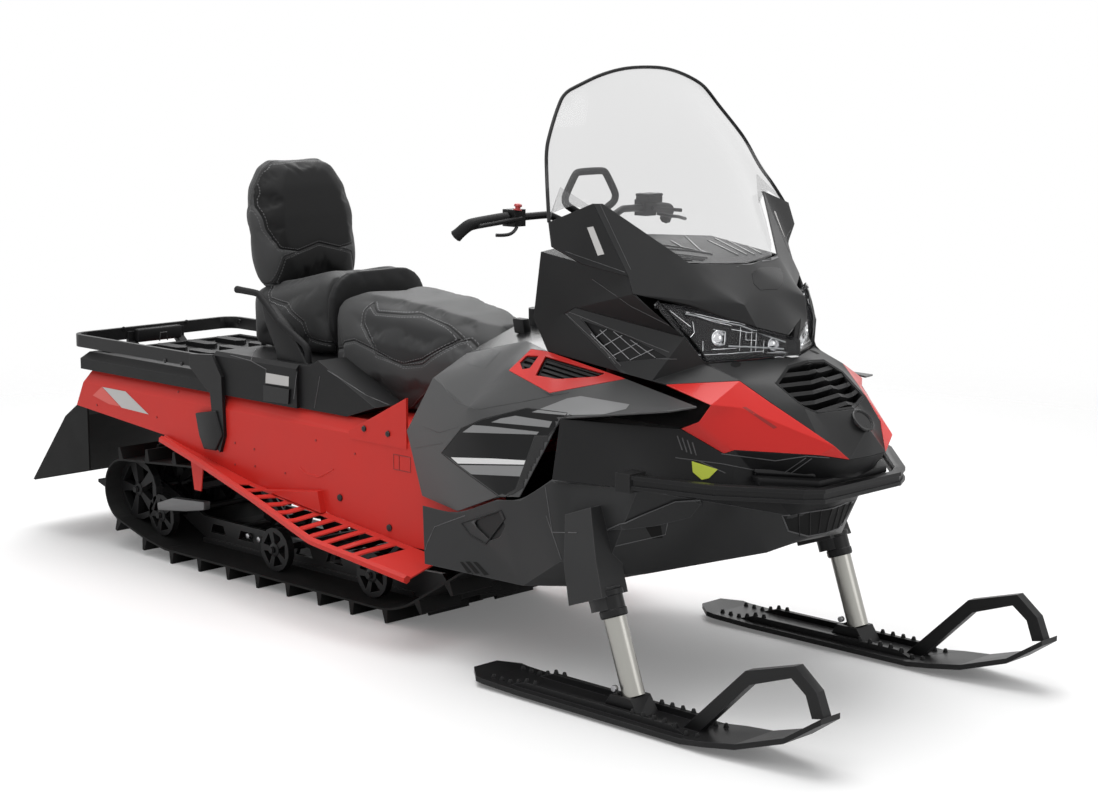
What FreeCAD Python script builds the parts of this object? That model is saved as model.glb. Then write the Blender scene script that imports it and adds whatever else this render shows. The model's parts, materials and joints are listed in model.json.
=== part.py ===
"""Wide-track utility snowmobile with two seats, modelled as an assembly of separate pieces.

The frame is +X forward, +Y to the rider's left and +Z up. The origin lies on the ground
under the middle of the machine's length. All sizes are in millimetres.
"""
import FreeCAD
import Part
import math
import os
from FreeCAD import Placement, Vector

os.makedirs("parts", exist_ok=True)
doc = FreeCAD.newDocument("Snowmobile")
sheet = doc.addObject("Spreadsheet::Sheet", "Sizes")

# Driving dimensions, grouped by the piece that they belong to
DIMENSIONS = {
    # Ground, stance and whole machine
    "half_length": 1729.0,
    "ski_stance": 900.0,
    "fit_gap": 0.3,
    "seam_gap": 0.3,
    "overrun": 5.0,
    # Track loop
    "track_width": 600.0,
    "belt_thickness": 6.0,
    "lug_height": 38.0,
    "lug_tip": 10.0,
    "lug_root": 24.0,
    "lug_sunk": 3.0,
    "lug_pairs": 27,
    "outer_lug_width": 150.0,
    "centre_lug_width": 150.0,
    "inner_lug_width": 150.0,
    "inner_lug_offset": 130.0,
    # Skid frame inside the track
    "idler_rear": -1234.0,
    "idler_height": 196.0,
    "idler_radius": 100.0,
    "kick_wheel_x": -1111.0,
    "kick_wheel_lift": 17.0,
    "bogie_radius": 67.5,
    "bogie_rear_x": -528.0,
    "bogie_front_x": -79.0,
    "wheel_width": 24.0,
    "wheel_rim": 13.0,
    "wheel_hub_radius": 20.0,
    "wheel_spoke": 15.0,
    "wheel_spoke_count": 5,
    "wheel_offset": 230.0,
    "inner_wheel_offset": 75.0,
    "axle_radius": 10.0,
    "axle_end": 16.0,
    "arm_front_x": 82.0,
    "arm_front_height": 346.0,
    "arm_rear_x": -796.0,
    "arm_rear_height": 284.0,
    "arm_tab_half": 34.0,
    "rail_offset": 140.0,
    "rail_thickness": 14.0,
    "rail_height": 82.0,
    "rail_rear_x": -1010.0,
    "rail_bend_x": 0.0,
    "rail_bend_radius": 320.0,
    "slider_height": 14.0,
    "slider_width": 26.0,
    # Drive axle
    "drive_x": 390.0,
    "drive_height": 330.0,
    "sprocket_radius": 91.0,
    "sprocket_width": 22.0,
    "sprocket_teeth": 9,
    "drive_shaft_radius": 16.0,
    # Tunnel
    "tunnel_width": 650.0,
    "tunnel_sheet": 4.0,
    "tunnel_rear": -1448.0,
    "tunnel_front": 560.0,
    "tunnel_top": 580.0,
    "tunnel_rear_bottom": 457.0,
    "tunnel_rear_rake": 66.0,
    "tunnel_shoulder": 43.0,
    "tunnel_shoulder_inset": 25.0,
    "tunnel_step_x": -960.0,
    "tunnel_step_bottom": 419.0,
    "tunnel_knee_x": -516.0,
    "tunnel_knee_bottom": 331.0,
    "tunnel_front_bottom": 253.0,
    # Running boards
    "board_sheet": 4.0,
    "board_tube": 12.0,
    "board_front_x": 316.0,
    "board_front_half": 455.0,
    "board_front_height": 205.0,
    "board_slot_pitch": 66.0,
    "board_bar": 22.0,
    "board_edge": 16.0,
    "board_tooth": 8.0,
    # Rear deck and rack
    "deck_rear": -1417.0,
    "deck_front": -700.0,
    "deck_height": 56.0,
    "deck_chamfer": 22.0,
    "deck_recess": 9.0,
    "deck_boss_length": 150.0,
    "deck_boss_width": 46.0,
    "deck_boss_height": 7.0,
    "anchor_radius": 5.0,
    "anchor_depth": 30.0,
    "rail_bar_height": 40.0,
    "rail_bar_thickness": 14.0,
    "rack_rear": -1475.0,
    "rack_rail_bottom": 651.0,
    "rack_front_x": -790.0,
    "rack_corner_radius": 60.0,
    "rack_post_offset": 95.0,
    "rack_post_width": 34.0,
    "rack_leg_x": -672.0,
    "rack_leg_width": 52.0,
    "rack_leg_foot": 405.0,
    "rack_leg_thickness": 12.0,
    # Hitch and lamp
    "hitch_bore_radius": 8.0,
    "hitch_thickness": 12.0,
    "hitch_width": 90.0,
    "hitch_reach": 92.0,
    "hitch_height": 470.0,
    "tail_lamp_width": 130.0,
    "tail_lamp_height": 46.0,
    "tail_lamp_depth": 26.0,
    # Snow flap
    "flap_sheet": 6.0,
    "flap_bottom": 170.0,
    "flap_top_x": -1518.0,
    "flap_top": 412.0,
    "flap_cheek_x": -1388.0,
    "flap_cheek_bottom": 250.0,
    # Seats
    "seat_rear": -700.0,
    "seat_split": -303.0,
    "seat_arch": 34.0,
    "seat_arch_rise": 68.0,
    "seat_front": 299.0,
    "seat_half": 205.0,
    "seat_height": 900.0,
    "seat_base_bevel": 12.0,
    "back_rest_stay": 9.0,
    "back_rest_lift": 25.0,
    "back_rest_height": 359.0,
    "back_rest_half": 200.0,
    "back_rest_depth": 140.0,
    "back_rest_face": -575.0,
    "back_rest_lean": 62.0,
    # Cowl reference box
    "cowl_rear": 500.0,
    "cowl_length": 1000.0,
    "cowl_half_width": 500.0,
    "cowl_floor": 200.0,
    "cowl_height": 1000.0,
    "panel_wall": 5.0,
    "glass_wall": 4.0,
    "glass_rows": 6,
    "glass_columns": 14,
    "screen_recess": 4.0,
    "screen_depth": 12.0,
    "grille_depth": 62.0,
    "grille_slats": 6,
    # Bumper
    "bumper_bar_height": 34.0,
    "bumper_bar_thickness": 26.0,
    "bumper_bracket_y": 104.0,
    # Steering
    "column_rake": 25.0,
    "bar_x": 545.0,
    "bar_height": 1140.0,
    "bar_half": 405.0,
    "bar_radius": 11.0,
    "bar_rise": 36.0,
    "bar_sweep": 50.0,
    "bar_clamp_half": 55.0,
    "column_radius": 14.0,
    "column_clearance": 150.0,
    "grip_length": 128.0,
    "grip_radius": 17.0,
    "grip_hook": 46.0,
    "loop_half": 108.0,
    "loop_height": 112.0,
    "loop_tube": 11.0,
    # Skis and struts
    "strut_rake": 19.6,
    "strut_foot_x": 1124.0,
    "strut_foot_height": 49.0,
    "strut_radius": 28.0,
    "collar_radius": 42.0,
    "collar_length": 52.0,
    "strut_chrome_length": 224.0,
    "shroud_drop": 30.0,
    "shroud_length": 220.0,
    "ski_rear_reach": 510.0,
    "ski_front_reach": 605.0,
    "ski_half": 82.0,
    "ski_plate": 14.0,
    "ski_keel": 8.0,
    "ski_loop_height": 241.0,
    "runner_radius": 5.0,
    # Engine and fuel
    "engine_length": 420.0,
    "engine_width": 420.0,
    "engine_height": 330.0,
    "engine_x": 640.0,
    "engine_base": 350.0,
    "cap_radius": 34.0,
    "cap_height": 60.0,
    "cap_base": 842.0,
}


def fill_sheet():
    """Write every driving dimension to its own row of the sheet, with its name beside it."""
    for row, (name, value) in enumerate(DIMENSIONS.items(), start=1):
        sheet.set(f"A{row}", name)
        sheet.set(f"B{row}", str(value))
        sheet.setAlias(f"B{row}", name)
    doc.recompute()


class SheetSizes:
    """Reads a driving dimension from the sheet by its alias."""

    def __getattr__(self, name):
        return float(sheet.get(name))


fill_sheet()
size = SheetSizes()
SUB_PARTS = []


# Small tools for shapes
def keep(item, label):
    """Give a finished document object its node name and remember it."""
    item.Label = label
    SUB_PARTS.append(item)
    return item


def feature(label, shape):
    """Put a shape in the document as a sub-part."""
    item = doc.addObject("Part::Feature", label)
    item.Shape = shape
    item.Placement = Placement()
    return keep(item, label)


def bound(kind, label, **expressions):
    """Add a primitive whose properties follow the sheet."""
    item = doc.addObject(kind, label)
    for prop, text in expressions.items():
        item.setExpression(prop.replace("__", "."), text)
    return item


def mirrored(shape):
    """The same shape on the other side of the machine."""
    return shape.mirror(Vector(0, 0, 0), Vector(0, 1, 0))


def largest_solid(shape):
    """The biggest of a shape's solids."""
    return max(shape.Solids, key=lambda solid: solid.Volume)


def both_sides(shape):
    """A shape and its mirror image, as two solids."""
    return Part.makeCompound([shape, mirrored(shape)])


def flip(point):
    """A point on the other side of the machine."""
    return Vector(point.x, -point.y, point.z)


def side_face(outline, offset):
    """A face in a plane of constant Y from (x, z) pairs."""
    points = [Vector(x, offset, z) for x, z in outline]
    return Part.Face(Part.makePolygon(points + points[:1]))


def side_prism(outline, low, high):
    """A solid between two planes of constant Y from (x, z) pairs."""
    return side_face(outline, low).extrude(Vector(0, high - low, 0))


def plan_prism(outline, low, high):
    """A solid between two heights from (x, y) pairs."""
    points = [Vector(x, y, low) for x, y in outline]
    return Part.Face(Part.makePolygon(points + points[:1])).extrude(Vector(0, 0, high - low))


def bent_path(points, radius, closed=False):
    """Straight runs joined by tangent arcs."""
    count = len(points)
    edges = []
    indices = range(count) if closed else range(1, count - 1)
    corners = []
    for index in indices:
        before, here, after = points[index - 1], points[index], points[(index + 1) % count]
        back, ahead = (before - here), (after - here)
        reach_back, reach_ahead = back.Length, ahead.Length
        back.normalize()
        ahead.normalize()
        half = back.getAngle(ahead) / 2
        cut = min(radius / math.tan(half), reach_back * 0.45, reach_ahead * 0.45)
        bend = cut * math.tan(half)
        middle = (back + ahead)
        middle.normalize()
        centre = here + middle * (bend / math.sin(half))
        corners.append((here + back * cut, centre - middle * bend, here + ahead * cut))
    last = corners[-1][2] if closed else points[0]
    for into, top, out in corners:
        if (into - last).Length > 1e-6:
            edges.append(Part.LineSegment(last, into).toShape())
        edges.append(Part.Arc(into, top, out).toShape())
        last = out
    if not closed:
        edges.append(Part.LineSegment(last, points[-1]).toShape())
    return Part.Wire(edges)


def ring_solid(rings, closed=False):
    """A closed solid through rings with equal numbers of points, in flat triangles."""
    triangles = []
    pairs = list(zip(rings, rings[1:]))
    if closed:
        pairs.append((rings[-1], rings[0]))
    for first, second in pairs:
        for index in range(len(first)):
            a, b = first[index - 1], first[index]
            c, d = second[index], second[index - 1]
            triangles += [(a, b, c), (a, c, d)]
    if not closed:
        for ring, turned in ((rings[0], True), (rings[-1], False)):
            middle = sum(ring, Vector()) * (1 / len(ring))
            for index in range(len(ring)):
                pair = (ring[index - 1], ring[index])
                triangles.append((middle,) + (pair[::-1] if turned else pair))
    return poly_solid(triangles)


def round_ring(centre, first_axis, second_axis, radius, sides):
    """Points of a regular polygon round a centre."""
    turns = [2 * math.pi * (index + 0.5) / sides for index in range(sides)]
    return [centre + (first_axis * math.cos(turn) + second_axis * math.sin(turn)) * radius for turn in turns]


def facet_bar(start, end, radius, sides=8):
    """A straight bar with flat sides."""
    line = end - start
    side = line.cross(Vector(0, 0, 1) if abs(line.z) < line.Length * 0.9 else Vector(0, 1, 0))
    side.normalize()
    other = line.cross(side)
    other.normalize()
    ring = round_ring(start, side, other, radius, sides)
    return Part.Face(Part.makePolygon(ring + ring[:1])).extrude(line)


def facet_tube(points, radius, bend, closed=False, sides=8):
    """A tube with flat sides along straight runs joined by arcs."""
    stations = []
    for edge in bent_path(points, bend, closed).Edges:
        steps = 1
        if isinstance(edge.Curve, Part.Circle):
            steps = max(2, math.ceil(edge.Length / edge.Curve.Radius / math.radians(30)))
        for step in range(steps):
            at = edge.FirstParameter + (edge.LastParameter - edge.FirstParameter) * step / steps
            stations.append((edge.valueAt(at), edge.tangentAt(at)))
    if not closed:
        stations.append((edge.valueAt(edge.LastParameter), edge.tangentAt(edge.LastParameter)))
    first_tangent = stations[0][1]
    side = first_tangent.cross(Vector(0, 0, 1) if abs(first_tangent.z) < 0.9 else Vector(0, 1, 0))
    rings = []
    for place, tangent in stations:
        side = side - tangent * side.dot(tangent)
        side.normalize()
        rings.append(round_ring(place, side, tangent.cross(side), radius, sides))
    return ring_solid(rings, closed)


def soft_ring(centre, first_axis, second_axis, half_first, half_second, radius, steps=3):
    """Points of a rectangle with rounded corners."""
    points = []
    for quarter, (u, v) in enumerate(((1, 1), (-1, 1), (-1, -1), (1, -1))):
        for step in range(steps + 1):
            turn = math.pi / 2 * (quarter + step / steps)
            along = u * (half_first - radius) + radius * math.cos(turn)
            across = v * (half_second - radius) + radius * math.sin(turn)
            points.append(centre + first_axis * along + second_axis * across)
    return points


def loop_normal(points):
    """Mean normal of a closed loop of points."""
    normal = Vector()
    for here, after in zip(points, points[1:] + points[:1]):
        normal += here.cross(after)
    return normal


def ear_is_clear(points, trio, others, normal):
    """Whether a corner of a loop can be cut off without covering another of its points."""
    a, b, c = (points[index] for index in trio)
    if (b - a).cross(c - b).dot(normal) <= 0:
        return False
    for index in others:
        point = points[index]
        if all((end - start).cross(point - start).dot(normal) >= 0 for start, end in ((a, b), (b, c), (c, a))):
            return False
    return True


def cut_ears(names, corners):
    """Triangles, as trios of names, that fill a loop of named corners, short cuts first."""
    points = [corners[name] for name in names]
    normal = loop_normal(points)
    order = list(range(len(points)))
    trios = []
    while len(order) > 3:
        choices = []
        for place, index in enumerate(order):
            trio = (order[place - 1], index, order[(place + 1) % len(order)])
            others = [other for other in order if other not in trio]
            if ear_is_clear(points, trio, others, normal):
                cut = (points[trio[0]] - points[trio[2]]).Length / size.cowl_length
                choices.append((round(cut, 6), place, trio))
        _, place, trio = min(choices)
        trios.append(trio)
        order.pop(place)
    trios.append(tuple(order))
    return [tuple(names[index] for index in trio) for trio in trios]


def poly_solid(triangles):
    """A closed solid from triangles, with coplanar ones joined."""
    faces = []
    for a, b, c in triangles:
        if (b - a).cross(c - a).Length > 1e-6 * (b - a).Length * (c - a).Length:
            faces.append(Part.Face(Part.makePolygon([a, b, c, a])))
    shell = Part.Shell(faces)
    shell.sewShape()
    solid = Part.Solid(shell)
    if solid.Volume < 0:
        solid.reverse()
    return solid


def meeting_point(planes, wall):
    """The shift that brings a corner nearest to all its planes drawn back by the wall, by least squares."""
    rows = [Vector(1, 0, 0), Vector(0, 1, 0), Vector(0, 0, 1)]
    total = sum(weight for _, weight in planes) or 1.0
    damping = 0.02
    matrix = [axis * damping for axis in rows]
    goal = Vector()
    for normal, weight in planes:
        share = weight / total
        for index, part in enumerate((normal.x, normal.y, normal.z)):
            matrix[index] = matrix[index] + normal * (part * share)
        goal -= normal * (wall * share)
    a, b, c = matrix
    volume = a.dot(b.cross(c))
    return (b.cross(c) * goal.x + c.cross(a) * goal.y + a.cross(b) * goal.z) * (1 / volume)


class Skin:
    """A faceted sheet of panels that share corners, thickened inward so that neighbours meet in mitres."""

    def __init__(self, corners, panels, wall):
        self.corners = corners
        self.core = Vector(size.cowl_rear + size.cowl_length * 0.35, 0, size.cowl_floor + size.cowl_height * 0.42)
        self.panels = {label: [trio for names in faces for trio in cut_ears(self.outward(names), corners)]
                       for label, faces in panels.items()}
        self.inner = self.offset_corners(wall)

    def outward(self, names):
        """The corners of a facet in the order that turns its face away from the cowl's core."""
        points = [self.corners[name] for name in names]
        middle = sum(points, Vector()) * (1 / len(points))
        return names if loop_normal(points).dot(middle - self.core) > 0 else names[::-1]

    def offset_corners(self, wall):
        """Each corner moved inward to where the facets round it meet once they are drawn back by the wall."""
        normals = {name: [] for name in self.corners}
        for faces in self.panels.values():
            for trio in faces:
                a, b, c = (self.corners[name] for name in trio)
                normal = (b - a).cross(c - a)
                normal.normalize()
                for place, name in enumerate(trio):
                    p, q, r = (self.corners[trio[(place + step) % 3]] for step in range(3))
                    weight = (q - p).getAngle(r - p)
                    normals[name].append((normal, weight))
                    if abs(p.y) < 1e-9:
                        normals[name].append((flip(normal), weight))
        return {name: self.corners[name] + meeting_point(around, wall) for name, around in normals.items()}

    def seam_shifts(self, faces, edges):
        """How far each corner on the rim moves for both of its rim edges to draw back by half a seam."""
        inward = {}
        for names in faces:
            for index, name in enumerate(names):
                follower, apex = names[(index + 1) % 3], names[index - 1]
                if (name, follower) in edges:
                    start = self.corners[name]
                    line = self.corners[follower] - start
                    line.normalize()
                    toward = self.corners[apex] - start
                    toward = toward - line * toward.dot(line)
                    toward.normalize()
                    inward.setdefault(name, []).append(toward)
                    inward.setdefault(follower, []).append(toward)
        shifts = {}
        for name, (first, *rest) in inward.items():
            second = rest[-1] if rest else first
            shift = (first + second) * (size.seam_gap / max(1 + first.dot(second), 0.15))
            if abs(self.corners[name].y) < 1e-9:
                shift.y = 0
            shifts[name] = shift
        return shifts

    def panel(self, label):
        """The solid of one panel, drawn back from its edges by half a seam."""
        faces = self.panels[label]
        used = sorted({name for names in faces for name in names})
        edges = {}
        for names in faces:
            for index, name in enumerate(names):
                follower = names[(index + 1) % len(names)]
                if (follower, name) in edges:
                    del edges[(follower, name)]
                else:
                    edges[(name, follower)] = True
        shifts = self.seam_shifts(faces, edges)
        outer, inner = {}, {}
        for name in used:
            shift = shifts.get(name, Vector())
            outer[name] = self.corners[name] + shift
            inner[name] = self.inner[name] + shift
        triangles = [tuple(outer[name] for name in trio) for trio in faces]
        triangles += [tuple(inner[name] for name in reversed(trio)) for trio in faces]
        for name, follower in edges:
            if name < follower:
                triangles.append((outer[follower], outer[name], inner[follower]))
                triangles.append((outer[name], inner[name], inner[follower]))
            else:
                triangles.append((outer[follower], outer[name], inner[name]))
                triangles.append((outer[follower], inner[name], inner[follower]))
        return poly_solid(triangles)


def loft(wires, ruled=False):
    """A closed solid through section wires."""
    solid = Part.makeLoft(wires, True, ruled)
    if solid.Volume < 0:
        solid.reverse()
    return solid


# Track: one closed loop round the idlers, wheels and drive sprockets
def belt_circles():
    """Centres and radii, in (x, z), of what the belt runs round, from the rear along the ground."""
    floor = size.lug_height + size.belt_thickness
    return [
        (size.idler_rear, size.idler_height, size.idler_radius),
        (size.kick_wheel_x, floor + size.kick_wheel_lift + size.bogie_radius, size.bogie_radius),
        (size.rail_rear_x, floor + size.bogie_radius, size.bogie_radius),
        (size.rail_bend_x, floor + size.rail_bend_radius, size.rail_bend_radius),
        (size.drive_x, size.drive_height, size.sprocket_radius + size.fit_gap),
    ]


def tangent_points(first, second, extra):
    """Where an outside belt leaves one circle and meets the next, going anticlockwise seen from the right."""
    (x1, z1, r1), (x2, z2, r2) = first, second
    r1, r2 = r1 + extra, r2 + extra
    dx, dz = x2 - x1, z2 - z1
    reach = math.hypot(dx, dz)
    heading = math.atan2(dz, dx)
    swing = math.acos((r1 - r2) / reach)
    angle = heading - swing
    leave = Vector(x1 + r1 * math.cos(angle), 0, z1 + r1 * math.sin(angle))
    meet = Vector(x2 + r2 * math.cos(angle), 0, z2 + r2 * math.sin(angle))
    return leave, meet


def belt_wire(extra):
    """The belt's line, offset outward."""
    circles = belt_circles()
    spans = [tangent_points(circles[i], circles[(i + 1) % len(circles)], extra) for i in range(len(circles))]
    edges = []
    for index, circle in enumerate(circles):
        x, z, radius = circle
        radius += extra
        arrive, leave = spans[index - 1][1], spans[index][0]
        start = math.atan2(arrive.z - z, arrive.x - x)
        end = math.atan2(leave.z - z, leave.x - x)
        while end < start:
            end += 2 * math.pi
        middle = (start + end) / 2
        top = Vector(x + radius * math.cos(middle), 0, z + radius * math.sin(middle))
        edges.append(Part.Arc(arrive, top, leave).toShape())
        edges.append(Part.LineSegment(*spans[index]).toShape())
    return Part.Wire(edges)


def lug_blank(width, offset):
    """One lug as a tapered bar, standing on the belt at the origin with its tip down."""
    root, tip = size.lug_root / 2, size.lug_tip / 2
    outline = [(-root, size.lug_sunk), (root, size.lug_sunk), (tip, -size.lug_height), (-tip, -size.lug_height)]
    low = offset - width / 2
    return side_prism(outline, low, low + width)


def track_shape():
    outer = Part.Face(belt_wire(size.belt_thickness)).extrude(Vector(0, size.track_width, 0))
    inner = Part.Face(belt_wire(0)).extrude(Vector(0, size.track_width, 0))
    belt = outer.cut(inner)
    belt.translate(Vector(0, -size.track_width / 2, 0))
    edge_offset = (size.track_width - size.outer_lug_width) / 2
    edge_row = [
        lug_blank(size.outer_lug_width, -edge_offset),
        lug_blank(size.centre_lug_width, 0),
        lug_blank(size.outer_lug_width, edge_offset),
    ]
    inner_row = [lug_blank(size.inner_lug_width, side * size.inner_lug_offset) for side in (-1, 1)]
    line = belt_wire(size.belt_thickness)
    count = int(size.lug_pairs) * 2
    places = line.discretize(Number=count + 1)[:-1]
    lugs = []
    for index, place in enumerate(places):
        before, after = places[index - 1], places[(index + 1) % count]
        along = after - before
        turn = math.degrees(math.atan2(along.z, along.x))
        for blank in (edge_row if index % 2 == 0 else inner_row):
            lug = blank.copy()
            lug.rotate(Vector(0, 0, 0), Vector(0, -1, 0), turn)
            lug.translate(place)
            lugs.append(lug)
    return belt.multiFuse(lugs)


def build_track():
    feature("track", track_shape())


# Skid frame: rails, wheels and arms that hold the track
def polygon_wire(x, z, radius, sides, y):
    """A regular polygon in a plane of constant Y."""
    ring = round_ring(Vector(x, y, z), Vector(1, 0, 0), Vector(0, 0, 1), radius, sides)
    return Part.makePolygon(ring + ring[:1])


def spoked_wheel(radius, x, z, offset):
    """A wheel with openings between its spokes and a bore for its axle, its axle along Y."""
    low = offset - size.wheel_width / 2
    wheel = Part.Face(polygon_wire(x, z, radius, 16, low))
    holes = [Part.Face(polygon_wire(x, z, size.axle_radius + size.fit_gap * 2, 8, low))]
    count = int(size.wheel_spoke_count)
    outer, inner = radius - size.wheel_rim, size.wheel_hub_radius
    for step in range(count):
        corners = []
        for reach, share in ((inner, -0.20), (outer, -0.34), (outer, 0.34), (inner, 0.20)):
            turn = 2 * math.pi * (step + share) / count
            corners.append(Vector(x + reach * math.cos(turn), low, z + reach * math.sin(turn)))
        holes.append(Part.Face(Part.makePolygon(corners + corners[:1])))
    return wheel.cut(Part.makeCompound(holes)).Faces[0].extrude(Vector(0, size.wheel_width, 0))


def wheel_set(radius, x, z, offsets):
    """Wheels on one axle."""
    wheels = [spoked_wheel(radius - size.fit_gap, x, z, offset) for offset in offsets]
    reach = max(offsets) + size.wheel_width / 2 + size.axle_end
    wheels.append(facet_bar(Vector(x, -reach, z), Vector(x, reach, z), size.axle_radius))
    return wheels


def build_wheels():
    outer = [-size.wheel_offset, size.wheel_offset]
    four = outer + [-size.inner_wheel_offset, size.inner_wheel_offset]
    idler, kick = belt_circles()[0], belt_circles()[1]
    solids = wheel_set(size.idler_radius, idler[0], idler[1], four)
    solids += wheel_set(size.bogie_radius, kick[0], kick[1], outer)
    floor = size.lug_height + size.belt_thickness
    for x in (size.bogie_rear_x, size.bogie_front_x):
        solids += wheel_set(size.bogie_radius, x, floor + size.bogie_radius, outer)
    feature("skid_wheels", Part.makeCompound(solids))


def build_rails():
    """Two slide rails, each with a plastic slider under it and open windows, tied by cross tubes."""
    floor = size.lug_height + size.belt_thickness + size.fit_gap
    bend = size.rail_bend_radius
    angle = math.radians(30)
    rise = size.rail_bend_x + (bend - size.fit_gap) * math.sin(angle)
    centre = floor + bend
    low = []
    for step in range(5):
        turn = angle * step / 4
        radius = bend - size.fit_gap
        low.append((size.rail_bend_x + radius * math.sin(turn), centre - radius * math.cos(turn)))
    nose = low[-1]
    top = floor + size.rail_height
    outline = [(size.rail_rear_x, floor)] + low
    outline += [(nose[0] - size.rail_height * 0.5, nose[1] + size.rail_height * 0.55)]
    outline += [(size.rail_bend_x, top), (size.rail_rear_x, top)]
    tail = [(size.rail_rear_x, floor + size.rail_height * 0.2), (size.rail_rear_x, top)]
    tail += [(size.idler_rear - size.rail_height * 0.3, size.idler_height + size.rail_height * 0.25)]
    tail += [(size.idler_rear - size.rail_height * 0.3, size.idler_height - size.rail_height * 0.35)]
    solids = []
    for side in (-1, 1):
        middle = side * size.rail_offset
        rail = side_prism(outline, middle - size.rail_thickness / 2, middle + size.rail_thickness / 2)
        rail = rail.fuse(side_prism(tail, middle - size.rail_thickness / 2, middle + size.rail_thickness / 2))
        windows = 7
        pitch = (size.rail_bend_x - size.rail_rear_x) / windows
        for step in range(windows):
            start = size.rail_rear_x + pitch * (step + 0.22)
            under, over = floor + size.rail_height * 0.42, floor + size.rail_height * 0.78
            hole = [(start, under), (start + pitch * 0.56, under), (start + pitch * 0.46, over),
                    (start + pitch * 0.10, over)]
            rail = rail.cut(side_prism(hole, middle - size.rail_thickness, middle + size.rail_thickness))
        bogie_height = size.lug_height + size.belt_thickness + size.bogie_radius
        axles = [circle[:2] for circle in belt_circles()[:2]]
        axles += [(x, bogie_height) for x in (size.bogie_rear_x, size.bogie_front_x)]
        for x, z in axles:
            radius = size.axle_radius + size.fit_gap * 2
            bore = Part.Face(polygon_wire(x, z, radius, 8, middle - size.rail_thickness))
            rail = rail.cut(bore.extrude(Vector(0, size.rail_thickness * 2, 0)))
        slider = side_prism([(size.rail_rear_x, floor), (size.rail_bend_x, floor),
                             (size.rail_bend_x, floor + size.slider_height),
                             (size.rail_rear_x, floor + size.slider_height)],
                            middle - size.slider_width / 2, middle + size.slider_width / 2)
        solids.append(rail.fuse(slider))
    tubes = []
    inner = size.rail_offset - size.rail_thickness / 2
    for share in (0.10, 0.62, 0.86):
        x = size.rail_rear_x + (size.rail_bend_x - size.rail_rear_x) * share
        height = floor + size.rail_height * 0.6
        tubes.append(facet_bar(Vector(x, -inner, height), Vector(x, inner, height), size.axle_radius))
    rails = solids[0].multiFuse([solids[1]] + tubes)
    feature("slide_rails", rails)


def build_drive_axle():
    """Drive shaft across the tunnel with four toothed sprockets."""
    reach = size.tunnel_width / 2 - size.tunnel_sheet
    middle, half = Vector(size.drive_x, 0, size.drive_height), Vector(0, reach, 0)
    shaft = facet_bar(middle - half, middle + half, size.drive_shaft_radius)
    outline = []
    count = int(size.sprocket_teeth)
    for step in range(count):
        for share, reach in ((-0.34, 0.88), (0.0, 1.0)):
            turn = 2 * math.pi * (step + share) / count
            radius = size.sprocket_radius * reach
            outline.append((size.drive_x + radius * math.cos(turn), size.drive_height + radius * math.sin(turn)))
    discs = []
    for offset in (-size.wheel_offset, -size.inner_wheel_offset, size.inner_wheel_offset, size.wheel_offset):
        low = offset - size.sprocket_width / 2
        discs.append(side_prism(outline, low, low + size.sprocket_width))
    feature("drive_axle", shaft.multiFuse(discs))


def build_suspension():
    """Front and rear arms from the rails up to the tunnel's sides, each with a shock absorber."""
    inner = size.rail_offset - size.rail_thickness / 2 - size.fit_gap
    floor = size.lug_height + size.belt_thickness + size.rail_height * 0.6
    wide = size.tunnel_width / 2 - size.tunnel_sheet - size.fit_gap
    span = size.rail_bend_x - size.rail_rear_x
    solids = []
    for foot_share, top_x, top_z in ((0.80, size.arm_front_x, size.arm_front_height),
                                     (0.42, size.arm_rear_x, size.arm_rear_height)):
        foot = Vector(size.rail_rear_x + span * foot_share, 0, floor)
        top = Vector(top_x, 0, top_z)
        damper_foot = foot - Vector(span * 0.26, 0, 0)
        line = top - damper_foot
        across = Vector(0, 1, 0)
        pieces = [facet_bar(top - across * wide, top + across * wide, size.axle_radius * 1.6, 6)]
        for end in (foot, damper_foot):
            pieces.append(facet_bar(end - across * inner, end + across * inner, size.axle_radius * 1.4, 6))
        for side in (-1, 1):
            shift = across * (side * inner * 0.7)
            pieces.append(facet_bar(foot + shift, top + shift, size.axle_radius * 1.3, 6))
        pieces.append(facet_bar(damper_foot, top, size.axle_radius * 0.8, 6))
        pieces.append(facet_bar(damper_foot + line * 0.15, damper_foot + line * 0.60, size.axle_radius * 3.2, 10))
        pieces.append(facet_bar(damper_foot + line * 0.50, damper_foot + line * 0.85, size.axle_radius * 2.2, 10))
        solids.append(pieces[0].multiFuse(pieces[1:]))
    feature("suspension", Part.makeCompound(solids))


# Tunnel, boards and what is bolted to them
def tunnel_outline():
    """The tunnel's side profile in (x, z), from the rear lower corner round by the top."""
    return [
        (size.tunnel_rear, size.tunnel_rear_bottom),
        (size.tunnel_rear + size.tunnel_rear_rake, size.tunnel_top),
        (size.tunnel_front, size.tunnel_top),
        (size.tunnel_front, size.tunnel_front_bottom),
        (size.board_front_x - size.board_tube * 10, size.tunnel_front_bottom),
        (size.tunnel_knee_x, size.tunnel_knee_bottom),
        (size.tunnel_step_x, size.tunnel_step_bottom),
    ]


def tunnel_section(inset):
    """The tunnel's cross profile with its bevelled shoulders, open-ended downward."""
    half = size.tunnel_width / 2 - inset
    top = size.tunnel_top - inset
    shoulder = top - size.tunnel_shoulder
    slim = half - size.tunnel_shoulder_inset
    bottom = size.tunnel_front_bottom - size.overrun * 4
    return [(-half, bottom), (-half, shoulder), (-slim, top), (slim, top), (half, shoulder), (half, bottom)]


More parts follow.
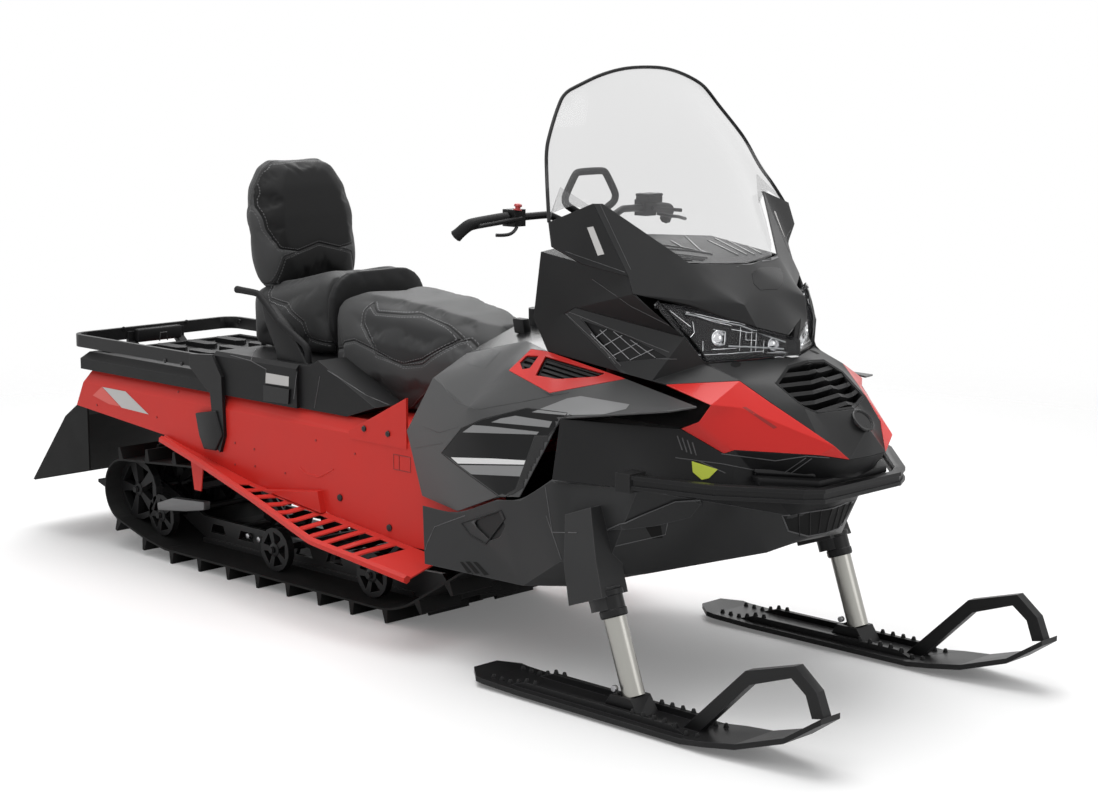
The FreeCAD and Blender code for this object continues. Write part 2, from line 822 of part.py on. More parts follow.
def build_tunnel():
    """Tunnel sheet with the rear arm's tabs and the floor plate that carries the engine."""
    length = size.tunnel_front - size.tunnel_rear
    blocks = []
    for inset in (0, size.tunnel_sheet):
        points = [Vector(size.tunnel_rear, y, z) for y, z in tunnel_section(inset)]
        face = Part.Face(Part.makePolygon(points + points[:1]))
        blocks.append(face.extrude(Vector(length, 0, 0)))
    shell = blocks[0].cut(blocks[1])
    profile = side_prism(tunnel_outline(), -size.tunnel_width, size.tunnel_width)
    tunnel = shell.common(profile)
    outer, inner = size.tunnel_width / 2, size.tunnel_width / 2 - size.tunnel_sheet
    x, z, half = size.arm_rear_x, size.arm_rear_height, size.arm_tab_half
    tab = [(x - half * 1.4, size.tunnel_step_bottom + half), (x - half * 0.5, z - half * 0.5),
           (x + half * 0.5, z - half * 0.5), (x + half * 1.4, size.tunnel_step_bottom + half)]
    additions = [side_prism(tab, min(side * outer, side * inner), max(side * outer, side * inner))
                 for side in (-1, 1)]
    sheet_wall, tall = size.tunnel_sheet, size.tunnel_top - size.tunnel_shoulder
    rise, reach = size.tunnel_shoulder * 3, size.tunnel_shoulder * 5.8
    ahead, behind = size.arm_front_x + reach * 0.38, size.arm_front_x - reach * 0.6
    gusset = [(behind, tall - sheet_wall * 3), (behind, tall + sheet_wall * 2), (ahead, tall + rise),
              (ahead, tall - sheet_wall * 3)]
    line = board_edges()[0]
    heel = [board_height(line, size.arm_front_x - reach * share) for share in (2.10, 1.10, 1.04)]
    box = [(heel[0].x, heel[0].z + size.fit_gap), (heel[1].x, heel[1].z + size.tunnel_shoulder * 1.4),
           (heel[2].x, heel[2].z + size.fit_gap)]
    for side in (-1, 1):
        for profile, thick in ((gusset, sheet_wall), (box, sheet_wall * 5)):
            near, far = side * (outer - sheet_wall), side * (outer + thick)
            additions.append(side_prism(profile, min(near, far), max(near, far)))
    floor_high = size.engine_base - size.fit_gap
    floor_plate = [(size.tunnel_front - size.hitch_thickness, floor_high - size.hitch_thickness),
                   (size.engine_x + size.engine_length, floor_high - size.hitch_thickness),
                   (size.engine_x + size.engine_length, floor_high),
                   (size.tunnel_front - size.hitch_thickness, floor_high)]
    additions.append(side_prism(floor_plate, -outer, outer))
    feature("tunnel", tunnel.multiFuse(additions))


def board_edges():
    """Inner and outer edge points of the left running board, rear to front."""
    half = size.tunnel_width / 2
    inner = [
        Vector(size.tunnel_step_x, half, size.tunnel_step_bottom),
        Vector(size.tunnel_knee_x, half, size.tunnel_knee_bottom),
        Vector(size.board_front_x - size.board_tube * 10, half, size.tunnel_front_bottom),
        Vector(size.board_front_x, half, size.tunnel_front_bottom - size.board_tube),
    ]
    reach = size.board_front_half - half
    outer = [Vector(size.tunnel_step_x, half + size.board_tube, size.tunnel_step_bottom - size.board_tube)]
    span = size.board_front_x - size.tunnel_step_x
    fall = size.tunnel_step_bottom - size.board_front_height
    for along_share, out_share, fall_share in ((0.18, 0.28, 0.24), (0.42, 0.60, 0.50), (0.68, 0.97, 0.82)):
        outer.append(Vector(size.tunnel_step_x + span * along_share, half + reach * out_share,
                            size.tunnel_step_bottom - fall * fall_share))
    outer.append(Vector(size.board_front_x, size.board_front_half, size.board_front_height))
    return inner, outer


def board_height(edges, x):
    """Point at x along an edge line."""
    for start, end in zip(edges, edges[1:]):
        if x <= end.x or end is edges[-1]:
            share = (x - start.x) / (end.x - start.x)
            return start + (end - start) * share
    return edges[-1]


def board_shape():
    """Left running board: sloping plate with slanted openings between toothed bars, and its edge tube."""
    inner, outer = board_edges()
    stations = sorted({p.x for p in inner} | {p.x for p in outer[1:]})
    clear = size.fit_gap
    rows = []
    for x in stations:
        near, far = board_height(inner, x), board_height(outer, x)
        near = near + Vector(0, clear, 0)
        rows.append((near, far))
    triangles = []
    drop = Vector(0, 0, -size.board_sheet)
    for (near_a, far_a), (near_b, far_b) in zip(rows, rows[1:]):
        triangles += [(near_a, near_b, far_b), (near_a, far_b, far_a)]
        triangles += [(near_a + drop, far_b + drop, near_b + drop), (near_a + drop, far_a + drop, far_b + drop)]
        triangles += [(near_a, near_a + drop, near_b + drop), (near_a, near_b + drop, near_b)]
        triangles += [(far_a, far_b + drop, far_a + drop), (far_a, far_b, far_b + drop)]
    (near, far), (near_end, far_end) = rows[0], rows[-1]
    triangles += [(near, far, far + drop), (near, far + drop, near + drop)]
    triangles += [(near_end, far_end + drop, far_end), (near_end, near_end + drop, far_end + drop)]
    plate = poly_solid(triangles)
    cutters = []
    start = size.tunnel_knee_x
    count = int((size.board_front_x - size.board_tube * 4 - start) / size.board_slot_pitch)
    for step in range(count):
        x = start + size.board_slot_pitch * step
        width = size.board_slot_pitch - size.board_bar
        low = size.tunnel_width / 2 + size.board_edge
        far = board_height(outer, x).y - size.board_edge
        skew = (far - low) * 0.55
        if far - low < size.board_bar:
            continue
        points = [(x, low), (x + width, low), (x + width - skew, far), (x - skew, far)]
        cutters.append(plan_prism(points, size.board_front_height - size.overrun * 8,
                                  size.tunnel_step_bottom + size.overrun))
    for cutter in cutters:
        plate = plate.cut(cutter)
    tube = facet_tube(outer, size.board_tube, size.board_tube * 12, sides=6)
    return plate.fuse(tube)


def build_boards():
    feature("running_boards", both_sides(board_shape()))


def build_deck():
    """Black deck tray over the rear of the tunnel, with bevelled edges and raised ovals."""
    low = size.tunnel_top + size.fit_gap
    high = low + size.deck_height
    half = size.tunnel_width / 2
    tray = plan_prism([(size.deck_rear, -half), (size.deck_front, -half), (size.deck_front, half),
                       (size.deck_rear, half)], low, high)
    rims = [edge for edge in tray.Edges if all(abs(v.Z - high) < 1e-6 for v in edge.Vertexes)]
    tray = tray.makeChamfer(size.deck_chamfer, rims)
    inset = size.deck_chamfer * 2
    recess = plan_prism([(size.deck_rear + inset, -half + inset), (size.deck_front - inset, -half + inset),
                         (size.deck_front - inset, half - inset), (size.deck_rear + inset, half - inset)],
                        high - size.deck_recess, high + size.overrun)
    tray = tray.cut(recess)
    bosses = []
    for column in range(3):
        for row in range(4):
            x = size.deck_rear + inset * 1.3 + size.deck_boss_length * (0.5 + 1.22 * column)
            y = (row - 1.5) * size.deck_boss_width * 2.6
            bevel = size.deck_boss_width * 0.42
            long_half, wide_half = size.deck_boss_length / 2, size.deck_boss_width / 2
            outline = [(x - long_half + bevel, y - wide_half), (x + long_half - bevel, y - wide_half),
                       (x + long_half, y), (x + long_half - bevel, y + wide_half),
                       (x - long_half + bevel, y + wide_half), (x - long_half, y)]
            bosses.append(plan_prism(outline, high - size.deck_recess, high + size.deck_boss_height))
    tray = tray.multiFuse(bosses)
    rim = size.deck_chamfer * 1.5
    for x in (size.deck_rear + rim, size.deck_front - rim):
        for y in (rim - half, half - rim):
            place = Vector(x, y, high - size.anchor_depth)
            tray = tray.cut(Part.makeCylinder(size.anchor_radius, size.anchor_depth + size.overrun, place))
    feature("rear_deck", tray)


def build_rack():
    """Flat-bar rail round the rear of the deck, on two rear posts and two side legs."""
    low, high = size.rack_rail_bottom, size.rack_rail_bottom + size.rail_bar_height
    half, bar = size.tunnel_width / 2 + size.rack_leg_thickness / 4, size.rail_bar_thickness
    front = size.rack_front_x
    outline = [Vector(front, -half, low), Vector(size.rack_rear, -half, low), Vector(size.rack_rear, half, low),
               Vector(front, half, low)]
    inner = [Vector(front, -half + bar, low), Vector(size.rack_rear + bar, -half + bar, low),
             Vector(size.rack_rear + bar, half - bar, low), Vector(front, half - bar, low)]
    outer_wire = bent_path(outline, size.rack_corner_radius)
    inner_wire = bent_path(inner, size.rack_corner_radius - bar)
    caps = [Part.LineSegment(outline[0], inner[0]).toShape(), Part.LineSegment(outline[-1], inner[-1]).toShape()]
    ring = Part.Wire(Part.sortEdges(outer_wire.Edges + inner_wire.Edges + caps)[0])
    rail = Part.Face(ring).extrude(Vector(0, 0, size.rail_bar_height))
    pieces = []
    deck_end = size.deck_rear - size.fit_gap
    for side in (-1, 1):
        y = side * size.rack_post_offset
        post = [(size.rack_rear + bar / 2, high - bar), (size.rack_rear + bar / 2, low - bar),
                (deck_end - bar, size.tunnel_top + size.deck_height / 2),
                (deck_end - bar, size.tunnel_top + bar), (deck_end, size.tunnel_top + bar),
                (deck_end, size.tunnel_top + size.deck_height / 2 + bar / 2),
                (size.rack_rear + bar * 1.5, low - bar / 2), (size.rack_rear + bar * 1.5, high - bar)]
        pieces.append(side_prism(post, y - size.rack_post_width / 2, y + size.rack_post_width / 2))
        leg_out = size.tunnel_width / 2 + size.fit_gap
        x, w = size.rack_leg_x, size.rack_leg_width
        foot = size.rack_leg_foot
        side_profile = [(front - bar, low), (front - bar, high), (x - w * 0.4, high + bar * 0.6),
                        (x + w * 0.5, low - bar), (x + w * 0.62, foot + w), (x + w * 0.2, foot),
                        (x - w * 0.3, foot + w * 0.4), (x - w * 0.62, size.tunnel_top)]
        y_low = side * leg_out
        y_high = side * (leg_out + size.rack_leg_thickness)
        pieces.append(side_prism(side_profile, min(y_low, y_high), max(y_low, y_high)))
    feature("cargo_rack", rail.multiFuse(pieces))


def build_tail_lamp():
    """Tail lamp between the rack's rear posts: a box whose sizes follow the sheet."""
    lamp = bound("Part::Box", "tail_lamp", Length="Sizes.tail_lamp_depth", Width="Sizes.tail_lamp_width",
                 Height="Sizes.tail_lamp_height",
                 Placement__Base__x="Sizes.deck_rear - Sizes.tail_lamp_depth - Sizes.fit_gap",
                 Placement__Base__y="-Sizes.tail_lamp_width / 2",
                 Placement__Base__z="Sizes.tunnel_top + Sizes.fit_gap")
    keep(lamp, "tail_lamp")


def build_hitch():
    """Tow tongue under the deck's rear edge, with an upright pin bore."""
    plate = bound("Part::Box", "hitch_plate", Length="Sizes.hitch_reach + Sizes.tunnel_rear_rake / 2",
                  Width="Sizes.hitch_width", Height="Sizes.hitch_thickness",
                  Placement__Base__x="Sizes.tunnel_rear - Sizes.hitch_reach",
                  Placement__Base__y="-Sizes.hitch_width / 2", Placement__Base__z="Sizes.hitch_height")
    bore = bound("Part::Cylinder", "hitch_bore", Radius="Sizes.hitch_bore_radius",
                 Height="Sizes.hitch_thickness + 2 * Sizes.overrun",
                 Placement__Base__x="Sizes.tunnel_rear - Sizes.hitch_reach + Sizes.hitch_width / 3",
                 Placement__Base__z="Sizes.hitch_height - Sizes.overrun")
    beam = bound("Part::Box", "hitch_beam", Length="Sizes.tunnel_rear_rake / 2",
                 Width="Sizes.tunnel_width - 2 * Sizes.tunnel_sheet - 2 * Sizes.fit_gap",
                 Height="Sizes.hitch_thickness * 4",
                 Placement__Base__x="Sizes.tunnel_rear + Sizes.tunnel_rear_rake / 2",
                 Placement__Base__y="-Sizes.tunnel_width / 2 + Sizes.tunnel_sheet + Sizes.fit_gap",
                 Placement__Base__z="Sizes.hitch_height - Sizes.hitch_thickness")
    drilled = doc.addObject("Part::Cut", "hitch_drilled")
    drilled.Base, drilled.Tool = plate, bore
    whole = doc.addObject("Part::Fuse", "hitch")
    whole.Base, whole.Tool = drilled, beam
    keep(whole, "hitch")


def build_flap():
    """Rubber snow flap hung from the tunnel's rear edge, with a cheek at each side."""
    sheet_wall, half = size.flap_sheet, (size.tunnel_width - size.flap_sheet) / 2
    top = (size.tunnel_rear - size.fit_gap, size.tunnel_rear_bottom)
    bend = (size.flap_top_x, size.flap_top)
    toe = (-size.half_length, size.flap_bottom)
    blade = [top, bend, toe, (toe[0] + sheet_wall, toe[1] - sheet_wall / 3),
             (bend[0] + sheet_wall, bend[1] - sheet_wall), (top[0], top[1] - sheet_wall)]
    flap = side_prism(blade, -half, half)
    slope = (size.tunnel_rear_bottom - size.tunnel_step_bottom) / (size.tunnel_step_x - size.tunnel_rear)
    cheek_top = size.tunnel_rear_bottom - slope * (size.flap_cheek_x - size.tunnel_rear) - size.fit_gap
    cheek = [(top[0], top[1] - size.fit_gap), bend, toe, (size.flap_cheek_x, size.flap_cheek_bottom),
             (size.flap_cheek_x, cheek_top)]
    for side in (-1, 1):
        low = side * half - sheet_wall / 2
        flap = flap.fuse(side_prism(cheek, low, low + sheet_wall))
    feature("snow_flap", flap)


# Seats
def cushion(stations):
    """A cushion through rounded sections across the machine, each given as x, half width, bottom and top."""
    rings = []
    for x, half, low, high in stations:
        radius = min(half, (high - low) / 2) * 0.45
        centre = Vector(x, 0, (low + high) / 2)
        rings.append(soft_ring(centre, Vector(0, 1, 0), Vector(0, 0, 1), half, (high - low) / 2, radius))
    return ring_solid(rings)


def seat_base_top():
    """Height of the storage base under the passenger."""
    return size.tunnel_top + (size.seat_height - size.tunnel_top) * 0.4


def build_seats():
    """Driver's and passenger's cushions, with the black arch that stands between them."""
    base = size.tunnel_top + size.fit_gap
    half, top = size.seat_half, size.seat_height
    front, split, rear = size.seat_front, size.seat_split, size.seat_rear
    span, rise = front - split, top - base
    driver_shares = ((0.0, 0.97, 0.0, 1.015), (0.12, 1.0, 0.0, 1.01), (0.48, 0.98, 0.0, 0.962),
                     (0.74, 0.84, 0.0, 0.885), (0.90, 0.66, 0.06, 0.81), (1.0, 0.50, 0.20, 0.74))
    stations = [(split + span * along, half * wide, base + rise * low, base + rise * high)
                for along, wide, low, high in driver_shares]
    feature("driver_seat", cushion(stations))
    floor = seat_base_top() + size.fit_gap
    span, rise = split - size.seat_arch - size.fit_gap - rear, top - floor
    passenger_shares = ((0.0, 0.88, 0.96), (0.10, 0.96, 0.99), (0.40, 1.0, 1.08), (0.70, 1.0, 1.20),
                        (0.92, 0.95, 1.31), (1.0, 0.88, 1.30))
    stations = [(rear + span * along, half * wide, floor, floor + rise * high)
                for along, wide, high in passenger_shares]
    feature("passenger_seat", cushion(stations))
    arch_half, arch_rise = half * 0.95, (top + size.seat_arch_rise - floor) / 2
    rings = [soft_ring(Vector(x, 0, floor + arch_rise), Vector(0, 1, 0), Vector(0, 0, 1), arch_half, arch_rise,
                       arch_rise * 0.85, 5)
             for x in (split - size.seat_arch + size.fit_gap, split - size.fit_gap)]
    feature("seat_arch", ring_solid(rings))


def build_backrest():
    """Backrest pad leaning rearward on two flat stays that stand on the deck."""
    lean = size.back_rest_lean
    low = size.seat_height + size.back_rest_lift
    high = low + size.back_rest_height
    rise = high - low
    sections = []
    shares = ((0.0, 0.78, 0.66), (0.06, 0.90, 0.90), (0.20, 0.98, 1.0), (0.50, 1.0, 1.0), (0.75, 0.90, 0.90),
              (0.93, 0.72, 0.66), (1.0, 0.52, 0.40))
    for up, wide, deep in shares:
        z = low + rise * up
        middle = size.back_rest_face - lean * up - size.back_rest_depth / 2
        half, depth = size.back_rest_half * wide, size.back_rest_depth * deep
        centre = Vector(middle, 0, z)
        sections.append(soft_ring(centre, Vector(1, 0, 0), Vector(0, 1, 0), depth / 2, half, depth * 0.42))
    pad = ring_solid(sections)
    foot = size.tunnel_top + size.deck_height + size.fit_gap * 2
    foot_x = size.deck_front - size.deck_chamfer - size.fit_gap
    stay_top = low + rise * 0.12
    stay_x = size.back_rest_face - size.back_rest_depth * 0.93
    wall, width = size.back_rest_stay, size.back_rest_stay * 5
    stay = [(foot_x - width, foot), (foot_x, foot), (foot_x, foot + wall), (foot_x - width / 2, foot + wall * 2),
            (stay_x, low - wall), (stay_x, stay_top), (stay_x - wall, stay_top), (stay_x - wall, low),
            (foot_x - width / 2 - wall, foot + wall * 2), (foot_x - width, foot + wall)]
    stays = []
    for side in (-1, 1):
        y = side * size.back_rest_half / 2
        stays.append(side_prism(stay, y - width / 2, y + width / 2))
    feature("backrest", pad.multiFuse(stays))


def build_seat_base():
    """Storage base under the passenger, with cheeks that run forward beside the driver's seat."""
    low, high = size.tunnel_top + size.fit_gap, seat_base_top()
    half = size.tunnel_width / 2 - size.fit_gap
    rear, split = size.deck_front + size.fit_gap, size.seat_split - size.fit_gap
    box = plan_prism([(rear, -half), (split, -half), (split, half), (rear, half)], low, high)
    rims = [edge for edge in box.Edges if all(abs(v.Z - high) < 1e-6 for v in edge.Vertexes)
            and abs(edge.Vertexes[0].Y - edge.Vertexes[1].Y) < 1e-6]
    box = box.makeChamfer(size.seat_base_bevel, rims)
    cheek = [(split - half * 0.1, low), (split + half * 0.64, low), (split + half * 1.02, low + half * 0.12),
             (split + half * 0.26, high + half * 0.06), (split + half * 0.14, high), (split - half * 0.1, high)]
    cheeks = []
    inner, outer = size.seat_half + size.fit_gap, half - size.seat_base_bevel
    for side in (-1, 1):
        cheeks.append(side_prism(cheek, min(side * inner, side * outer), max(side * inner, side * outer)))
    feature("seat_base", box.multiFuse(cheeks))


def build_grab_handles():
    """A bent grab handle at each side, standing on the seat base."""
    half = size.tunnel_width / 2
    top, foot = size.seat_height, seat_base_top() + size.fit_gap
    front = size.seat_split
    left = [
        Vector(size.seat_rear + half * 0.28, half * 0.92, top),
        Vector(size.seat_rear + half * 0.60, half * 0.92, top - half * 0.01),
        Vector(size.seat_rear + half * 0.85, half * 0.90, top - half * 0.24),
        Vector(front, half * 0.86, foot + half * 0.14),
        Vector(front, half * 0.86, foot),
    ]
    feature("grab_handles", both_sides(facet_tube(left, size.bar_radius, size.bar_radius * 3)))


# Cowl: corner places as shares of the cowl's length, half width and height
CORNER_SHARES = {
    # hood centre
    "hood_step": (0.749, 0.408, 0.618),
    "hood_side": (0.826, 0.350, 0.568), "hood_cheek": (0.925, 0.256, 0.500), "hood_toe": (0.984, 0.144, 0.438),
    "hood_foot": (0.990, 0.0, 0.438), "hood_badge": (0.982, 0.0, 0.508),
    "grille_top": (0.795, 0.0, 0.652), "grille_brow": (0.789, 0.144, 0.646), "grille_side": (0.802, 0.268, 0.611),
    "grille_jaw": (0.882, 0.246, 0.559), "grille_chin": (0.890, 0.160, 0.541), "grille_low": (0.938, 0.0, 0.548),
    # red hood panel
    "red_tail": (0.595, 0.600, 0.603), "red_ridge": (0.784, 0.480, 0.560), "red_ridge_end": (0.972, 0.230, 0.474),
    "red_front": (0.944, 0.280, 0.452), "red_keel": (0.785, 0.524, 0.460), "red_keel_rear": (0.762, 0.550, 0.450),
    "red_low": (0.672, 0.660, 0.507), "red_notch_low": (0.718, 0.634, 0.527), "red_notch": (0.740, 0.600, 0.569),
    # shoulder beside the lamp
    "shoulder_tail": (0.242, 0.580, 0.743), "shoulder_peak": (0.281, 0.580, 0.762),
    "shoulder_lamp": (0.619, 0.520, 0.716), "shoulder_low": (0.447, 0.600, 0.616),
    "shoulder_bend": (0.550, 0.600, 0.606),
    # fairing
    "horn_tip": (0.378, 0.658, 1.032), "horn_inner": (0.395, 0.624, 1.032), "horn_foot": (0.489, 0.640, 0.860),
    "chin_rear": (0.510, 0.652, 0.818), "glass_bend": (0.560, 0.340, 0.885), "glass_low": (0.610, 0.0, 0.875),
    "brow_side": (0.590, 0.420, 0.800), "brow_low": (0.585, 0.420, 0.785), "nose_side": (0.690, 0.240, 0.790),
    "nose_front": (0.663, 0.0, 0.827), "nose_corner": (0.714, 0.200, 0.735), "nose_tip": (0.762, 0.0, 0.705),
    # lamp
    "lamp_tip": (0.558, 0.600, 0.800), "lamp_low": (0.649, 0.428, 0.650), "lamp_foot": (0.764, 0.0, 0.657),
    # deflector
    "fin_top": (0.359, 0.926, 0.993), "fin_low": (0.376, 0.940, 0.935), "fin_foot": (0.410, 0.800, 0.890),
    # side panel
    "panel_seat": (-0.200, 0.430, 0.592), "panel_top": (0.045, 0.460, 0.650), "panel_crest": (-0.200, 0.680, 0.537),
    "panel_bulge": (0.0, 0.800, 0.486), "panel_tail": (-0.315, 0.670, 0.378), "panel_heel": (-0.238, 0.700, 0.210),
    "panel_low": (-0.043, 0.800, 0.205), "decal_rear": (-0.110, 0.790, 0.385), "decal_toe": (0.140, 0.860, 0.276),
    "strip_toe": (0.225, 0.870, 0.288), "vent_rear": (0.090, 0.680, 0.588), "vent_crown": (0.171, 0.560, 0.640),
    "vent_top": (0.112, 0.560, 0.640),
    "vent_front": (0.464, 0.600, 0.603), "vent_low": (0.278, 0.760, 0.555), "wing_tip": (0.727, 0.668, 0.568),
    "wing_low": (0.698, 0.810, 0.562), "wing_root": (0.350, 0.830, 0.503),
    # console side
    "knee_top": (0.197, 0.660, 0.901), "knee_mid": (0.140, 0.600, 0.725),
    # belly pan and front shell
    "pan_heel": (-0.180, 0.800, 0.200), "pan_rear_low": (-0.140, 0.860, 0.052),
    "pan_rear_middle": (0.075, 0.0, 0.047),
    "pan_rear_inner": (-0.140, 0.6502, 0.056), "pan_front_inner": (0.075, 0.6502, 0.056),
    "pan_top_a": (-0.043, 0.810, 0.198), "pan_top_b": (0.140, 0.870, 0.268), "pan_top_c": (0.235, 0.880, 0.282),
    "pan_low_mid": (0.227, 0.850, 0.057), "pan_low_front": (0.403, 0.800, 0.082),
    "tower_rear": (0.346, 0.880, 0.351), "tower_front": (0.390, 0.840, 0.344), "tower_heel": (0.386, 0.900, 0.152),
    "tower_toe": (0.515, 0.860, 0.138), "pan_side_front": (0.578, 0.700, 0.135),
    "pan_keel_side": (0.797, 0.300, 0.192),
    "pan_chin_side": (0.852, 0.130, 0.225), "pan_chin": (0.862, 0.0, 0.225), "pan_keel_rear": (0.400, 0.0, 0.060),
    "bay_mid": (0.607, 0.820, 0.360), "bay_front": (0.790, 0.560, 0.330), "lip_corner": (0.853, 0.258, 0.290),
    "lip_middle": (0.880, 0.0, 0.295),
    # dash and tank cover
    "dash_wing": (0.4788, 0.6407, 0.8614), "dash_brow": (0.549, 0.332, 0.886), "dash_nose": (0.598, 0.0, 0.877),
    "dash_mid": (0.150, 0.0, 0.925), "dash_sill": (0.075, 0.0, 0.662), "cover_nose": (-0.198, 0.0, 0.660),
    "cover_side_foot": (-0.198, 0.640, 0.382), "cover_foot": (-0.198, 0.0, 0.382),
}


def cowl_point(shares):
    """A place in the cowl's reference box."""
    along, out, up = shares
    return Vector(size.cowl_rear + along * size.cowl_length, out * size.cowl_half_width,
                  size.cowl_floor + up * size.cowl_height)


def cowl_corners():
    return {name: cowl_point(shares) for name, shares in CORNER_SHARES.items()}


# Facets of each panel, by the names of their corners
COWL_PANELS = {
    "hood": [
        ("lamp_foot", "lamp_low", "grille_side", "grille_brow", "grille_top"),
        ("lamp_low", "hood_step", "grille_side"), ("hood_step", "hood_side", "grille_side"),
        ("hood_side", "grille_jaw", "grille_side"), ("hood_side", "hood_cheek", "grille_jaw"),
        ("grille_jaw", "hood_cheek", "grille_chin"),
        ("grille_chin", "hood_cheek", "hood_toe", "hood_badge", "grille_low"),
        ("hood_toe", "hood_foot", "hood_badge"),
    ],
    "grille": [
        ("grille_top", "grille_brow", "grille_side", "grille_jaw", "grille_chin", "grille_low"),
    ],
    "hood_panel": [
        ("red_tail", "red_notch", "red_ridge", "hood_side", "hood_step"),
        ("hood_side", "red_ridge", "red_ridge_end", "hood_cheek"),
        ("hood_cheek", "red_ridge_end", "hood_toe"),
        ("red_notch", "red_notch_low", "red_low", "red_keel_rear", "red_keel", "red_ridge"),
        ("red_ridge", "red_keel", "red_front", "red_ridge_end"),
        ("red_ridge_end", "red_front", "hood_toe"),
    ],
    "shoulder": [
        ("shoulder_tail", "shoulder_low", "shoulder_lamp", "shoulder_peak"),
        ("shoulder_low", "shoulder_bend", "lamp_low", "shoulder_lamp"),
        ("shoulder_bend", "red_tail", "hood_step", "lamp_low"),
    ],
    "headlamp": [
        ("shoulder_lamp", "lamp_low", "brow_low", "lamp_tip"),
        ("lamp_low", "lamp_foot", "nose_tip", "nose_corner", "brow_low"),
    ],
    "fairing": [
        ("horn_tip", "horn_foot", "brow_side", "glass_bend", "horn_inner"),
        ("glass_bend", "brow_side", "nose_side", "nose_front", "glass_low"),
        ("brow_side", "nose_corner", "nose_side"),
        ("nose_side", "nose_corner", "nose_tip", "nose_front"),
        ("horn_foot", "chin_rear", "brow_low", "brow_side"),
        ("brow_side", "brow_low", "nose_corner"),
    ],
    "deflector": [
        ("fin_top", "fin_low", "fin_foot", "horn_foot", "horn_tip"),
    ],
    "side_panel": [
        ("panel_seat", "panel_top", "vent_crown", "vent_top", "vent_rear", "panel_bulge", "panel_crest"),
        ("panel_crest", "panel_bulge", "decal_rear", "panel_tail"),
        ("panel_tail", "decal_rear", "panel_low", "panel_heel"),
        ("decal_rear", "decal_toe", "panel_low"),
        ("decal_rear", "panel_bulge", "wing_root", "strip_toe", "decal_toe"),
        ("vent_rear", "vent_low", "wing_root", "panel_bulge"),
        ("vent_low", "vent_front", "wing_tip", "wing_low", "wing_root"),
    ],
    "vent_frame": [
        ("vent_top", "vent_crown", "vent_front", "vent_low", "vent_rear"),
    ],
    "console_side": [
        ("knee_top", "dash_wing", "horn_foot", "chin_rear", "shoulder_lamp", "shoulder_peak", "shoulder_tail",
         "knee_mid"),
        ("knee_mid", "shoulder_tail", "shoulder_low", "vent_crown"),
    ],
    "dash": [
        ("knee_top", "dash_wing", "dash_brow", "dash_mid"), ("dash_mid", "dash_brow", "dash_nose"),
        ("knee_top", "dash_mid", "dash_sill", "knee_mid"), ("knee_mid", "dash_sill", "vent_crown"),
    ],
    "tank_cover": [
        ("cover_nose", "dash_sill", "vent_crown", "panel_top", "panel_seat"),
        ("cover_nose", "panel_seat", "panel_crest", "cover_side_foot", "cover_foot"),
    ],
    "front_shell": [
        ("wing_root", "red_low", "bay_mid", "tower_rear"),
        ("red_low", "red_keel_rear", "bay_front", "bay_mid"),
        ("red_keel_rear", "red_keel", "red_front", "lip_corner", "bay_front"),
        ("red_front", "hood_toe", "lip_corner"), ("hood_toe", "hood_foot", "lip_middle", "lip_corner"),
    ],
    "belly_pan": [
        ("pan_heel", "pan_rear_low", "pan_low_mid", "pan_top_b", "pan_top_a"),
        ("pan_top_b", "pan_low_mid", "pan_low_front", "tower_heel", "tower_rear", "pan_top_c"),
        ("tower_rear", "tower_heel", "tower_toe", "tower_front"),
        ("tower_front", "tower_toe", "pan_side_front", "bay_front", "bay_mid"),
        ("tower_heel", "pan_low_front", "tower_toe"),
        ("tower_rear", "tower_front", "bay_mid"),
        ("pan_side_front", "pan_keel_side", "pan_chin_side", "lip_corner", "bay_front"),
        ("lip_corner", "pan_chin_side", "pan_chin", "lip_middle"),
        ("pan_rear_low", "pan_rear_inner", "pan_front_inner", "pan_low_mid"),
        ("pan_front_inner", "pan_rear_middle", "pan_keel_rear", "pan_low_front", "pan_low_mid"),
        ("pan_low_front", "pan_keel_rear", "pan_keel_side", "pan_side_front", "tower_toe"),
        ("pan_keel_rear", "pan_chin", "pan_chin_side", "pan_keel_side"),
    ],
}

# Windshield: rows of shares from its outer edge to its middle, from the bottom upward
GLASS_ROW_SHARES = [
    [(0.351, 0.910, 0.992), (0.366, 0.640, 1.020), (0.550, 0.320, 0.889), (0.600, 0.0, 0.882)],
    [(0.327, 0.870, 1.043), (0.366, 0.650, 1.045), (0.440, 0.360, 1.040), (0.486, 0.0, 1.040)],
    [(0.271, 0.770, 1.161), (0.330, 0.540, 1.163), (0.385, 0.290, 1.165), (0.415, 0.0, 1.165)],
    [(0.235, 0.620, 1.256), (0.285, 0.430, 1.260), (0.322, 0.230, 1.262), (0.342, 0.0, 1.262)],
    [(0.228, 0.530, 1.300), (0.240, 0.320, 1.341), (0.246, 0.160, 1.358), (0.248, 0.0, 1.362)],
]


def whole_panel(skin, label):
    """A panel that crosses the machine's middle, with its mirror image joined to it."""
    half = skin.panel(label)
    return half.fuse(mirrored(half))


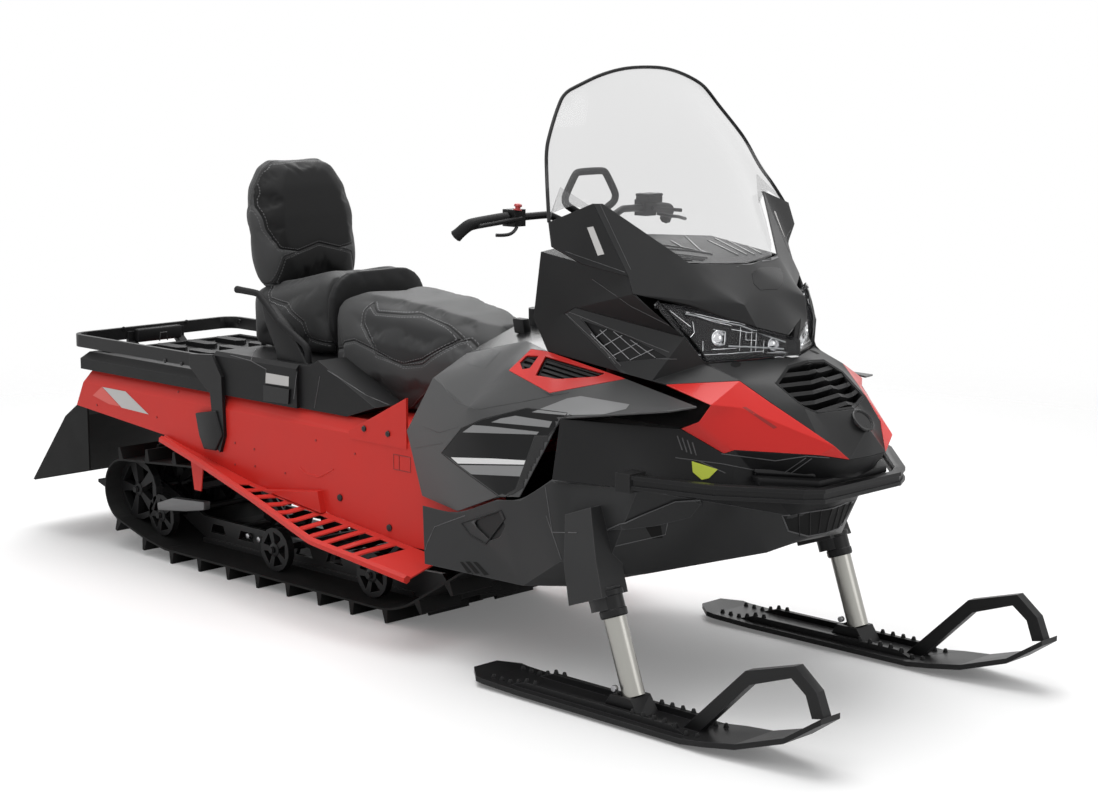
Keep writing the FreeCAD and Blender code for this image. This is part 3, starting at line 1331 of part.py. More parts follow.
# Openings in the left half's panels: the panel, three corners of the plane that carries the outline, the number
# of slats, and the outline in shares of the two sides that leave the first corner
SCREEN_SHARES = [
    ("vent_frame", ("vent_top", "vent_front", "vent_rear"), 3,
     ((0.025, 0.60), (0.020, 0.28), (0.13, 0.17), (0.165, 0.70), (0.11, 0.82))),
    ("vent_frame", ("vent_top", "vent_front", "vent_rear"), 5,
     ((0.19, 0.12), (0.80, 0.07), (0.77, 0.25), (0.49, 0.80), (0.28, 0.90))),
    ("shoulder", ("shoulder_tail", "shoulder_low", "shoulder_lamp"), 0,
     ((0.06, 0.13), (0.80, 0.07), (0.48, 0.64), (0.20, 0.46))),
    ("belly_pan", ("pan_top_a", "pan_low_mid", "pan_top_b"), 0,
     ((0.14, 0.15), (0.13, 0.86), (0.31, 0.72), (0.41, 0.42), (0.41, 0.18))),
]


class Screen:
    """An opening in a panel and the sunk plate that fills it, with slats where it has any."""

    def __init__(self, corners, names, slats, shares):
        self.start, first, second = (corners[name] for name in names)
        self.along, self.across = first - self.start, second - self.start
        self.outward = self.along.cross(self.across)
        self.outward.normalize()
        if self.outward.y < 0:
            self.outward = self.outward * -1
        self.slats, self.shares = slats, shares

    def point(self, along, across):
        """A place in the opening's plane."""
        return self.start + self.along * along + self.across * across

    def face(self, inset):
        """The opening's outline drawn inward."""
        points = [self.point(*share) for share in self.shares]
        outline = Part.Face(Part.makePolygon(points + points[:1]))
        return outline.makeOffset2D(-inset, join=2) if inset else outline

    def cutter(self):
        """What the opening takes out of its panel."""
        reach = size.panel_wall * 4
        face = self.face(0)
        face.translate(self.outward * -reach)
        return face.extrude(self.outward * (reach * 2))

    def plate(self):
        """The sunk plate, grooved along its first side between the slats."""
        face = self.face(size.fit_gap)
        face.translate(self.outward * -size.screen_recess)
        solid = face.extrude(self.outward * -size.screen_depth)
        grooves = self.face(size.panel_wall)
        grooves.translate(self.outward * -size.screen_recess)
        floor = self.outward * (-size.screen_depth * 0.7)
        low = min(share[1] for share in self.shares)
        pitch = (max(share[1] for share in self.shares) - low) / max(self.slats, 1)
        for step in range(self.slats):
            near, far = low + pitch * (step + 0.25), low + pitch * (step + 0.75)
            strip = [self.point(-1, near), self.point(2, near), self.point(2, far), self.point(-1, far)]
            strip = Part.Face(Part.makePolygon(strip + strip[:1]))
            strip.translate(self.outward * -size.screen_recess)
            groove = strip.common(grooves)
            if groove.Faces:
                solid = solid.cut(groove.extrude(floor))
        return solid


def grille_shape(skin):
    """The grille in the hood's hole: a deep block grooved between slats that bend forward in the middle."""
    top, low = skin.corners["grille_top"], skin.corners["grille_low"]
    down = low - top
    length = down.Length
    down.normalize()
    inward = Vector(0, 1, 0).cross(down)
    half = [skin.corners[name] for name in ("grille_brow", "grille_side", "grille_jaw", "grille_chin")]
    loop = [top] + half + [low] + [flip(point) for point in reversed(half)]
    loop = [point - inward * (point - top).dot(inward) for point in loop]
    hole = Part.Face(Part.makePolygon(loop + loop[:1]))
    wall, deep = size.panel_wall, size.grille_depth

    def prism(inset, start, end):
        """The hole's outline, drawn inward, as a solid between two depths."""
        face = hole.makeOffset2D(-inset, join=2)
        face.translate(inward * start)
        return face.extrude(inward * (end - start))

    rim = whole_panel(skin, "grille").cut(prism(wall * 1.4, -deep, deep))
    block = prism(wall * 0.7, -wall, deep)
    for trio in skin.panels["grille"]:
        corners = [skin.corners[name] + inward * (wall * 0.5) for name in trio]
        cover = Part.Face(Part.makePolygon(corners + corners[:1])).extrude(inward * -deep)
        block = block.cut([cover, mirrored(cover)])
    well = prism(wall * 1.6, -deep, deep - wall)
    pitch = length / size.grille_slats
    wide = max(point.y for point in half)
    for step in range(int(size.grille_slats)):
        start = top + down * (pitch * (step - 0.5)) - inward * deep
        side, bend, slot = Vector(0, wide, 0), down * (pitch * 0.9), down * (pitch * 0.62)
        chevron = [start - side, start + bend, start + side, start + side + slot, start + bend + slot,
                   start - side + slot]
        groove = Part.Face(Part.makePolygon(chevron + chevron[:1])).extrude(inward * (deep * 2))
        block = block.cut(groove.common(well))
    return largest_solid(block.fuse(rim).cut(whole_panel(skin, "hood")))


def build_cowl():
    skin = Skin(cowl_corners(), COWL_PANELS, size.panel_wall)
    screens = [(entry[0], Screen(skin.corners, *entry[1:])) for entry in SCREEN_SHARES]
    feature("screens", Part.makeCompound([both_sides(screen.plate()) for _, screen in screens]))
    feature("grille", grille_shape(skin))
    for label in ("hood", "fairing", "front_shell"):
        feature(label, whole_panel(skin, label))
    foot = Vector(size.seat_front + size.cap_radius * 2, 0, size.cap_base - size.overrun)
    cap_hole = facet_bar(foot, foot + Vector(0, 0, size.cap_height * 2),
                         (size.cap_radius + size.fit_gap) / math.cos(math.pi / 12), 12)
    left = skin.panel("side_panel")
    feature("tank_cover", whole_panel(skin, "tank_cover").cut([cap_hole, left, mirrored(left)]))
    feature("side_panel_left", left)
    feature("side_panel_right", mirrored(left))
    pairs = {"hood_panels": "hood_panel", "shoulders": "shoulder", "headlamps": "headlamp",
             "wind_deflectors": "deflector", "vent_frames": "vent_frame", "console_sides": "console_side"}
    for label, panel in pairs.items():
        shape = skin.panel(panel)
        if label == "wind_deflectors":
            shape = shape.cut(skin.panel("console_side"))
        for name, screen in screens:
            if name == panel:
                shape = shape.cut(screen.cutter())
        feature(label, both_sides(shape))
    axis, pivot = steering_axis(), Vector(size.bar_x, 0, size.bar_height)
    bore = Part.makeCylinder(size.column_radius + size.fit_gap, column_length(), pivot, axis * -1)
    sill, line = skin.corners["dash_sill"], skin.corners["dash_mid"] - skin.corners["dash_sill"]
    depth = (sill - pivot).cross(line).y / (axis * -1).cross(line).y
    half = axis * (size.column_radius * 3)
    bush = facet_bar(pivot - axis * depth + half, pivot - axis * depth - half, size.column_radius * 1.8, 12)
    feature("dash", whole_panel(skin, "dash").fuse(bush).cut(bore))
    openings = [screen.cutter() for name, screen in screens if name == "belly_pan"]
    openings = [both_sides(strut_shroud(size.fit_gap * 2))] + [both_sides(opening) for opening in openings]
    feature("belly_pan", whole_panel(skin, "belly_pan").cut(openings))


def build_windshield():
    """Clear shield bowed forward: one smooth sheet through its rows of points, with its thickness behind."""
    grid = []
    for row in GLASS_ROW_SHARES:
        half = [cowl_point(shares) for shares in row]
        grid.append(half + [flip(point) for point in reversed(half[:-1])])
    sheet = Part.BSplineSurface()
    sheet.interpolate(grid)
    u_first, u_last, v_first, v_last = sheet.bounds()
    up, across = int(size.glass_rows), int(size.glass_columns)
    forward = sheet.normal((u_first + u_last) / 2, (v_first + v_last) / 2).x > 0
    back_side = -size.glass_wall if forward else size.glass_wall
    front, back = [], []
    for row in range(up + 1):
        for column in range(across + 1):
            at = (u_first + (u_last - u_first) * row / up, v_first + (v_last - v_first) * column / across)
            front.append(sheet.value(*at))
            back.append(front[-1] + sheet.normal(*at) * back_side)
    skin = Skin(cowl_corners(), COWL_PANELS, size.panel_wall)
    carriers = [whole_panel(skin, "fairing"), whole_panel(skin, "dash")]
    seated = sheet_solid(front, back, across + 1).cut(carriers)
    feature("windshield", largest_solid(seated))


def sheet_solid(front, back, wide):
    """A closed solid between two grids of points with rows of the given width."""
    triangles = []
    rows = len(front) // wide
    for row in range(rows - 1):
        for column in range(wide - 1):
            a = row * wide + column
            b, c, d = a + 1, a + wide + 1, a + wide
            triangles += [(front[a], front[b], front[c]), (front[a], front[c], front[d])]
            triangles += [(back[a], back[c], back[b]), (back[a], back[d], back[c])]
    last = (rows - 1) * wide
    rim = list(range(wide)) + [row * wide + wide - 1 for row in range(1, rows)]
    rim += [last + column for column in range(wide - 2, -1, -1)] + [row * wide for row in range(rows - 2, 0, -1)]
    for here, after in zip(rim, rim[1:] + rim[:1]):
        triangles += [(front[here], back[here], front[after]), (front[after], back[here], back[after])]
    return poly_solid(triangles)


# Bars in bands: rectangular section along a polyline
def band(points, height, thickness):
    """A flat bar of rectangular section standing on edge along a polyline seen in plan."""
    wires = []
    for index, here in enumerate(points):
        before = points[max(index - 1, 0)]
        after = points[min(index + 1, len(points) - 1)]
        into, out = here - before, after - here
        for line in (into, out):
            line.z = 0
            if line.Length > 0:
                line.normalize()
        mean = into + out
        mean.normalize()
        side = Vector(-mean.y, mean.x, 0)
        stretch = 1 / max(side.dot(Vector(-(out.y or into.y), out.x or into.x, 0)), 0.5)
        offset = side * (thickness / 2 * stretch)
        up = Vector(0, 0, height / 2)
        ring = [here - offset - up, here + offset - up, here + offset + up, here - offset + up]
        wires.append(Part.makePolygon(ring + ring[:1]))
    return loft(wires, True)


def build_bumper():
    """Front bumper bar carried round the nose, with a bracket at each end."""
    shares = ((0.606, 0.902, 0.386), (0.790, 0.690, 0.372), (0.940, 0.390, 0.361), (0.962, 0.300, 0.358))
    left = [cowl_point(s) for s in shares]
    points = left + [flip(point) for point in reversed(left)]
    tall, thick = size.bumper_bar_height, size.bumper_bar_thickness
    bands = [band(points, tall * 0.6, thick * 0.6)]
    for side in (-1, 1):
        lift = Vector(0, 0, side * tall * 0.36)
        bands.append(band([point + lift for point in points], tall * 0.28, thick))
    skin = Skin(cowl_corners(), COWL_PANELS, size.panel_wall)
    end, front = left[0], left[-1]
    deep, tall, half = size.bumper_bar_height * 3, size.bumper_bar_height * 0.3, size.bumper_bar_thickness
    brackets = []
    for side in (-1, 1):
        y = side * size.bumper_bracket_y
        outline = [(front.x - deep, front.z - tall), (front.x, front.z - tall),
                   (front.x, front.z + tall), (front.x - deep, front.z + tall)]
        brackets.append(side_prism(outline, y - half, y + half))
    block = plan_prism([(end.x - thick * 0.8, end.y + thick * 0.6), (end.x + thick * 0.8, end.y + thick * 0.4),
                        (end.x + thick * 0.8, end.y - thick * 1.8), (end.x - thick * 0.8, end.y - thick * 1.8)],
                       end.z - thick, end.z + thick * 0.8)
    carriers = [whole_panel(skin, "front_shell"), whole_panel(skin, "belly_pan")]
    whole = bands[0].multiFuse(bands[1:] + brackets + [block, mirrored(block)])
    feature("front_bumper", largest_solid(whole.cut(carriers)))


def build_engine():
    """Engine as one plain block on the floor plate ahead of the tunnel."""
    block = bound("Part::Box", "engine", Length="Sizes.engine_length", Width="Sizes.engine_width",
                  Height="Sizes.engine_height", Placement__Base__x="Sizes.engine_x",
                  Placement__Base__y="-Sizes.engine_width / 2", Placement__Base__z="Sizes.engine_base")
    keep(block, "engine")


def build_fuel_cap():
    """Filler cap as a knob with flats, set in the tank cover."""
    cap = bound("Part::Prism", "fuel_cap", Circumradius="Sizes.cap_radius", Height="Sizes.cap_height",
                Placement__Base__x="Sizes.seat_front + Sizes.cap_radius * 2",
                Placement__Base__z="Sizes.cap_base")
    cap.Polygon = 12
    keep(cap, "fuel_cap")


# Steering: bars, grips and controls that turn on the raked column
def steering_axis():
    rake = math.radians(size.column_rake)
    return Vector(-math.sin(rake), 0, math.cos(rake))


def column_length():
    """Length of the steering column, which ends over the engine."""
    drop = size.bar_height - size.engine_base - size.engine_height - size.column_clearance
    return drop / math.cos(math.radians(size.column_rake))


def bar_points():
    """Left half of the bar's line from its middle to where the grip starts, then the grip's line."""
    middle = Vector(size.bar_x, 0, size.bar_height)
    clamp = Vector(size.bar_x, size.bar_clamp_half, size.bar_height)
    rise = Vector(size.bar_x - size.bar_sweep * 0.1, size.bar_clamp_half * 2.6, size.bar_height + size.bar_rise)
    grip = Vector(size.bar_x - size.bar_sweep * 0.5, size.bar_half - size.grip_length,
                  size.bar_height + size.bar_rise * 0.9)
    bend = Vector(size.bar_x - size.bar_sweep, size.bar_half - size.grip_radius,
                  size.bar_height + size.bar_rise * 0.6)
    tip = Vector(bend.x - size.grip_hook * 0.7, size.bar_half, bend.z - size.grip_hook * 0.7)
    return middle, clamp, rise, grip, bend, tip


def build_handlebar():
    middle, clamp, rise, grip, bend, tip = bar_points()
    left = [clamp, rise, grip]
    path = [flip(point) for point in reversed(left)] + left
    bar = facet_tube(path, size.bar_radius, size.bar_radius * 4)
    axis = steering_axis()
    block = Part.makeBox(size.bar_radius * 4, size.bar_clamp_half * 1.6, size.bar_radius * 4,
                         middle - Vector(size.bar_radius * 2, size.bar_clamp_half * 0.8, size.bar_radius * 2))
    column = Part.makeCylinder(size.column_radius, column_length(), middle - axis * column_length(), axis)
    feature("handlebar", bar.multiFuse([block, column]))
    ahead = grip - rise
    ahead.normalize()
    start = grip + ahead * size.fit_gap
    line = [start, start + ahead * size.grip_radius, bend, tip]
    hook = facet_tube(line, size.grip_radius, size.grip_radius * 1.6)
    feature("grips", both_sides(hook))


def build_grab_loop():
    base = size.bar_height + size.bar_radius * 2 + size.fit_gap + size.loop_tube * math.cos(math.pi / 8)
    top = base + size.loop_height
    x = size.bar_x + size.bar_radius
    half = [Vector(x, size.bar_clamp_half * 0.7, base), Vector(x, size.loop_half, base + size.loop_height * 0.3),
            Vector(x, size.bar_clamp_half, top)]
    points = half + [flip(point) for point in reversed(half)]
    feature("grab_loop", facet_tube(points, size.loop_tube, size.loop_tube * 2, True))


def build_controls():
    """Switch block and throttle lever at the right, reservoir and brake lever at the left."""
    middle, clamp, rise, grip, bend, tip = bar_points()
    solids = []
    for side in (-1, 1):
        inward = rise - grip
        inward.normalize()
        place = grip + inward * (size.grip_radius * 1.4)
        at = place if side > 0 else flip(place)
        wide, deep, tall = size.grip_radius * 2.4, size.grip_radius * 2.6, size.grip_radius * 2.6
        box = Part.makeBox(deep, wide, tall, at - Vector(deep / 2, wide / 2, tall / 2))
        lines = [point if side > 0 else flip(point) for point in (clamp, rise, grip)]
        core = facet_tube(lines, size.bar_radius + size.fit_gap * 3, size.bar_radius * 4)
        box = box.cut(core)
        start = at + Vector(size.grip_radius * 1.6, 0, 0)
        end = Vector(start.x - size.bar_sweep * 0.3, side * (size.bar_half - size.grip_radius),
                     start.z - size.bar_rise * 0.4)
        lever = facet_bar(start, end, size.bar_radius * 0.5)
        solids.append(box.fuse(lever))
    feature("controls", Part.makeCompound(solids))


# Skis and their struts
STRUT_SIDES = 18


def strut_axis():
    rake = math.radians(size.strut_rake)
    return Vector(-math.sin(rake), 0, math.cos(rake))


def strut_bore_radius():
    """Radius over the corners of a bore in which the strut turns freely."""
    return (size.strut_radius + size.fit_gap) / math.cos(math.pi / STRUT_SIDES)


def strut_foot():
    return Vector(size.strut_foot_x, size.ski_stance / 2, size.strut_foot_height)


def strut_shroud(extra):
    """Left shroud round the strut's upper end, swollen by a clearance for the cut in the belly pan."""
    foot, axis = strut_foot(), strut_axis()
    ahead = Vector(axis.z, 0, -axis.x)
    radius = size.collar_radius
    rings = []
    for along, back, front, inner, outer in ((0.0, 2.0, 0.84, 1.1, 1.1), (0.45, 1.9, 0.80, 1.25, 0.80),
                                             (1.0, 1.5, 0.70, 1.6, 0.10)):
        start = size.strut_chrome_length + size.shroud_drop
        middle = foot + axis * (start + size.shroud_length * along)
        near, far = -radius * back - extra, radius * front + extra
        low, high = -radius * inner - extra, radius * outer + extra
        corners = [(near, low), (far, low), (far, high), (near, high)]
        ring = [middle + ahead * u + Vector(0, v, 0) for u, v in corners]
        rings.append(ring)
    return ring_solid(rings)


def build_struts():
    """Left and right steering struts, running up into their housings."""
    foot, axis = strut_foot(), strut_axis()
    end = foot + axis * (size.strut_chrome_length + size.collar_length)
    tube = facet_bar(foot, end, size.strut_radius, STRUT_SIDES)
    feature("strut_left", tube)
    feature("strut_right", mirrored(tube))
    top = foot + axis * size.strut_chrome_length
    collar = facet_bar(top, top + axis * size.collar_length, size.collar_radius, STRUT_SIDES)
    bore = facet_bar(top - axis * size.overrun, top + axis * (size.collar_length + size.fit_gap),
                     strut_bore_radius(), STRUT_SIDES)
    feature("strut_housings", both_sides(collar.fuse(strut_shroud(0)).cut(bore)))


def ski_side():
    """The ski's sole in (x, z), rear to tip."""
    x = size.strut_foot_x
    rear, front = size.ski_rear_reach, size.ski_front_reach
    keel, tip = size.ski_keel, size.ski_loop_height * 0.50
    return [(x - rear, keel + tip * 0.10), (x - rear * 0.85, keel + tip * 0.03), (x - rear * 0.6, keel),
            (x + front * 0.38, keel), (x + front * 0.64, keel + tip * 0.17), (x + front * 0.85, keel + tip * 0.50),
            (x + front, keel + tip)]


def ski_shape():
    """Left ski: plate with raised edges, saddle, front loop and a steel runner below."""
    sole = ski_side()
    plate = size.ski_plate
    top = [(x, z + plate) for x, z in sole]
    x, y = size.strut_foot_x, size.ski_stance / 2
    rear, front, half = size.ski_rear_reach, size.ski_front_reach, size.ski_half
    body = side_prism(sole + top[::-1], y - half, y + half)
    plan = [(x - rear - size.overrun, half * 0.45), (x - rear * 0.9, half), (x + front * 0.5, half),
            (x + front * 0.85, half * 0.66), (x + front + size.overrun, half * 0.42)]
    outline = [(px, y + py) for px, py in plan] + [(px, y - py) for px, py in reversed(plan)]
    body = body.common(plan_prism(outline, -size.overrun, size.ski_loop_height * 2))
    ribs = []
    for side in (-1, 1):
        low = y + side * half * 0.62
        rib = [(x - rear * 0.75, sole[2][1] + plate / 2), (x - rear * 0.6, sole[2][1] + plate * 2.2),
               (x + front * 0.30, sole[2][1] + plate * 2.2), (x + front * 0.42, sole[2][1] + plate / 2)]
        ribs.append(side_prism(rib, low - plate / 2, low + plate / 2))
    saddle = [(x - half * 0.8, sole[2][1] + plate / 2), (x - half * 0.4, size.strut_foot_height + plate),
              (x + half * 0.4, size.strut_foot_height + plate), (x + half * 0.8, sole[2][1] + plate / 2)]
    block = side_prism(saddle, y - size.strut_radius * 1.3, y + size.strut_radius * 1.3)
    foot, axis = strut_foot(), strut_axis()
    block = block.cut(facet_bar(foot, foot + axis * size.strut_chrome_length, strut_bore_radius(), STRUT_SIDES))
    loop_line = [(x + front * 0.30, sole[3][1] + plate), (x + front * 0.61, size.ski_loop_height * 0.83),
                 (x + front * 0.85, size.ski_loop_height), (x + front * 0.95, size.ski_loop_height * 0.80),
                 (x + front - plate / 2, sole[-1][1] + plate / 2)]
    deep = plate * 2.2
    inner_line = [(x + front * 0.37, sole[3][1] + plate / 2), (x + front * 0.633, size.ski_loop_height * 0.83 - deep),
                  (x + front * 0.83, size.ski_loop_height - deep),
                  (x + front * 0.90, size.ski_loop_height * 0.80 - deep * 0.45),
                  (x + front - plate * 3, sole[-1][1])]
    loop = side_prism(loop_line + inner_line[::-1], y - plate, y + plate)
    start, end = x - rear * 0.6, x + front * 0.38
    runner = facet_bar(Vector(start, y, size.runner_radius), Vector(end, y, size.runner_radius), size.runner_radius)
    return body.multiFuse(ribs + [block, loop, runner])


def build_skis():
    left = ski_shape()
    feature("ski_left", left)
    feature("ski_right", mirrored(left))


def build_reflectors():
    """Reflector plates on the front shell under the red panels, one at each side."""
    skin = Skin(cowl_corners(), COWL_PANELS, size.panel_wall)
    start, ahead, below = (skin.corners[name] for name in ("red_low", "red_keel_rear", "bay_mid"))
    outward = (ahead - start).cross(below - start)
    outward.normalize()
    if outward.y < 0:
        outward = outward * -1
    shares = ((0.56, 0.30), (1.08, 0.22), (1.04, 0.38), (0.94, 0.45), (0.70, 0.42))
    points = [start + (ahead - start) * along + (below - start) * down for along, down in shares]
    plate = Part.Face(Part.makePolygon(points + points[:1]))
    plate.translate(outward * -size.glass_wall)
    plate = plate.extrude(outward * (size.glass_wall * 2)).cut(skin.panel("front_shell"))
    feature("reflectors", both_sides(max(plate.Solids, key=lambda solid: solid.CenterOfMass.dot(outward))))


BUILD_STEPS = [build_track, build_wheels, build_rails, build_drive_axle, build_suspension, build_tunnel, build_boards,
              build_deck, build_rack, build_tail_lamp, build_hitch, build_flap, build_seats, build_backrest,
              build_seat_base, build_grab_handles, build_cowl, build_windshield, build_bumper,
              build_engine, build_fuel_cap, build_handlebar, build_grab_loop, build_controls, build_struts,
              build_skis, build_reflectors]
for step in BUILD_STEPS:
    step()

doc.recompute()
for item in doc.Objects:
    if "Invalid" in item.State or "Error" in item.State:
        raise RuntimeError(f"{item.Label} failed")
for item in SUB_PARTS:
    shape = item.Shape
    if shape.isNull() or not shape.isValid():
        raise RuntimeError(f"{item.Label} has no valid shape")
    shape.exportStep(os.path.join("parts", item.Label + ".step"))
    box = shape.BoundBox
    print(f"{item.Label:22s} solids {len(shape.Solids):3d} volume {shape.Volume / 1e6:9.3f} litres"
          f" x {box.XMin:7.1f} {box.XMax:7.1f} y {box.YMin:6.1f} {box.YMax:6.1f} z {box.ZMin:6.1f} {box.ZMax:6.1f}")
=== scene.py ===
"""Two-seat utility snowmobile: the looks, stage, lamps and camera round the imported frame."""

import json
import logging
import math
from dataclasses import dataclass, field
from enum import Enum
from typing import Iterable, Optional, Sequence

import bmesh
import bpy
import numpy as np
from mathutils import Matrix, Vector
from mathutils.bvhtree import BVHTree

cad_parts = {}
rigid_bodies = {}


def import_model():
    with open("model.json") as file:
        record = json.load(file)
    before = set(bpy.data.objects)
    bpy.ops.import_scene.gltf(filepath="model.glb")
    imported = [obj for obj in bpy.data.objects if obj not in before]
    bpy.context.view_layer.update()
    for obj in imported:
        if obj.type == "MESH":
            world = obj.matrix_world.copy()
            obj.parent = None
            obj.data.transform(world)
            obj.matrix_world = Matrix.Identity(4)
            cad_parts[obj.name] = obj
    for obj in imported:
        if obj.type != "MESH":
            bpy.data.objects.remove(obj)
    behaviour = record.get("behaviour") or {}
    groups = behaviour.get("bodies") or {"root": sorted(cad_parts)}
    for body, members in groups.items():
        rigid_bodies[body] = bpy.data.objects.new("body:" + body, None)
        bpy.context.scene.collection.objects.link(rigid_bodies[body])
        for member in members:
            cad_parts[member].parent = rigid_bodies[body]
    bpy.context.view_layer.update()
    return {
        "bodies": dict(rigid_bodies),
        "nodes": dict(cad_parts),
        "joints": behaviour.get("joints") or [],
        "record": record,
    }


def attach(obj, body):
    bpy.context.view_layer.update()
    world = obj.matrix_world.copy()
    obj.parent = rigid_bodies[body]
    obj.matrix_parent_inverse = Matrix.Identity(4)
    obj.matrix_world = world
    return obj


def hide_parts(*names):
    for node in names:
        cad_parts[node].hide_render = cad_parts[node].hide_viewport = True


LOG = logging.getLogger("snowmobile")
Spot = tuple[float, float]
Point = tuple[float, float, float]
Colour = tuple[float, float, float]
Line = Sequence[Spot]
MM = 0.001
UP = Vector((0, 0, 1))
AHEAD = Vector((1, 0, 0))
LEFTWARD = Vector((0, 1, 0))
SAME_PLACE = 1e-6  # metres under which two points of a drawn mesh are one
CAD_WELD = 1e-5  # metres under which two corners of CAD triangles are one
NEARLY_NONE = 1e-9  # keeps a division from going by nothing
COARSE_TURN, FINE_TURN, SMOOTH_TURN = 24, 40, 48  # steps of a turned form


class Side(Enum):
    """The rider's left and right."""

    LEFT = 1
    RIGHT = -1


class Body(Enum):
    """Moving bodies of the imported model."""

    CHASSIS = "chassis"
    BARS = "steering_bars"
    LEFT_SKI = "left_ski"
    RIGHT_SKI = "right_ski"


# Views: a corner is given by two numbers, and a view's ray drops it on the machine
@dataclass(frozen=True)
class Sight:
    """The photograph's viewpoint, and the ray from it through a spot of the picture, in pixels.

    A line is divided at each step, and a sheet is cut at each step along both directions in cuts.
    """

    at: Point = (4.541, -4.178, 1.616)
    aim: Point = (0.400, 0.0, 0.632)
    lens: float = 70.8
    sensor: float = 36.0
    width: float = 1098.0
    height: float = 812.0
    step: float = 4.0
    cuts: tuple[Point, Point] = ((1, 0, 0), (0, 1, 0))

    def ray(self, spot: Sequence[float]) -> tuple[Vector, Vector]:
        """The ray through a spot.

        Args:
            spot: its place in the picture.

        Returns:
            Where the ray starts, and its direction.
        """
        start = Vector(self.at)
        ahead = (Vector(self.aim) - start).normalized()
        right = ahead.cross(UP).normalized()
        scale = self.sensor / self.lens / self.width
        turn = (right * (spot[0] - self.width / 2) - right.cross(ahead) * (spot[1] - self.height / 2)) * scale
        return start, (ahead + turn).normalized()

    def lifted(self, place: Vector, normal: Vector, lift: float) -> Vector:
        """A place on a surface, raised off it."""
        return place + normal * lift

    def way_to(self, place: Vector) -> Vector:
        """The direction in which a place is seen."""
        return place - Vector(self.at)


@dataclass(frozen=True)
class Facing:
    """A square view against one axis, from a plane outside, with spots in metres along the two others.

    A line is divided at each step, and a sheet is cut at each step along both directions in cuts.
    """

    axis: int
    plane: float
    step: float = 12.0 * MM
    cuts: tuple[Point, Point] = ((-1, 0, 0), (0, -1, 0))

    def ray(self, spot: Sequence[float]) -> tuple[Vector, Vector]:
        """The ray through a spot.

        Args:
            spot: its place along the two other axes.

        Returns:
            Where the ray starts, and its direction.
        """
        start = [spot[0], spot[1]]
        start.insert(self.axis, self.plane)
        return Vector(start), self.way_to(Vector(start))

    def lifted(self, place: Vector, normal: Vector, lift: float) -> Vector:
        """A place on a surface, raised towards the view and not along the surface's normal."""
        return place - self.way_to(place) * lift

    def way_to(self, place: Vector) -> Vector:
        """The direction in which a place is seen, which is the same for all."""
        return -Matrix.Identity(len(place))[self.axis]


View = Sight | Facing
PHOTO = Sight()
CLOSE = Sight(step=3.0)
FROM_LEFT = Facing(1, 0.8)
FROM_FRONT = Facing(0, 2.0, cuts=((1, 0, 0), (0, -1, 0)))
FROM_ABOVE = Facing(2, 1.5)
OVER_SKI = Facing(2, 0.5)


# Shader node groups
class Web:
    """A node tree that is being wired."""

    def __init__(self, tree: bpy.types.NodeTree) -> None:
        """Keep the tree."""
        self.tree = tree

    def add(self, kind: str, inputs: Optional[dict] = None, **settings: object) -> bpy.types.Node:
        """A new node.

        Args:
            kind: its type, without the usual prefix.
            inputs: a number, a colour or another node's socket for each input that is set.
            settings: the node's own properties.

        Returns:
            The node.
        """
        node = self.tree.nodes.new(f"ShaderNode{kind}")
        for label, value in settings.items():
            setattr(node, label, value)
        self.feed(node, inputs or {})
        return node

    def feed(self, node: bpy.types.Node, inputs: dict) -> None:
        """Set or link a node's inputs.

        Args:
            node: the node.
            inputs: a number, a colour or another node's socket for each input that is set.
        """
        for label, value in inputs.items():
            if isinstance(value, bpy.types.NodeSocket):
                self.tree.links.new(value, node.inputs[label])
            else:
                node.inputs[label].default_value = value

    def math(self, operation: str, *values: object) -> bpy.types.NodeSocket:
        """One step of arithmetic on numbers or sockets."""
        return self.add("Math", dict(enumerate(values)), operation=operation).outputs["Value"]

    def span(self, value: bpy.types.NodeSocket, low: float, high: float, start: float = 0.0,
             end: float = 1.0) -> bpy.types.NodeSocket:
        """A value that runs from low to high while its source runs from start to end."""
        return self.add("MapRange", {"Value": value, "From Min": start, "From Max": end, "To Min": low,
                                     "To Max": high}).outputs["Result"]

    def blend(self, first: object, second: object, factor: bpy.types.NodeSocket) -> bpy.types.NodeSocket:
        """Two colours mixed by a factor."""
        mix = self.add("Mix", {"A": first, "B": second, "Factor": factor}, data_type="RGBA")
        return mix.outputs["Result"]

    def shade(self, colour: Colour, amount: float, factor: bpy.types.NodeSocket) -> bpy.types.NodeSocket:
        """A colour that varies by a share of itself as a factor does."""
        dark, pale = ([min(part * change, 1) for part in colour] for change in (1 - amount, 1 + amount))
        return self.blend((*dark, 1), (*pale, 1), factor)

    def noise(self, place: bpy.types.NodeSocket, scale: object, detail: float) -> bpy.types.NodeSocket:
        """A noise over a place."""
        return self.add("TexNoise", {"Vector": place, "Scale": scale, "Detail": detail}).outputs["Fac"]


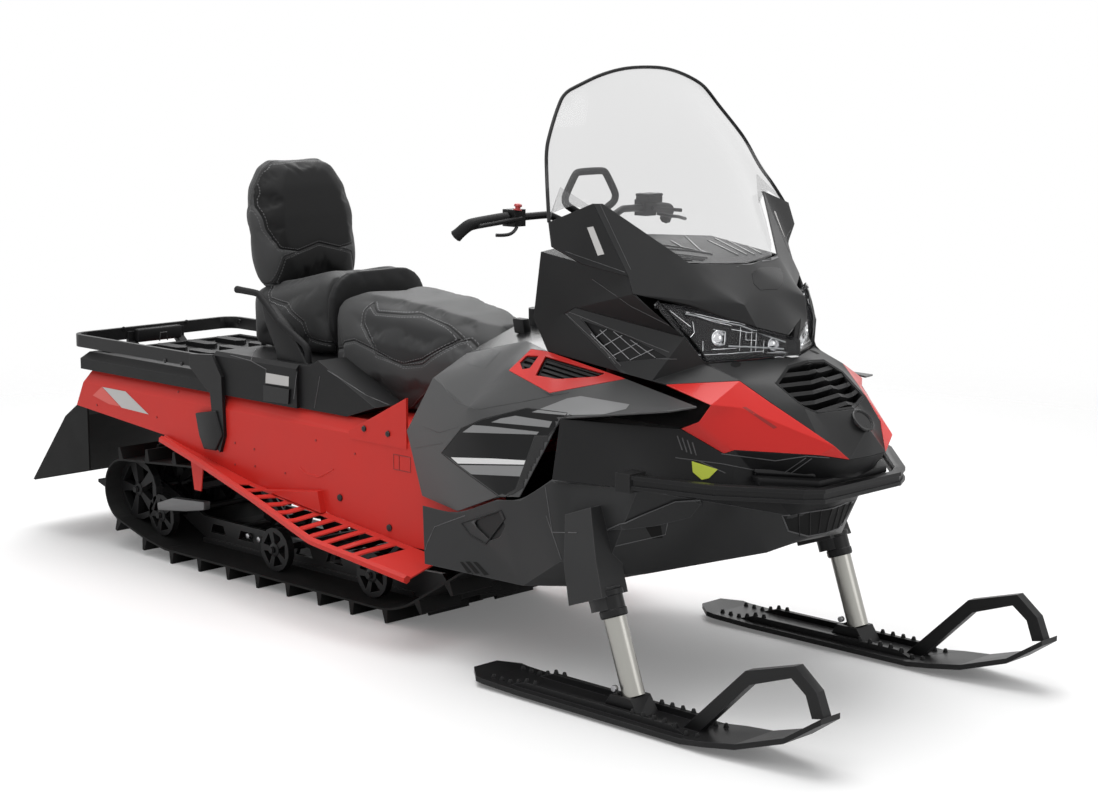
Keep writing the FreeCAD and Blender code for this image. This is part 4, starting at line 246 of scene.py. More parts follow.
class GroupMaker:
    """Builds the node groups that the finishes share, each of them once."""

    def __init__(self) -> None:
        """Keep an empty store of groups."""
        self.made: dict[str, bpy.types.NodeTree] = {}

    def get(self, name: str) -> bpy.types.NodeTree:
        """The group of that name, built on first use.

        Args:
            name: the group's name, which is its method's.

        Returns:
            The group.
        """
        if name not in self.made:
            self.made[name] = bpy.data.node_groups.new(name, "ShaderNodeTree")
            makers = {"grain": self.grain, "edge_wear": self.edge_wear, "dust": self.dust, "seam": self.seam}
            makers[name](name)
        return self.made[name]

    def start(self, name: str, inputs: dict[str, Optional[float]],
              outputs: Sequence[str]) -> tuple[Web, bpy.types.NodeOutputs, bpy.types.Node]:
        """Open a group with its sockets.

        Args:
            name: the group's name.
            inputs: the default of each input, None for a vector.
            outputs: the names of its outputs.

        Returns:
            The tree as a web, what its inputs give, and its output node.
        """
        tree = self.made[name]
        for label, value in inputs.items():
            kind = "NodeSocketVector" if value is None else "NodeSocketFloat"
            socket = tree.interface.new_socket(label, in_out="INPUT", socket_type=kind)
            if value is not None:
                socket.default_value = value
        for label in outputs:
            tree.interface.new_socket(label, in_out="OUTPUT", socket_type="NodeSocketFloat")
        return Web(tree), tree.nodes.new("NodeGroupInput").outputs, tree.nodes.new("NodeGroupOutput")

    def grain(self, name: str) -> None:
        """Moulded or leather grain: a fine height and a slow mottle.

        Args:
            name: the group's name.
        """
        web, given, result = self.start(
            name, {"Vector": None, "Scale": 900.0, "Pebble": 0.5, "Mottle Scale": 9.0}, ("Height", "Mottle"))
        cells = web.add("TexVoronoi", {"Vector": given["Vector"], "Scale": given["Scale"]},
                        feature="DISTANCE_TO_EDGE")
        mix = web.add("Mix", {"Factor": given["Pebble"], "A": web.noise(given["Vector"], given["Scale"], 3.0),
                              "B": cells.outputs["Distance"]})
        web.feed(result, {"Height": mix.outputs["Result"],
                          "Mottle": web.noise(given["Vector"], given["Mottle Scale"], 4.0)})

    def edge_wear(self, name: str) -> None:
        """Mask of worn edges: where a rounded normal leaves the true one, broken up by noise.

        Args:
            name: the group's name.
        """
        web, given, result = self.start(name, {"Vector": None, "Radius": 0.003, "Amount": 0.5}, ("Mask",))
        rounded = web.add("Bevel", {"Radius": given["Radius"]}, samples=4).outputs["Normal"]
        true = web.add("NewGeometry").outputs["Normal"]
        likeness = web.add("VectorMath", {0: rounded, 1: true}, operation="DOT_PRODUCT").outputs["Value"]
        edge = web.span(likeness, 0.0, 1.0, 0.995, 0.90)
        broken = web.math("MULTIPLY", edge, web.noise(given["Vector"], 60.0, 4.0))
        web.feed(result, {"Mask": web.math("MULTIPLY", broken, given["Amount"])})

    def dust(self, name: str) -> None:
        """Mask of fine dust that lies on faces turned upward, in soft patches.

        Args:
            name: the group's name.
        """
        web, given, result = self.start(name, {"Vector": None, "Amount": 0.2}, ("Mask",))
        parts = web.add("SeparateXYZ", {0: web.add("NewGeometry").outputs["Normal"]})
        upward = web.span(parts.outputs["Z"], 0.0, 1.0, 0.1)
        patches = web.math("MULTIPLY", upward, web.noise(given["Vector"], 14.0, 5.0))
        web.feed(result, {"Mask": web.math("MULTIPLY", patches, given["Amount"])})

    def seam(self, name: str) -> None:
        """A sewn seam from the distance to its line: which side is inside, a groove and its stitches.

        Args:
            name: the group's name.
        """
        web, given, result = self.start(name, {"Distance": 0.0, "Along": 0.0}, ("Inside", "Height", "Stitch"))
        thin, groove_half, row_place, row_half, row_fade, per_metre, share = (
            0.0006, 0.0045, 0.0065, 0.0011, 0.0006, 110.0, 0.62)
        near = web.math("ABSOLUTE", given["Distance"])
        groove = web.add("MapRange", {"Value": near, "From Max": groove_half},
                         interpolation_type="SMOOTHSTEP")
        row = web.math("ABSOLUTE", web.math("SUBTRACT", near, row_place))
        phase = web.math("FRACT", web.math("MULTIPLY", given["Along"], per_metre))
        dash = web.math("LESS_THAN", phase, share)
        web.feed(result, {"Inside": web.span(given["Distance"], 0.0, 1.0, -thin, thin),
                          "Height": groove.outputs["Result"],
                          "Stitch": web.math("MULTIPLY", web.span(row, 0.0, 1.0, row_half, row_fade), dash)})


GROUPS = GroupMaker()
MADE: dict[str, bpy.types.Material] = {}


# Finishes
class Look:
    """What the finishes share: a material of their own, made on first use."""

    name: str
    slot: str

    def wire(self, web: Web, shader: bpy.types.Node) -> None:
        """Wire the shader's inputs, as each kind of finish does in its own way."""
        raise NotImplementedError

    def material(self) -> bpy.types.Material:
        """The finish's material.

        Returns:
            The material.
        """
        if self.name not in MADE:
            material = MADE[self.name] = bpy.data.materials.new(f"{self.name}_finish")
            material.use_nodes = True
            self.wire(Web(material.node_tree), material.node_tree.nodes["Principled BSDF"])
        return MADE[self.name]


@dataclass(frozen=True)
class Finish(Look):
    """One surface finish, from its colour down to its grain and wear."""

    name: str
    colour: Colour
    roughness: float = 0.5
    metallic: float = 0.0
    coat: float = 0.0
    coat_roughness: float = 0.08
    sheen: float = 0.0
    specular: float = 0.5
    grain: float = 0.0
    grain_scale: float = 900.0
    grain_depth: float = 0.6 * MM
    pebble: float = 0.3
    mottle: float = 0.06
    mottle_scale: float = 9.0
    unevenness: float = 0.18
    wear: float = 0.0
    wear_colour: Colour = (0.35, 0.35, 0.36)
    wear_radius: float = 3 * MM
    dust: float = 0.0
    dust_colour: Colour = (0.35, 0.34, 0.33)
    slot: str = ""

    def wire(self, web: Web, shader: bpy.types.Node) -> None:
        """Wire the finish's nodes.

        Args:
            web: the material's tree.
            shader: its shader node.
        """
        place = web.add("TexCoord").outputs["Object"]
        grain = web.add("Group", {"Vector": place, "Scale": self.grain_scale, "Pebble": self.pebble,
                                  "Mottle Scale": self.mottle_scale}, node_tree=GROUPS.get("grain"))
        mottle = grain.outputs["Mottle"]
        colour = web.shade(self.colour, self.mottle, mottle)
        if self.wear > 0:
            worn = web.add("Group", {"Vector": place, "Amount": self.wear, "Radius": self.wear_radius},
                           node_tree=GROUPS.get("edge_wear"))
            colour = web.blend(colour, (*self.wear_colour, 1), worn.outputs["Mask"])
        if self.dust > 0:
            dusty = web.add("Group", {"Vector": place, "Amount": self.dust}, node_tree=GROUPS.get("dust"))
            colour = web.blend(colour, (*self.dust_colour, 1), dusty.outputs["Mask"])
        low, high = (self.roughness * (1 + change) for change in (-self.unevenness, self.unevenness))
        web.feed(shader, {"Base Color": colour, "Roughness": web.span(mottle, low, min(high, 1.0)),
                          "Metallic": self.metallic, "Coat Weight": self.coat,
                          "Coat Roughness": self.coat_roughness, "Sheen Weight": self.sheen,
                          "Specular IOR Level": self.specular})
        if self.grain > 0:
            bump = web.add("Bump", {"Strength": self.grain, "Distance": self.grain_depth,
                                    "Height": grain.outputs["Height"]})
            web.feed(shader, {"Normal": bump.outputs["Normal"]})


@dataclass(frozen=True)
class Glass(Look):
    """A clear or tinted see-through finish."""

    name: str
    colour: Colour
    roughness: float
    ior: float
    alpha: float
    slot: str

    def wire(self, web: Web, shader: bpy.types.Node) -> None:
        """Set the shader's values."""
        web.feed(shader, {"Base Color": (*self.colour, 1), "Roughness": self.roughness, "IOR": self.ior,
                          "Alpha": self.alpha})


@dataclass(frozen=True)
class Upholstery(Look):
    """A sewn cover: zones of vinyl in their own tones, parted by sunk seams with a row of stitches."""

    name: str
    base: Colour
    zones: tuple[Colour, ...]
    stitch: Colour = (0.17, 0.17, 0.175)
    roughness: float = 0.56
    unevenness: float = 0.15
    specular: float = 0.18
    sheen: float = 0.04
    grain: float = 0.30
    grain_scale: float = 1100.0
    grain_depth: float = 0.6 * MM
    seam_depth: float = 4 * MM
    pebble: float = 0.75
    mottle: float = 0.12
    mottle_scale: float = 14.0
    slot: str = "seat_cover"

    def wire(self, web: Web, shader: bpy.types.Node) -> None:
        """Wire the cover's nodes, which read the zone distances that the cushion keeps at its points.

        Args:
            web: the material's tree.
            shader: its shader node.
        """
        grain = web.add("Group", {"Vector": web.add("TexCoord").outputs["Object"], "Scale": self.grain_scale,
                                  "Pebble": self.pebble, "Mottle Scale": self.mottle_scale},
                        node_tree=GROUPS.get("grain"))
        mottle = grain.outputs["Mottle"]
        colour = web.shade(self.base, self.mottle, mottle)
        height = stitches = None
        for index, tint in enumerate(self.zones):
            depth, along = (web.add("Attribute", attribute_name=f"{label}_{index}").outputs["Fac"]
                            for label in ("zone", "along"))
            seam = web.add("Group", {"Distance": depth, "Along": along}, node_tree=GROUPS.get("seam"))
            colour = web.blend(colour, web.shade(tint, self.mottle, mottle), seam.outputs["Inside"])
            sunk, row = seam.outputs["Height"], seam.outputs["Stitch"]
            height = web.math("MULTIPLY", height, sunk) if height else sunk
            stitches = web.math("MAXIMUM", stitches, row) if stitches else row
        pebble = web.add("Bump", {"Strength": self.grain, "Distance": self.grain_depth,
                                  "Height": grain.outputs["Height"]})
        if height:
            colour = web.blend(colour, (*self.stitch, 1), stitches)
            groove = web.add("Bump", {"Distance": self.seam_depth, "Height": height})
            web.feed(pebble, {"Normal": groove.outputs["Normal"]})
        low, high = (self.roughness * (1 + change) for change in (-self.unevenness, self.unevenness))
        web.feed(shader, {"Base Color": colour, "Roughness": web.span(mottle, low, high),
                          "Normal": pebble.outputs["Normal"], "Sheen Weight": self.sheen,
                          "Specular IOR Level": self.specular})


RED_PAINT = Finish("red_powder_coat", (0.62, 0.030, 0.022), 0.40, coat=0.05, coat_roughness=0.30, grain=0.10,
                   grain_scale=420, mottle=0.05, wear=0.25, wear_colour=(0.80, 0.14, 0.10), dust=0.04,
                   specular=0.20, slot="red_paint")
RED_GLOSS = Finish("red_moulding", (0.66, 0.024, 0.020), 0.30, coat=0.12, coat_roughness=0.12, mottle=0.03,
                   wear=0.3, wear_colour=(0.88, 0.25, 0.20), grain=0.03, grain_scale=300, specular=0.22,
                   slot="red_plastic")
COWL_GREY = Finish("cowl_grey", (0.016, 0.0162, 0.0168), 0.40, grain=0.12, grain_scale=1300, mottle=0.12,
                   wear=0.5, wear_colour=(0.10, 0.10, 0.105), dust=0.03, specular=0.26, slot="grey_plastic")
SIDE_GREY = Finish("side_panel_grey", (0.056, 0.0565, 0.0575), 0.40, coat=0.05, coat_roughness=0.25,
                   grain=0.06, grain_scale=1300, mottle=0.06, wear=0.4, wear_colour=(0.22, 0.22, 0.23),
                   dust=0.02, specular=0.30, slot="grey_plastic")
PAN_GREY = Finish("pan_grey", (0.024, 0.0243, 0.025), 0.44, grain=0.16, grain_scale=1100, mottle=0.12,
                  wear=0.6, wear_colour=(0.16, 0.16, 0.165), dust=0.03, specular=0.22, slot="grey_plastic")
BLACK_PLASTIC = Finish("black_moulding", (0.0075, 0.0075, 0.008), 0.48, grain=0.22, grain_scale=1000,
                       mottle=0.15, wear=0.5, wear_colour=(0.06, 0.06, 0.062), dust=0.02, specular=0.20,
                       slot="black_plastic")
GLOSS_BLACK = Finish("gloss_black", (0.004, 0.004, 0.0045), 0.24, coat=0.06, coat_roughness=0.08, mottle=0.05,
                     wear=0.3, wear_colour=(0.05, 0.05, 0.055), specular=0.30, grain=0.02, slot="gloss_black")
BLACK_STEEL = Finish("black_powder_coat", (0.0085, 0.0085, 0.009), 0.40, grain=0.18, grain_scale=700,
                     mottle=0.12, wear=0.5, wear_colour=(0.09, 0.09, 0.095), dust=0.02, specular=0.24,
                     slot="black_steel")
TRACK_RUBBER = Finish("track_rubber", (0.009, 0.009, 0.009), 0.62, grain=0.45, grain_scale=420, mottle=0.25,
                      wear=0.5, wear_colour=(0.045, 0.044, 0.043), dust=0.06, dust_colour=(0.07, 0.07, 0.07),
                      specular=0.18, slot="rubber")
FLAP_RUBBER = Finish("flap_rubber", (0.007, 0.007, 0.007), 0.60, grain=0.35, grain_scale=600, mottle=0.2,
                     specular=0.16, slot="rubber")
WHEEL_BLACK = Finish("wheel_moulding", (0.010, 0.010, 0.0105), 0.46, grain=0.2, grain_scale=800, mottle=0.15,
                     wear=0.6, wear_colour=(0.09, 0.09, 0.09), specular=0.22, slot="wheel_plastic")
STRUT_STEEL = Finish("strut_steel", (0.36, 0.355, 0.33), 0.30, metallic=1.0, grain=0.06, grain_scale=1500,
                     mottle=0.06, slot="strut_metal")
RAIL_ALLOY = Finish("rail_alloy", (0.016, 0.016, 0.0165), 0.40, metallic=0.3, grain=0.1, mottle=0.1, wear=0.8,
                    wear_colour=(0.20, 0.20, 0.20), slot="rail_alloy")
ARM_ALLOY = Finish("arm_alloy", (0.15, 0.15, 0.152), 0.42, metallic=0.7, grain=0.10, mottle=0.15,
                   slot="rail_alloy")
BRIGHT_ALLOY = Finish("bright_alloy", (0.50, 0.50, 0.51), 0.34, metallic=1.0, grain=0.08, mottle=0.10,
                      slot="rail_alloy")
BOLT_STEEL = Finish("bolt_steel", (0.34, 0.34, 0.35), 0.34, metallic=1.0, grain=0.06, mottle=0.15,
                    slot="strut_metal")
ENGINE_METAL = Finish("engine_metal", (0.06, 0.06, 0.06), 0.55, metallic=0.3, grain=0.2, mottle=0.2)
PAD_BLACK = Finish("pad_black", (0.0075, 0.0075, 0.008), 0.60, grain=0.35, grain_scale=800, pebble=0.8,
                   mottle=0.2, mottle_scale=20, sheen=0.02, specular=0.18, slot="pad_black")
REFLECTOR = Finish("reflector_lens", (0.60, 0.70, 0.03), 0.30, coat=0.4, grain=0.12, grain_scale=260,
                   pebble=1.0, mottle=0.05, slot="amber_reflector")
RED_LENS = Finish("red_lens", (0.30, 0.006, 0.005), 0.18, coat=0.6, grain=0.1, grain_scale=260, pebble=1.0,
                  slot="red_lens")
GRIP_RUBBER = Finish("grip_rubber", (0.007, 0.007, 0.0075), 0.62, grain=0.5, grain_scale=520, pebble=0.9,
                     specular=0.22, slot="rubber")
SWITCH_RED = Finish("switch_red", (0.50, 0.05, 0.05), 0.40, coat=0.2, mottle=0.04, slot="red_plastic")
DECAL_PALE = Finish("decal_pale", (0.22, 0.222, 0.225), 0.36, coat=0.2, mottle=0.03, specular=0.4)
DECAL_WHITE = Finish("decal_white", (0.78, 0.78, 0.78), 0.34, coat=0.2, mottle=0.02)
DECAL_BLACK = Finish("decal_black", (0.004, 0.004, 0.0045), 0.30, coat=0.0, mottle=0.05, specular=0.14)
DECAL_RED = Finish("decal_red", (0.72, 0.08, 0.06), 0.34, coat=0.2, mottle=0.03)
LABEL_PALE = Finish("label_pale", (0.55, 0.54, 0.53), 0.45, mottle=0.05)
LAMP_CHROME = Finish("lamp_chrome", (0.78, 0.79, 0.81), 0.12, metallic=1.0, mottle=0.03, slot="lamp_lens")
LAMP_LIGHT = Finish("lamp_diffuser", (0.62, 0.64, 0.66), 0.30, coat=0.5, mottle=0.03, slot="lamp_lens")
# pale grey for beads along creases, ribs and rims: painted highlights where light catches the edges
PAINTED_HIGHLIGHT_GREY = Finish("painted_edge_highlight", (0.085, 0.085, 0.088), 0.36, mottle=0.08, specular=0.4, slot="grey_plastic")
WIRE_GREY = Finish("wire_grey", (0.30, 0.30, 0.31), 0.34, metallic=0.4, mottle=0.08, slot="grey_plastic")
RED_SHADE = Finish("red_shade", (0.30, 0.012, 0.009), 0.42, mottle=0.05, slot="red_paint")
SIDE_SHADE = Finish("side_shade", (0.036, 0.037, 0.038), 0.42, mottle=0.06, slot="grey_plastic")
BOLT_DARK = Finish("bolt_dark", (0.020, 0.020, 0.021), 0.34, metallic=0.6, mottle=0.15, wear=0.5,
                   wear_colour=(0.25, 0.25, 0.25), slot="black_steel")
LAMP_BLACK = Finish("lamp_bucket", (0.004, 0.004, 0.0045), 0.22, coat=0.3, mottle=0.05, specular=0.30,
                    slot="gloss_black")
LIP_GREY = Finish("lip_grey", (0.17, 0.17, 0.175), 0.32, mottle=0.06, slot="grey_plastic")
DARK_LINE = Finish("shadow_gap", (0.003, 0.003, 0.003), 0.7, mottle=0.05, specular=0.2, slot="black_plastic")
CLEAR_SHIELD = Glass("clear_shield", (0.27, 0.27, 0.275), 0.02, 1.40, 0.17, slot="clear_shield")
LAMP_GLASS = Glass("lamp_glass", (0.05, 0.05, 0.055), 0.02, 1.50, 0.16, slot="lamp_lens")
SEAT_COVER = Upholstery("driver_cover", (0.050, 0.0505, 0.051), ((0.030, 0.0303, 0.031),
                        (0.068, 0.0685, 0.0695)))
REAR_COVER = Upholstery("passenger_cover", (0.048, 0.0485, 0.049), ((0.031, 0.0313, 0.032),),
                        stitch=(0.22, 0.22, 0.225))
ARCH_COVER = Upholstery("arch_cover", (0.012, 0.012, 0.0125), (), grain_scale=900.0, slot="pad_black")
BACK_COVER = Upholstery("backrest_cover", (0.056, 0.0565, 0.0573), ((0.0045, 0.0045, 0.0048),
                        (0.0035, 0.0035, 0.0037)), stitch=(0.10, 0.10, 0.102), grain_scale=900.0,
                        slot="pad_black")

NODE_FINISHES: dict[str, Finish] = {
    "track": TRACK_RUBBER, "skid_wheels": WHEEL_BLACK, "slide_rails": RAIL_ALLOY, "drive_axle": BLACK_STEEL,
    "suspension": BLACK_STEEL, "tunnel": RED_PAINT, "running_boards": RED_PAINT, "rear_deck": BLACK_PLASTIC,
    "cargo_rack": BLACK_STEEL, "tail_lamp": RED_LENS, "hitch": BLACK_STEEL, "snow_flap": FLAP_RUBBER,
    "seat_base": BLACK_PLASTIC, "seat_arch": PAD_BLACK, "grab_handles": GRIP_RUBBER, "grille": BLACK_PLASTIC,
    "screens": BLACK_PLASTIC, "front_bumper": BLACK_STEEL, "engine": ENGINE_METAL, "fuel_cap": BLACK_PLASTIC,
    "controls": BLACK_PLASTIC, "ski_left": BLACK_STEEL, "ski_right": BLACK_STEEL, "reflectors": REFLECTOR,
    "strut_left": STRUT_STEEL, "strut_right": STRUT_STEEL, "driver_seat": PAD_BLACK,
    "passenger_seat": PAD_BLACK, "backrest": PAD_BLACK, "handlebar": BLACK_STEEL, "grips": GRIP_RUBBER,
    "grab_loop": GRIP_RUBBER,
}
PANEL_FINISHES: dict[str, Finish] = {
    "hood": COWL_GREY, "fairing": COWL_GREY, "front_shell": BLACK_PLASTIC, "tank_cover": GLOSS_BLACK,
    "side_panel_left": SIDE_GREY, "side_panel_right": SIDE_GREY, "hood_panels": RED_GLOSS,
    "shoulders": COWL_GREY, "wind_deflectors": BLACK_PLASTIC, "vent_frames": RED_GLOSS,
    "console_sides": BLACK_PLASTIC, "dash": BLACK_PLASTIC, "belly_pan": PAN_GREY, "strut_housings": PAN_GREY,
}


# Making pieces
def put(shape: bmesh.types.BMesh, name: str) -> bpy.types.Object:
    """Turn a bmesh into an object of the scene.

    Args:
        shape: the mesh, which is freed.
        name: the object's name.

    Returns:
        The new object.
    """
    mesh = bpy.data.meshes.new(name)
    shape.to_mesh(mesh)
    shape.free()
    item = bpy.data.objects.new(name, mesh)
    bpy.context.scene.collection.objects.link(item)
    return item


def shown(piece: bpy.types.Object) -> bpy.types.Mesh:
    """A new mesh of what a piece's modifiers make of it."""
    return bpy.data.meshes.new_from_object(piece.evaluated_get(bpy.context.evaluated_depsgraph_get()))


def shape_of(mesh: bpy.types.Mesh) -> bmesh.types.BMesh:
    """Turn a mesh that is needed no more into a bmesh.

    Args:
        mesh: the mesh, which is removed.

    Returns:
        The bmesh.
    """
    shape = bmesh.new()
    shape.from_mesh(mesh)
    bpy.data.meshes.remove(mesh)
    return shape


def bevelled(shape: bmesh.types.BMesh, edges: Iterable[bmesh.types.BMEdge], radius: float,
             segments: int = 2) -> list[bmesh.types.BMFace]:
    """Round some edges of a bmesh.

    Args:
        shape: the mesh.
        edges: which of its edges.
        radius: the radius of the rounding.
        segments: its steps.

    Returns:
        The faces of the rounded edges.
    """
    made = bmesh.ops.bevel(shape, geom=edges, offset=radius, offset_type="OFFSET", segments=segments,
                           profile=0.5, affect="EDGES", material=-1, clamp_overlap=True)
    return made["faces"]


class Bench:
    """Tools that turn a bmesh or a line of points into a finished piece on its body."""

    def __init__(self, frame: dict) -> None:
        """Keep the loaded frame.
        """
        self.nodes: dict[str, bpy.types.Object] = frame["nodes"]
        self.trees: dict[str, BVHTree] = {}
        self.skins: dict[str, bpy.types.Object] = {}

    def finished(self, shape: bmesh.types.BMesh, name: str, finish: Look, body: Body = Body.CHASSIS,
                 smooth: float = 35.0) -> bpy.types.Object:
        """Turn a bmesh into a piece that rides on a body.

        Args:
            shape: the mesh, which is freed.
            name: the piece's name.
            finish: its finish.
            body: the body it moves with.
            smooth: the angle in degrees under which edges are shaded smooth.

        Returns:
            The new object.
        """
        piece = put(shape, name)
        piece.data.materials.append(finish.material())
        piece.data.shade_smooth()
        piece.data.set_sharp_from_angle(angle=math.radians(smooth))
        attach(piece, body.value)
        return piece

    def tube(self, points: Sequence[Vector], radius: float, closed: bool = False, curved: bool = True,
             sides: int = 3) -> bmesh.types.BMesh:
        """A round bar, trim or seam along a line of points.

        Args:
            points: the line.
            radius: half its thickness.
            closed: whether the line is a loop.
            curved: whether the line is a smooth spline.
            sides: the curve's bevel resolution.

        Returns:
            The mesh.
        """
        curve = bpy.data.curves.new("line", "CURVE")
        curve.dimensions = "3D"
        curve.bevel_depth = radius
        curve.bevel_resolution = sides
        curve.resolution_u = 8
        curve.use_fill_caps = not closed
        spline = curve.splines.new("NURBS" if curved else "POLY")
        spline.points.add(len(points) - 1)
        for knot, point in zip(spline.points, points):
            knot.co = (*point, 1)
        spline.use_cyclic_u = closed
        if curved:
            spline.order_u = 3
            spline.use_endpoint_u = not closed
        holder = bpy.data.objects.new("line", curve)
        shape = shape_of(bpy.data.meshes.new_from_object(holder))
        bpy.data.objects.remove(holder)
        bmesh.ops.remove_doubles(shape, verts=shape.verts, dist=SAME_PLACE)
        bmesh.ops.recalc_face_normals(shape, faces=shape.faces)
        return shape

    def slab(self, outline: Sequence[Vector], depth: Vector, bevel: float,
             segments: int = 2) -> bmesh.types.BMesh:
        """A plate: an outline drawn out by a depth, with its edges rounded.

        Args:
            outline: corners of the flat face.
            depth: how far and which way the plate goes from that face.
            bevel: the radius of the rounded edges.
            segments: steps of the rounding.

        Returns:
            The mesh.
        """
        shape = bmesh.new()
        face = shape.faces.new([shape.verts.new(corner) for corner in outline])
        drawn = bmesh.ops.extrude_face_region(shape, geom=[face])
        tops = [item for item in drawn["geom"] if isinstance(item, bmesh.types.BMVert)]
        bmesh.ops.translate(shape, verts=tops, vec=depth)
        bmesh.ops.recalc_face_normals(shape, faces=shape.faces)
        bevelled(shape, shape.edges, bevel, segments)
        return shape

    def rod(self, start: Vector, end: Vector, radius: float, segments: int, bevel: float,
            tip: Optional[float] = None) -> bmesh.types.BMesh:
        """A round rod, boss or bolt from one point to another.

        Args:
            start: centre of its first end.
            end: centre of its second end.
            radius: radius at the first end.
            segments: number of sides.
            bevel: radius of its rounded ends.
            tip: radius at the second end, the same where None.

        Returns:
            The mesh.
        """
        shape = bmesh.new()
        line = end - start
        turn = line.to_track_quat("Z", "Y").to_matrix().to_4x4()
        bmesh.ops.create_cone(shape, cap_ends=True, segments=segments, radius1=radius,
                              radius2=radius if tip is None else tip, depth=line.length,
                              matrix=Matrix.Translation((start + end) / 2) @ turn)
        rims = [edge for edge in shape.edges if any(len(face.verts) > 4 for face in edge.link_faces)]
        bevelled(shape, rims, bevel)
        return shape

    def turned(self, profile: Line, start: Vector, axis: Vector, steps: int) -> bmesh.types.BMesh:
        """A turned form: a profile of (distance along, radius) spun round an axis.

        Args:
            profile: the half section, which starts and ends on the axis where the form is solid.
            start: the axis's first point.
            axis: the axis's direction.
            steps: how many steps the turn has.

        Returns:
            The mesh.
        """
        axis = axis.normalized()
        side = axis.cross(UP if abs(axis.z) < 0.9 else LEFTWARD).normalized()
        shape = bmesh.new()
        verts = [shape.verts.new(start + axis * along + side * radius) for along, radius in profile]
        edges = [shape.edges.new(pair) for pair in zip(verts, verts[1:])]
        bmesh.ops.spin(shape, geom=verts + edges, cent=start, axis=axis, angle=2 * math.pi, steps=steps,
                       use_merge=True)
        bmesh.ops.remove_doubles(shape, verts=shape.verts, dist=SAME_PLACE)
        bmesh.ops.recalc_face_normals(shape, faces=shape.faces)
        return shape

    def merged(self, shapes: Iterable[bmesh.types.BMesh]) -> bmesh.types.BMesh:
        """Several meshes in one.

        Args:
            shapes: the meshes, which are freed.

        Returns:
            One mesh with all of them.
        """
        whole = bmesh.new()
        for shape in shapes:
            mesh = bpy.data.meshes.new("part")
            shape.to_mesh(mesh)
            shape.free()
            whole.from_mesh(mesh)
            bpy.data.meshes.remove(mesh)
        return whole

    def mirrored(self, shape: bmesh.types.BMesh) -> bmesh.types.BMesh:
        """Add a mesh's mirror image across the machine's middle.

        Args:
            shape: the mesh, which is changed.

        Returns:
            The same mesh.
        """
        copied = bmesh.ops.duplicate(shape, geom=[*shape.verts, *shape.edges, *shape.faces])["geom"]
        verts = [item for item in copied if isinstance(item, bmesh.types.BMVert)]
        faces = [item for item in copied if isinstance(item, bmesh.types.BMFace)]
        bmesh.ops.scale(shape, verts=verts, vec=(1, -1, 1))
        bmesh.ops.reverse_faces(shape, faces=faces)
        return shape

    def copy(self, node: str) -> bmesh.types.BMesh:
        """A copy of a CAD node with its loose triangles joined into flat convex faces.

        Args:
            node: the node's name.

        Returns:
            The mesh.
        """
        shape = bmesh.new()
        shape.from_mesh(self.nodes[node].data)
        bmesh.ops.remove_doubles(shape, verts=shape.verts, dist=CAD_WELD)
        bmesh.ops.dissolve_limit(shape, angle_limit=math.radians(0.4), verts=shape.verts, edges=shape.edges)
        bmesh.ops.connect_verts_concave(shape, faces=shape.faces)
        return shape

    def moulding(self, node: str, finish: Look, body: Body = Body.CHASSIS, crease: float = 27.0,
                 levels: int = 2, bevel: float = 1.5 * MM) -> bpy.types.Object:
        """Stand a smooth moulding in for a CAD node: soft between its creases, which are rounded finely.

        Args:
            node: the node that it replaces.
            finish: its finish.
            body: the body it moves with.
            crease: the angle in degrees over which an edge stays crisp.
            levels: how often its faces are divided.
            bevel: the radius of its crisp edges.

        Returns:
            The new object.
        """
        shape = self.copy(node)
        crisp = [edge for edge in shape.edges if edge.calc_face_angle(math.pi) > math.radians(crease)]
        rounded = bevelled(shape, crisp, bevel)
        along = shape.edges.layers.float.new("crease_edge")
        held = shape.verts.layers.float.new("crease_vert")
        for face in rounded:
            for edge in face.edges:
                edge[along] = 1.0
            for vert in face.verts:
                vert[held] = 1.0
        piece = self.finished(shape, f"{node}_skin", finish, body, 40.0)
        divided = piece.modifiers.new("divided", "SUBSURF")
        divided.levels = divided.render_levels = levels
        even = piece.modifiers.new("even_normals", "WEIGHTED_NORMAL")
        even.keep_sharp = True
        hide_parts(node)
        self.skins[node] = piece
        return piece

    def surface(self, node: str) -> BVHTree:
        """A search tree over a node as it shows: its moulding where it has one, else its CAD faces.

        Args:
            node: the node's name.

        Returns:
            The tree, which is kept.
        """
        if node not in self.trees:
            shape = shape_of(shown(self.skins[node]) if node in self.skins else self.nodes[node].data.copy())
            self.trees[node] = BVHTree.FromBMesh(shape)
            shape.free()
        return self.trees[node]

    def cast(self, node: str, start: Vector, way: Vector) -> Optional[tuple[Vector, Vector]]:
        """Where a ray first meets one of several nodes.

        Args:
            node: the node's name, or several with spaces between them.
            start: where the ray starts.
            way: its direction.

        Returns:
            The place and the surface's normal there, turned against the ray, or None.
        """
        best = None
        for name in node.split():
            place, normal, _, far = self.surface(name).ray_cast(start, way)
            if place and (best is None or far < best[2]):
                best = (place, normal if normal.dot(way) < 0 else -normal, far)
        return best[:2] if best else None

    def laid(self, node: str, view: View, spots: Line, lift: float, closed: bool) -> list[Vector]:
        """A line laid on a node: its runs divided finely and each spot dropped on the surface.

        Args:
            node: the node, or nodes, that carry the line.
            view: the view in which its spots are given.
            spots: its corners.
            lift: how far it stands off the surface.
            closed: whether the last corner joins the first.

        Returns:
            The points on the surface.
        """
        line = [Vector(spot) for spot in spots]
        places = []
        for start, end in zip(line, line[1:] + (line[:1] if closed else [])):
            count = max(int((end - start).length / view.step), 1)
            places += [start.lerp(end, index / count) for index in range(count)]
        if not closed:
            places.append(line[-1])
        hits = [self.cast(node, *view.ray(place)) for place in places]
        return [view.lifted(*hit, lift) for hit in hits if hit]


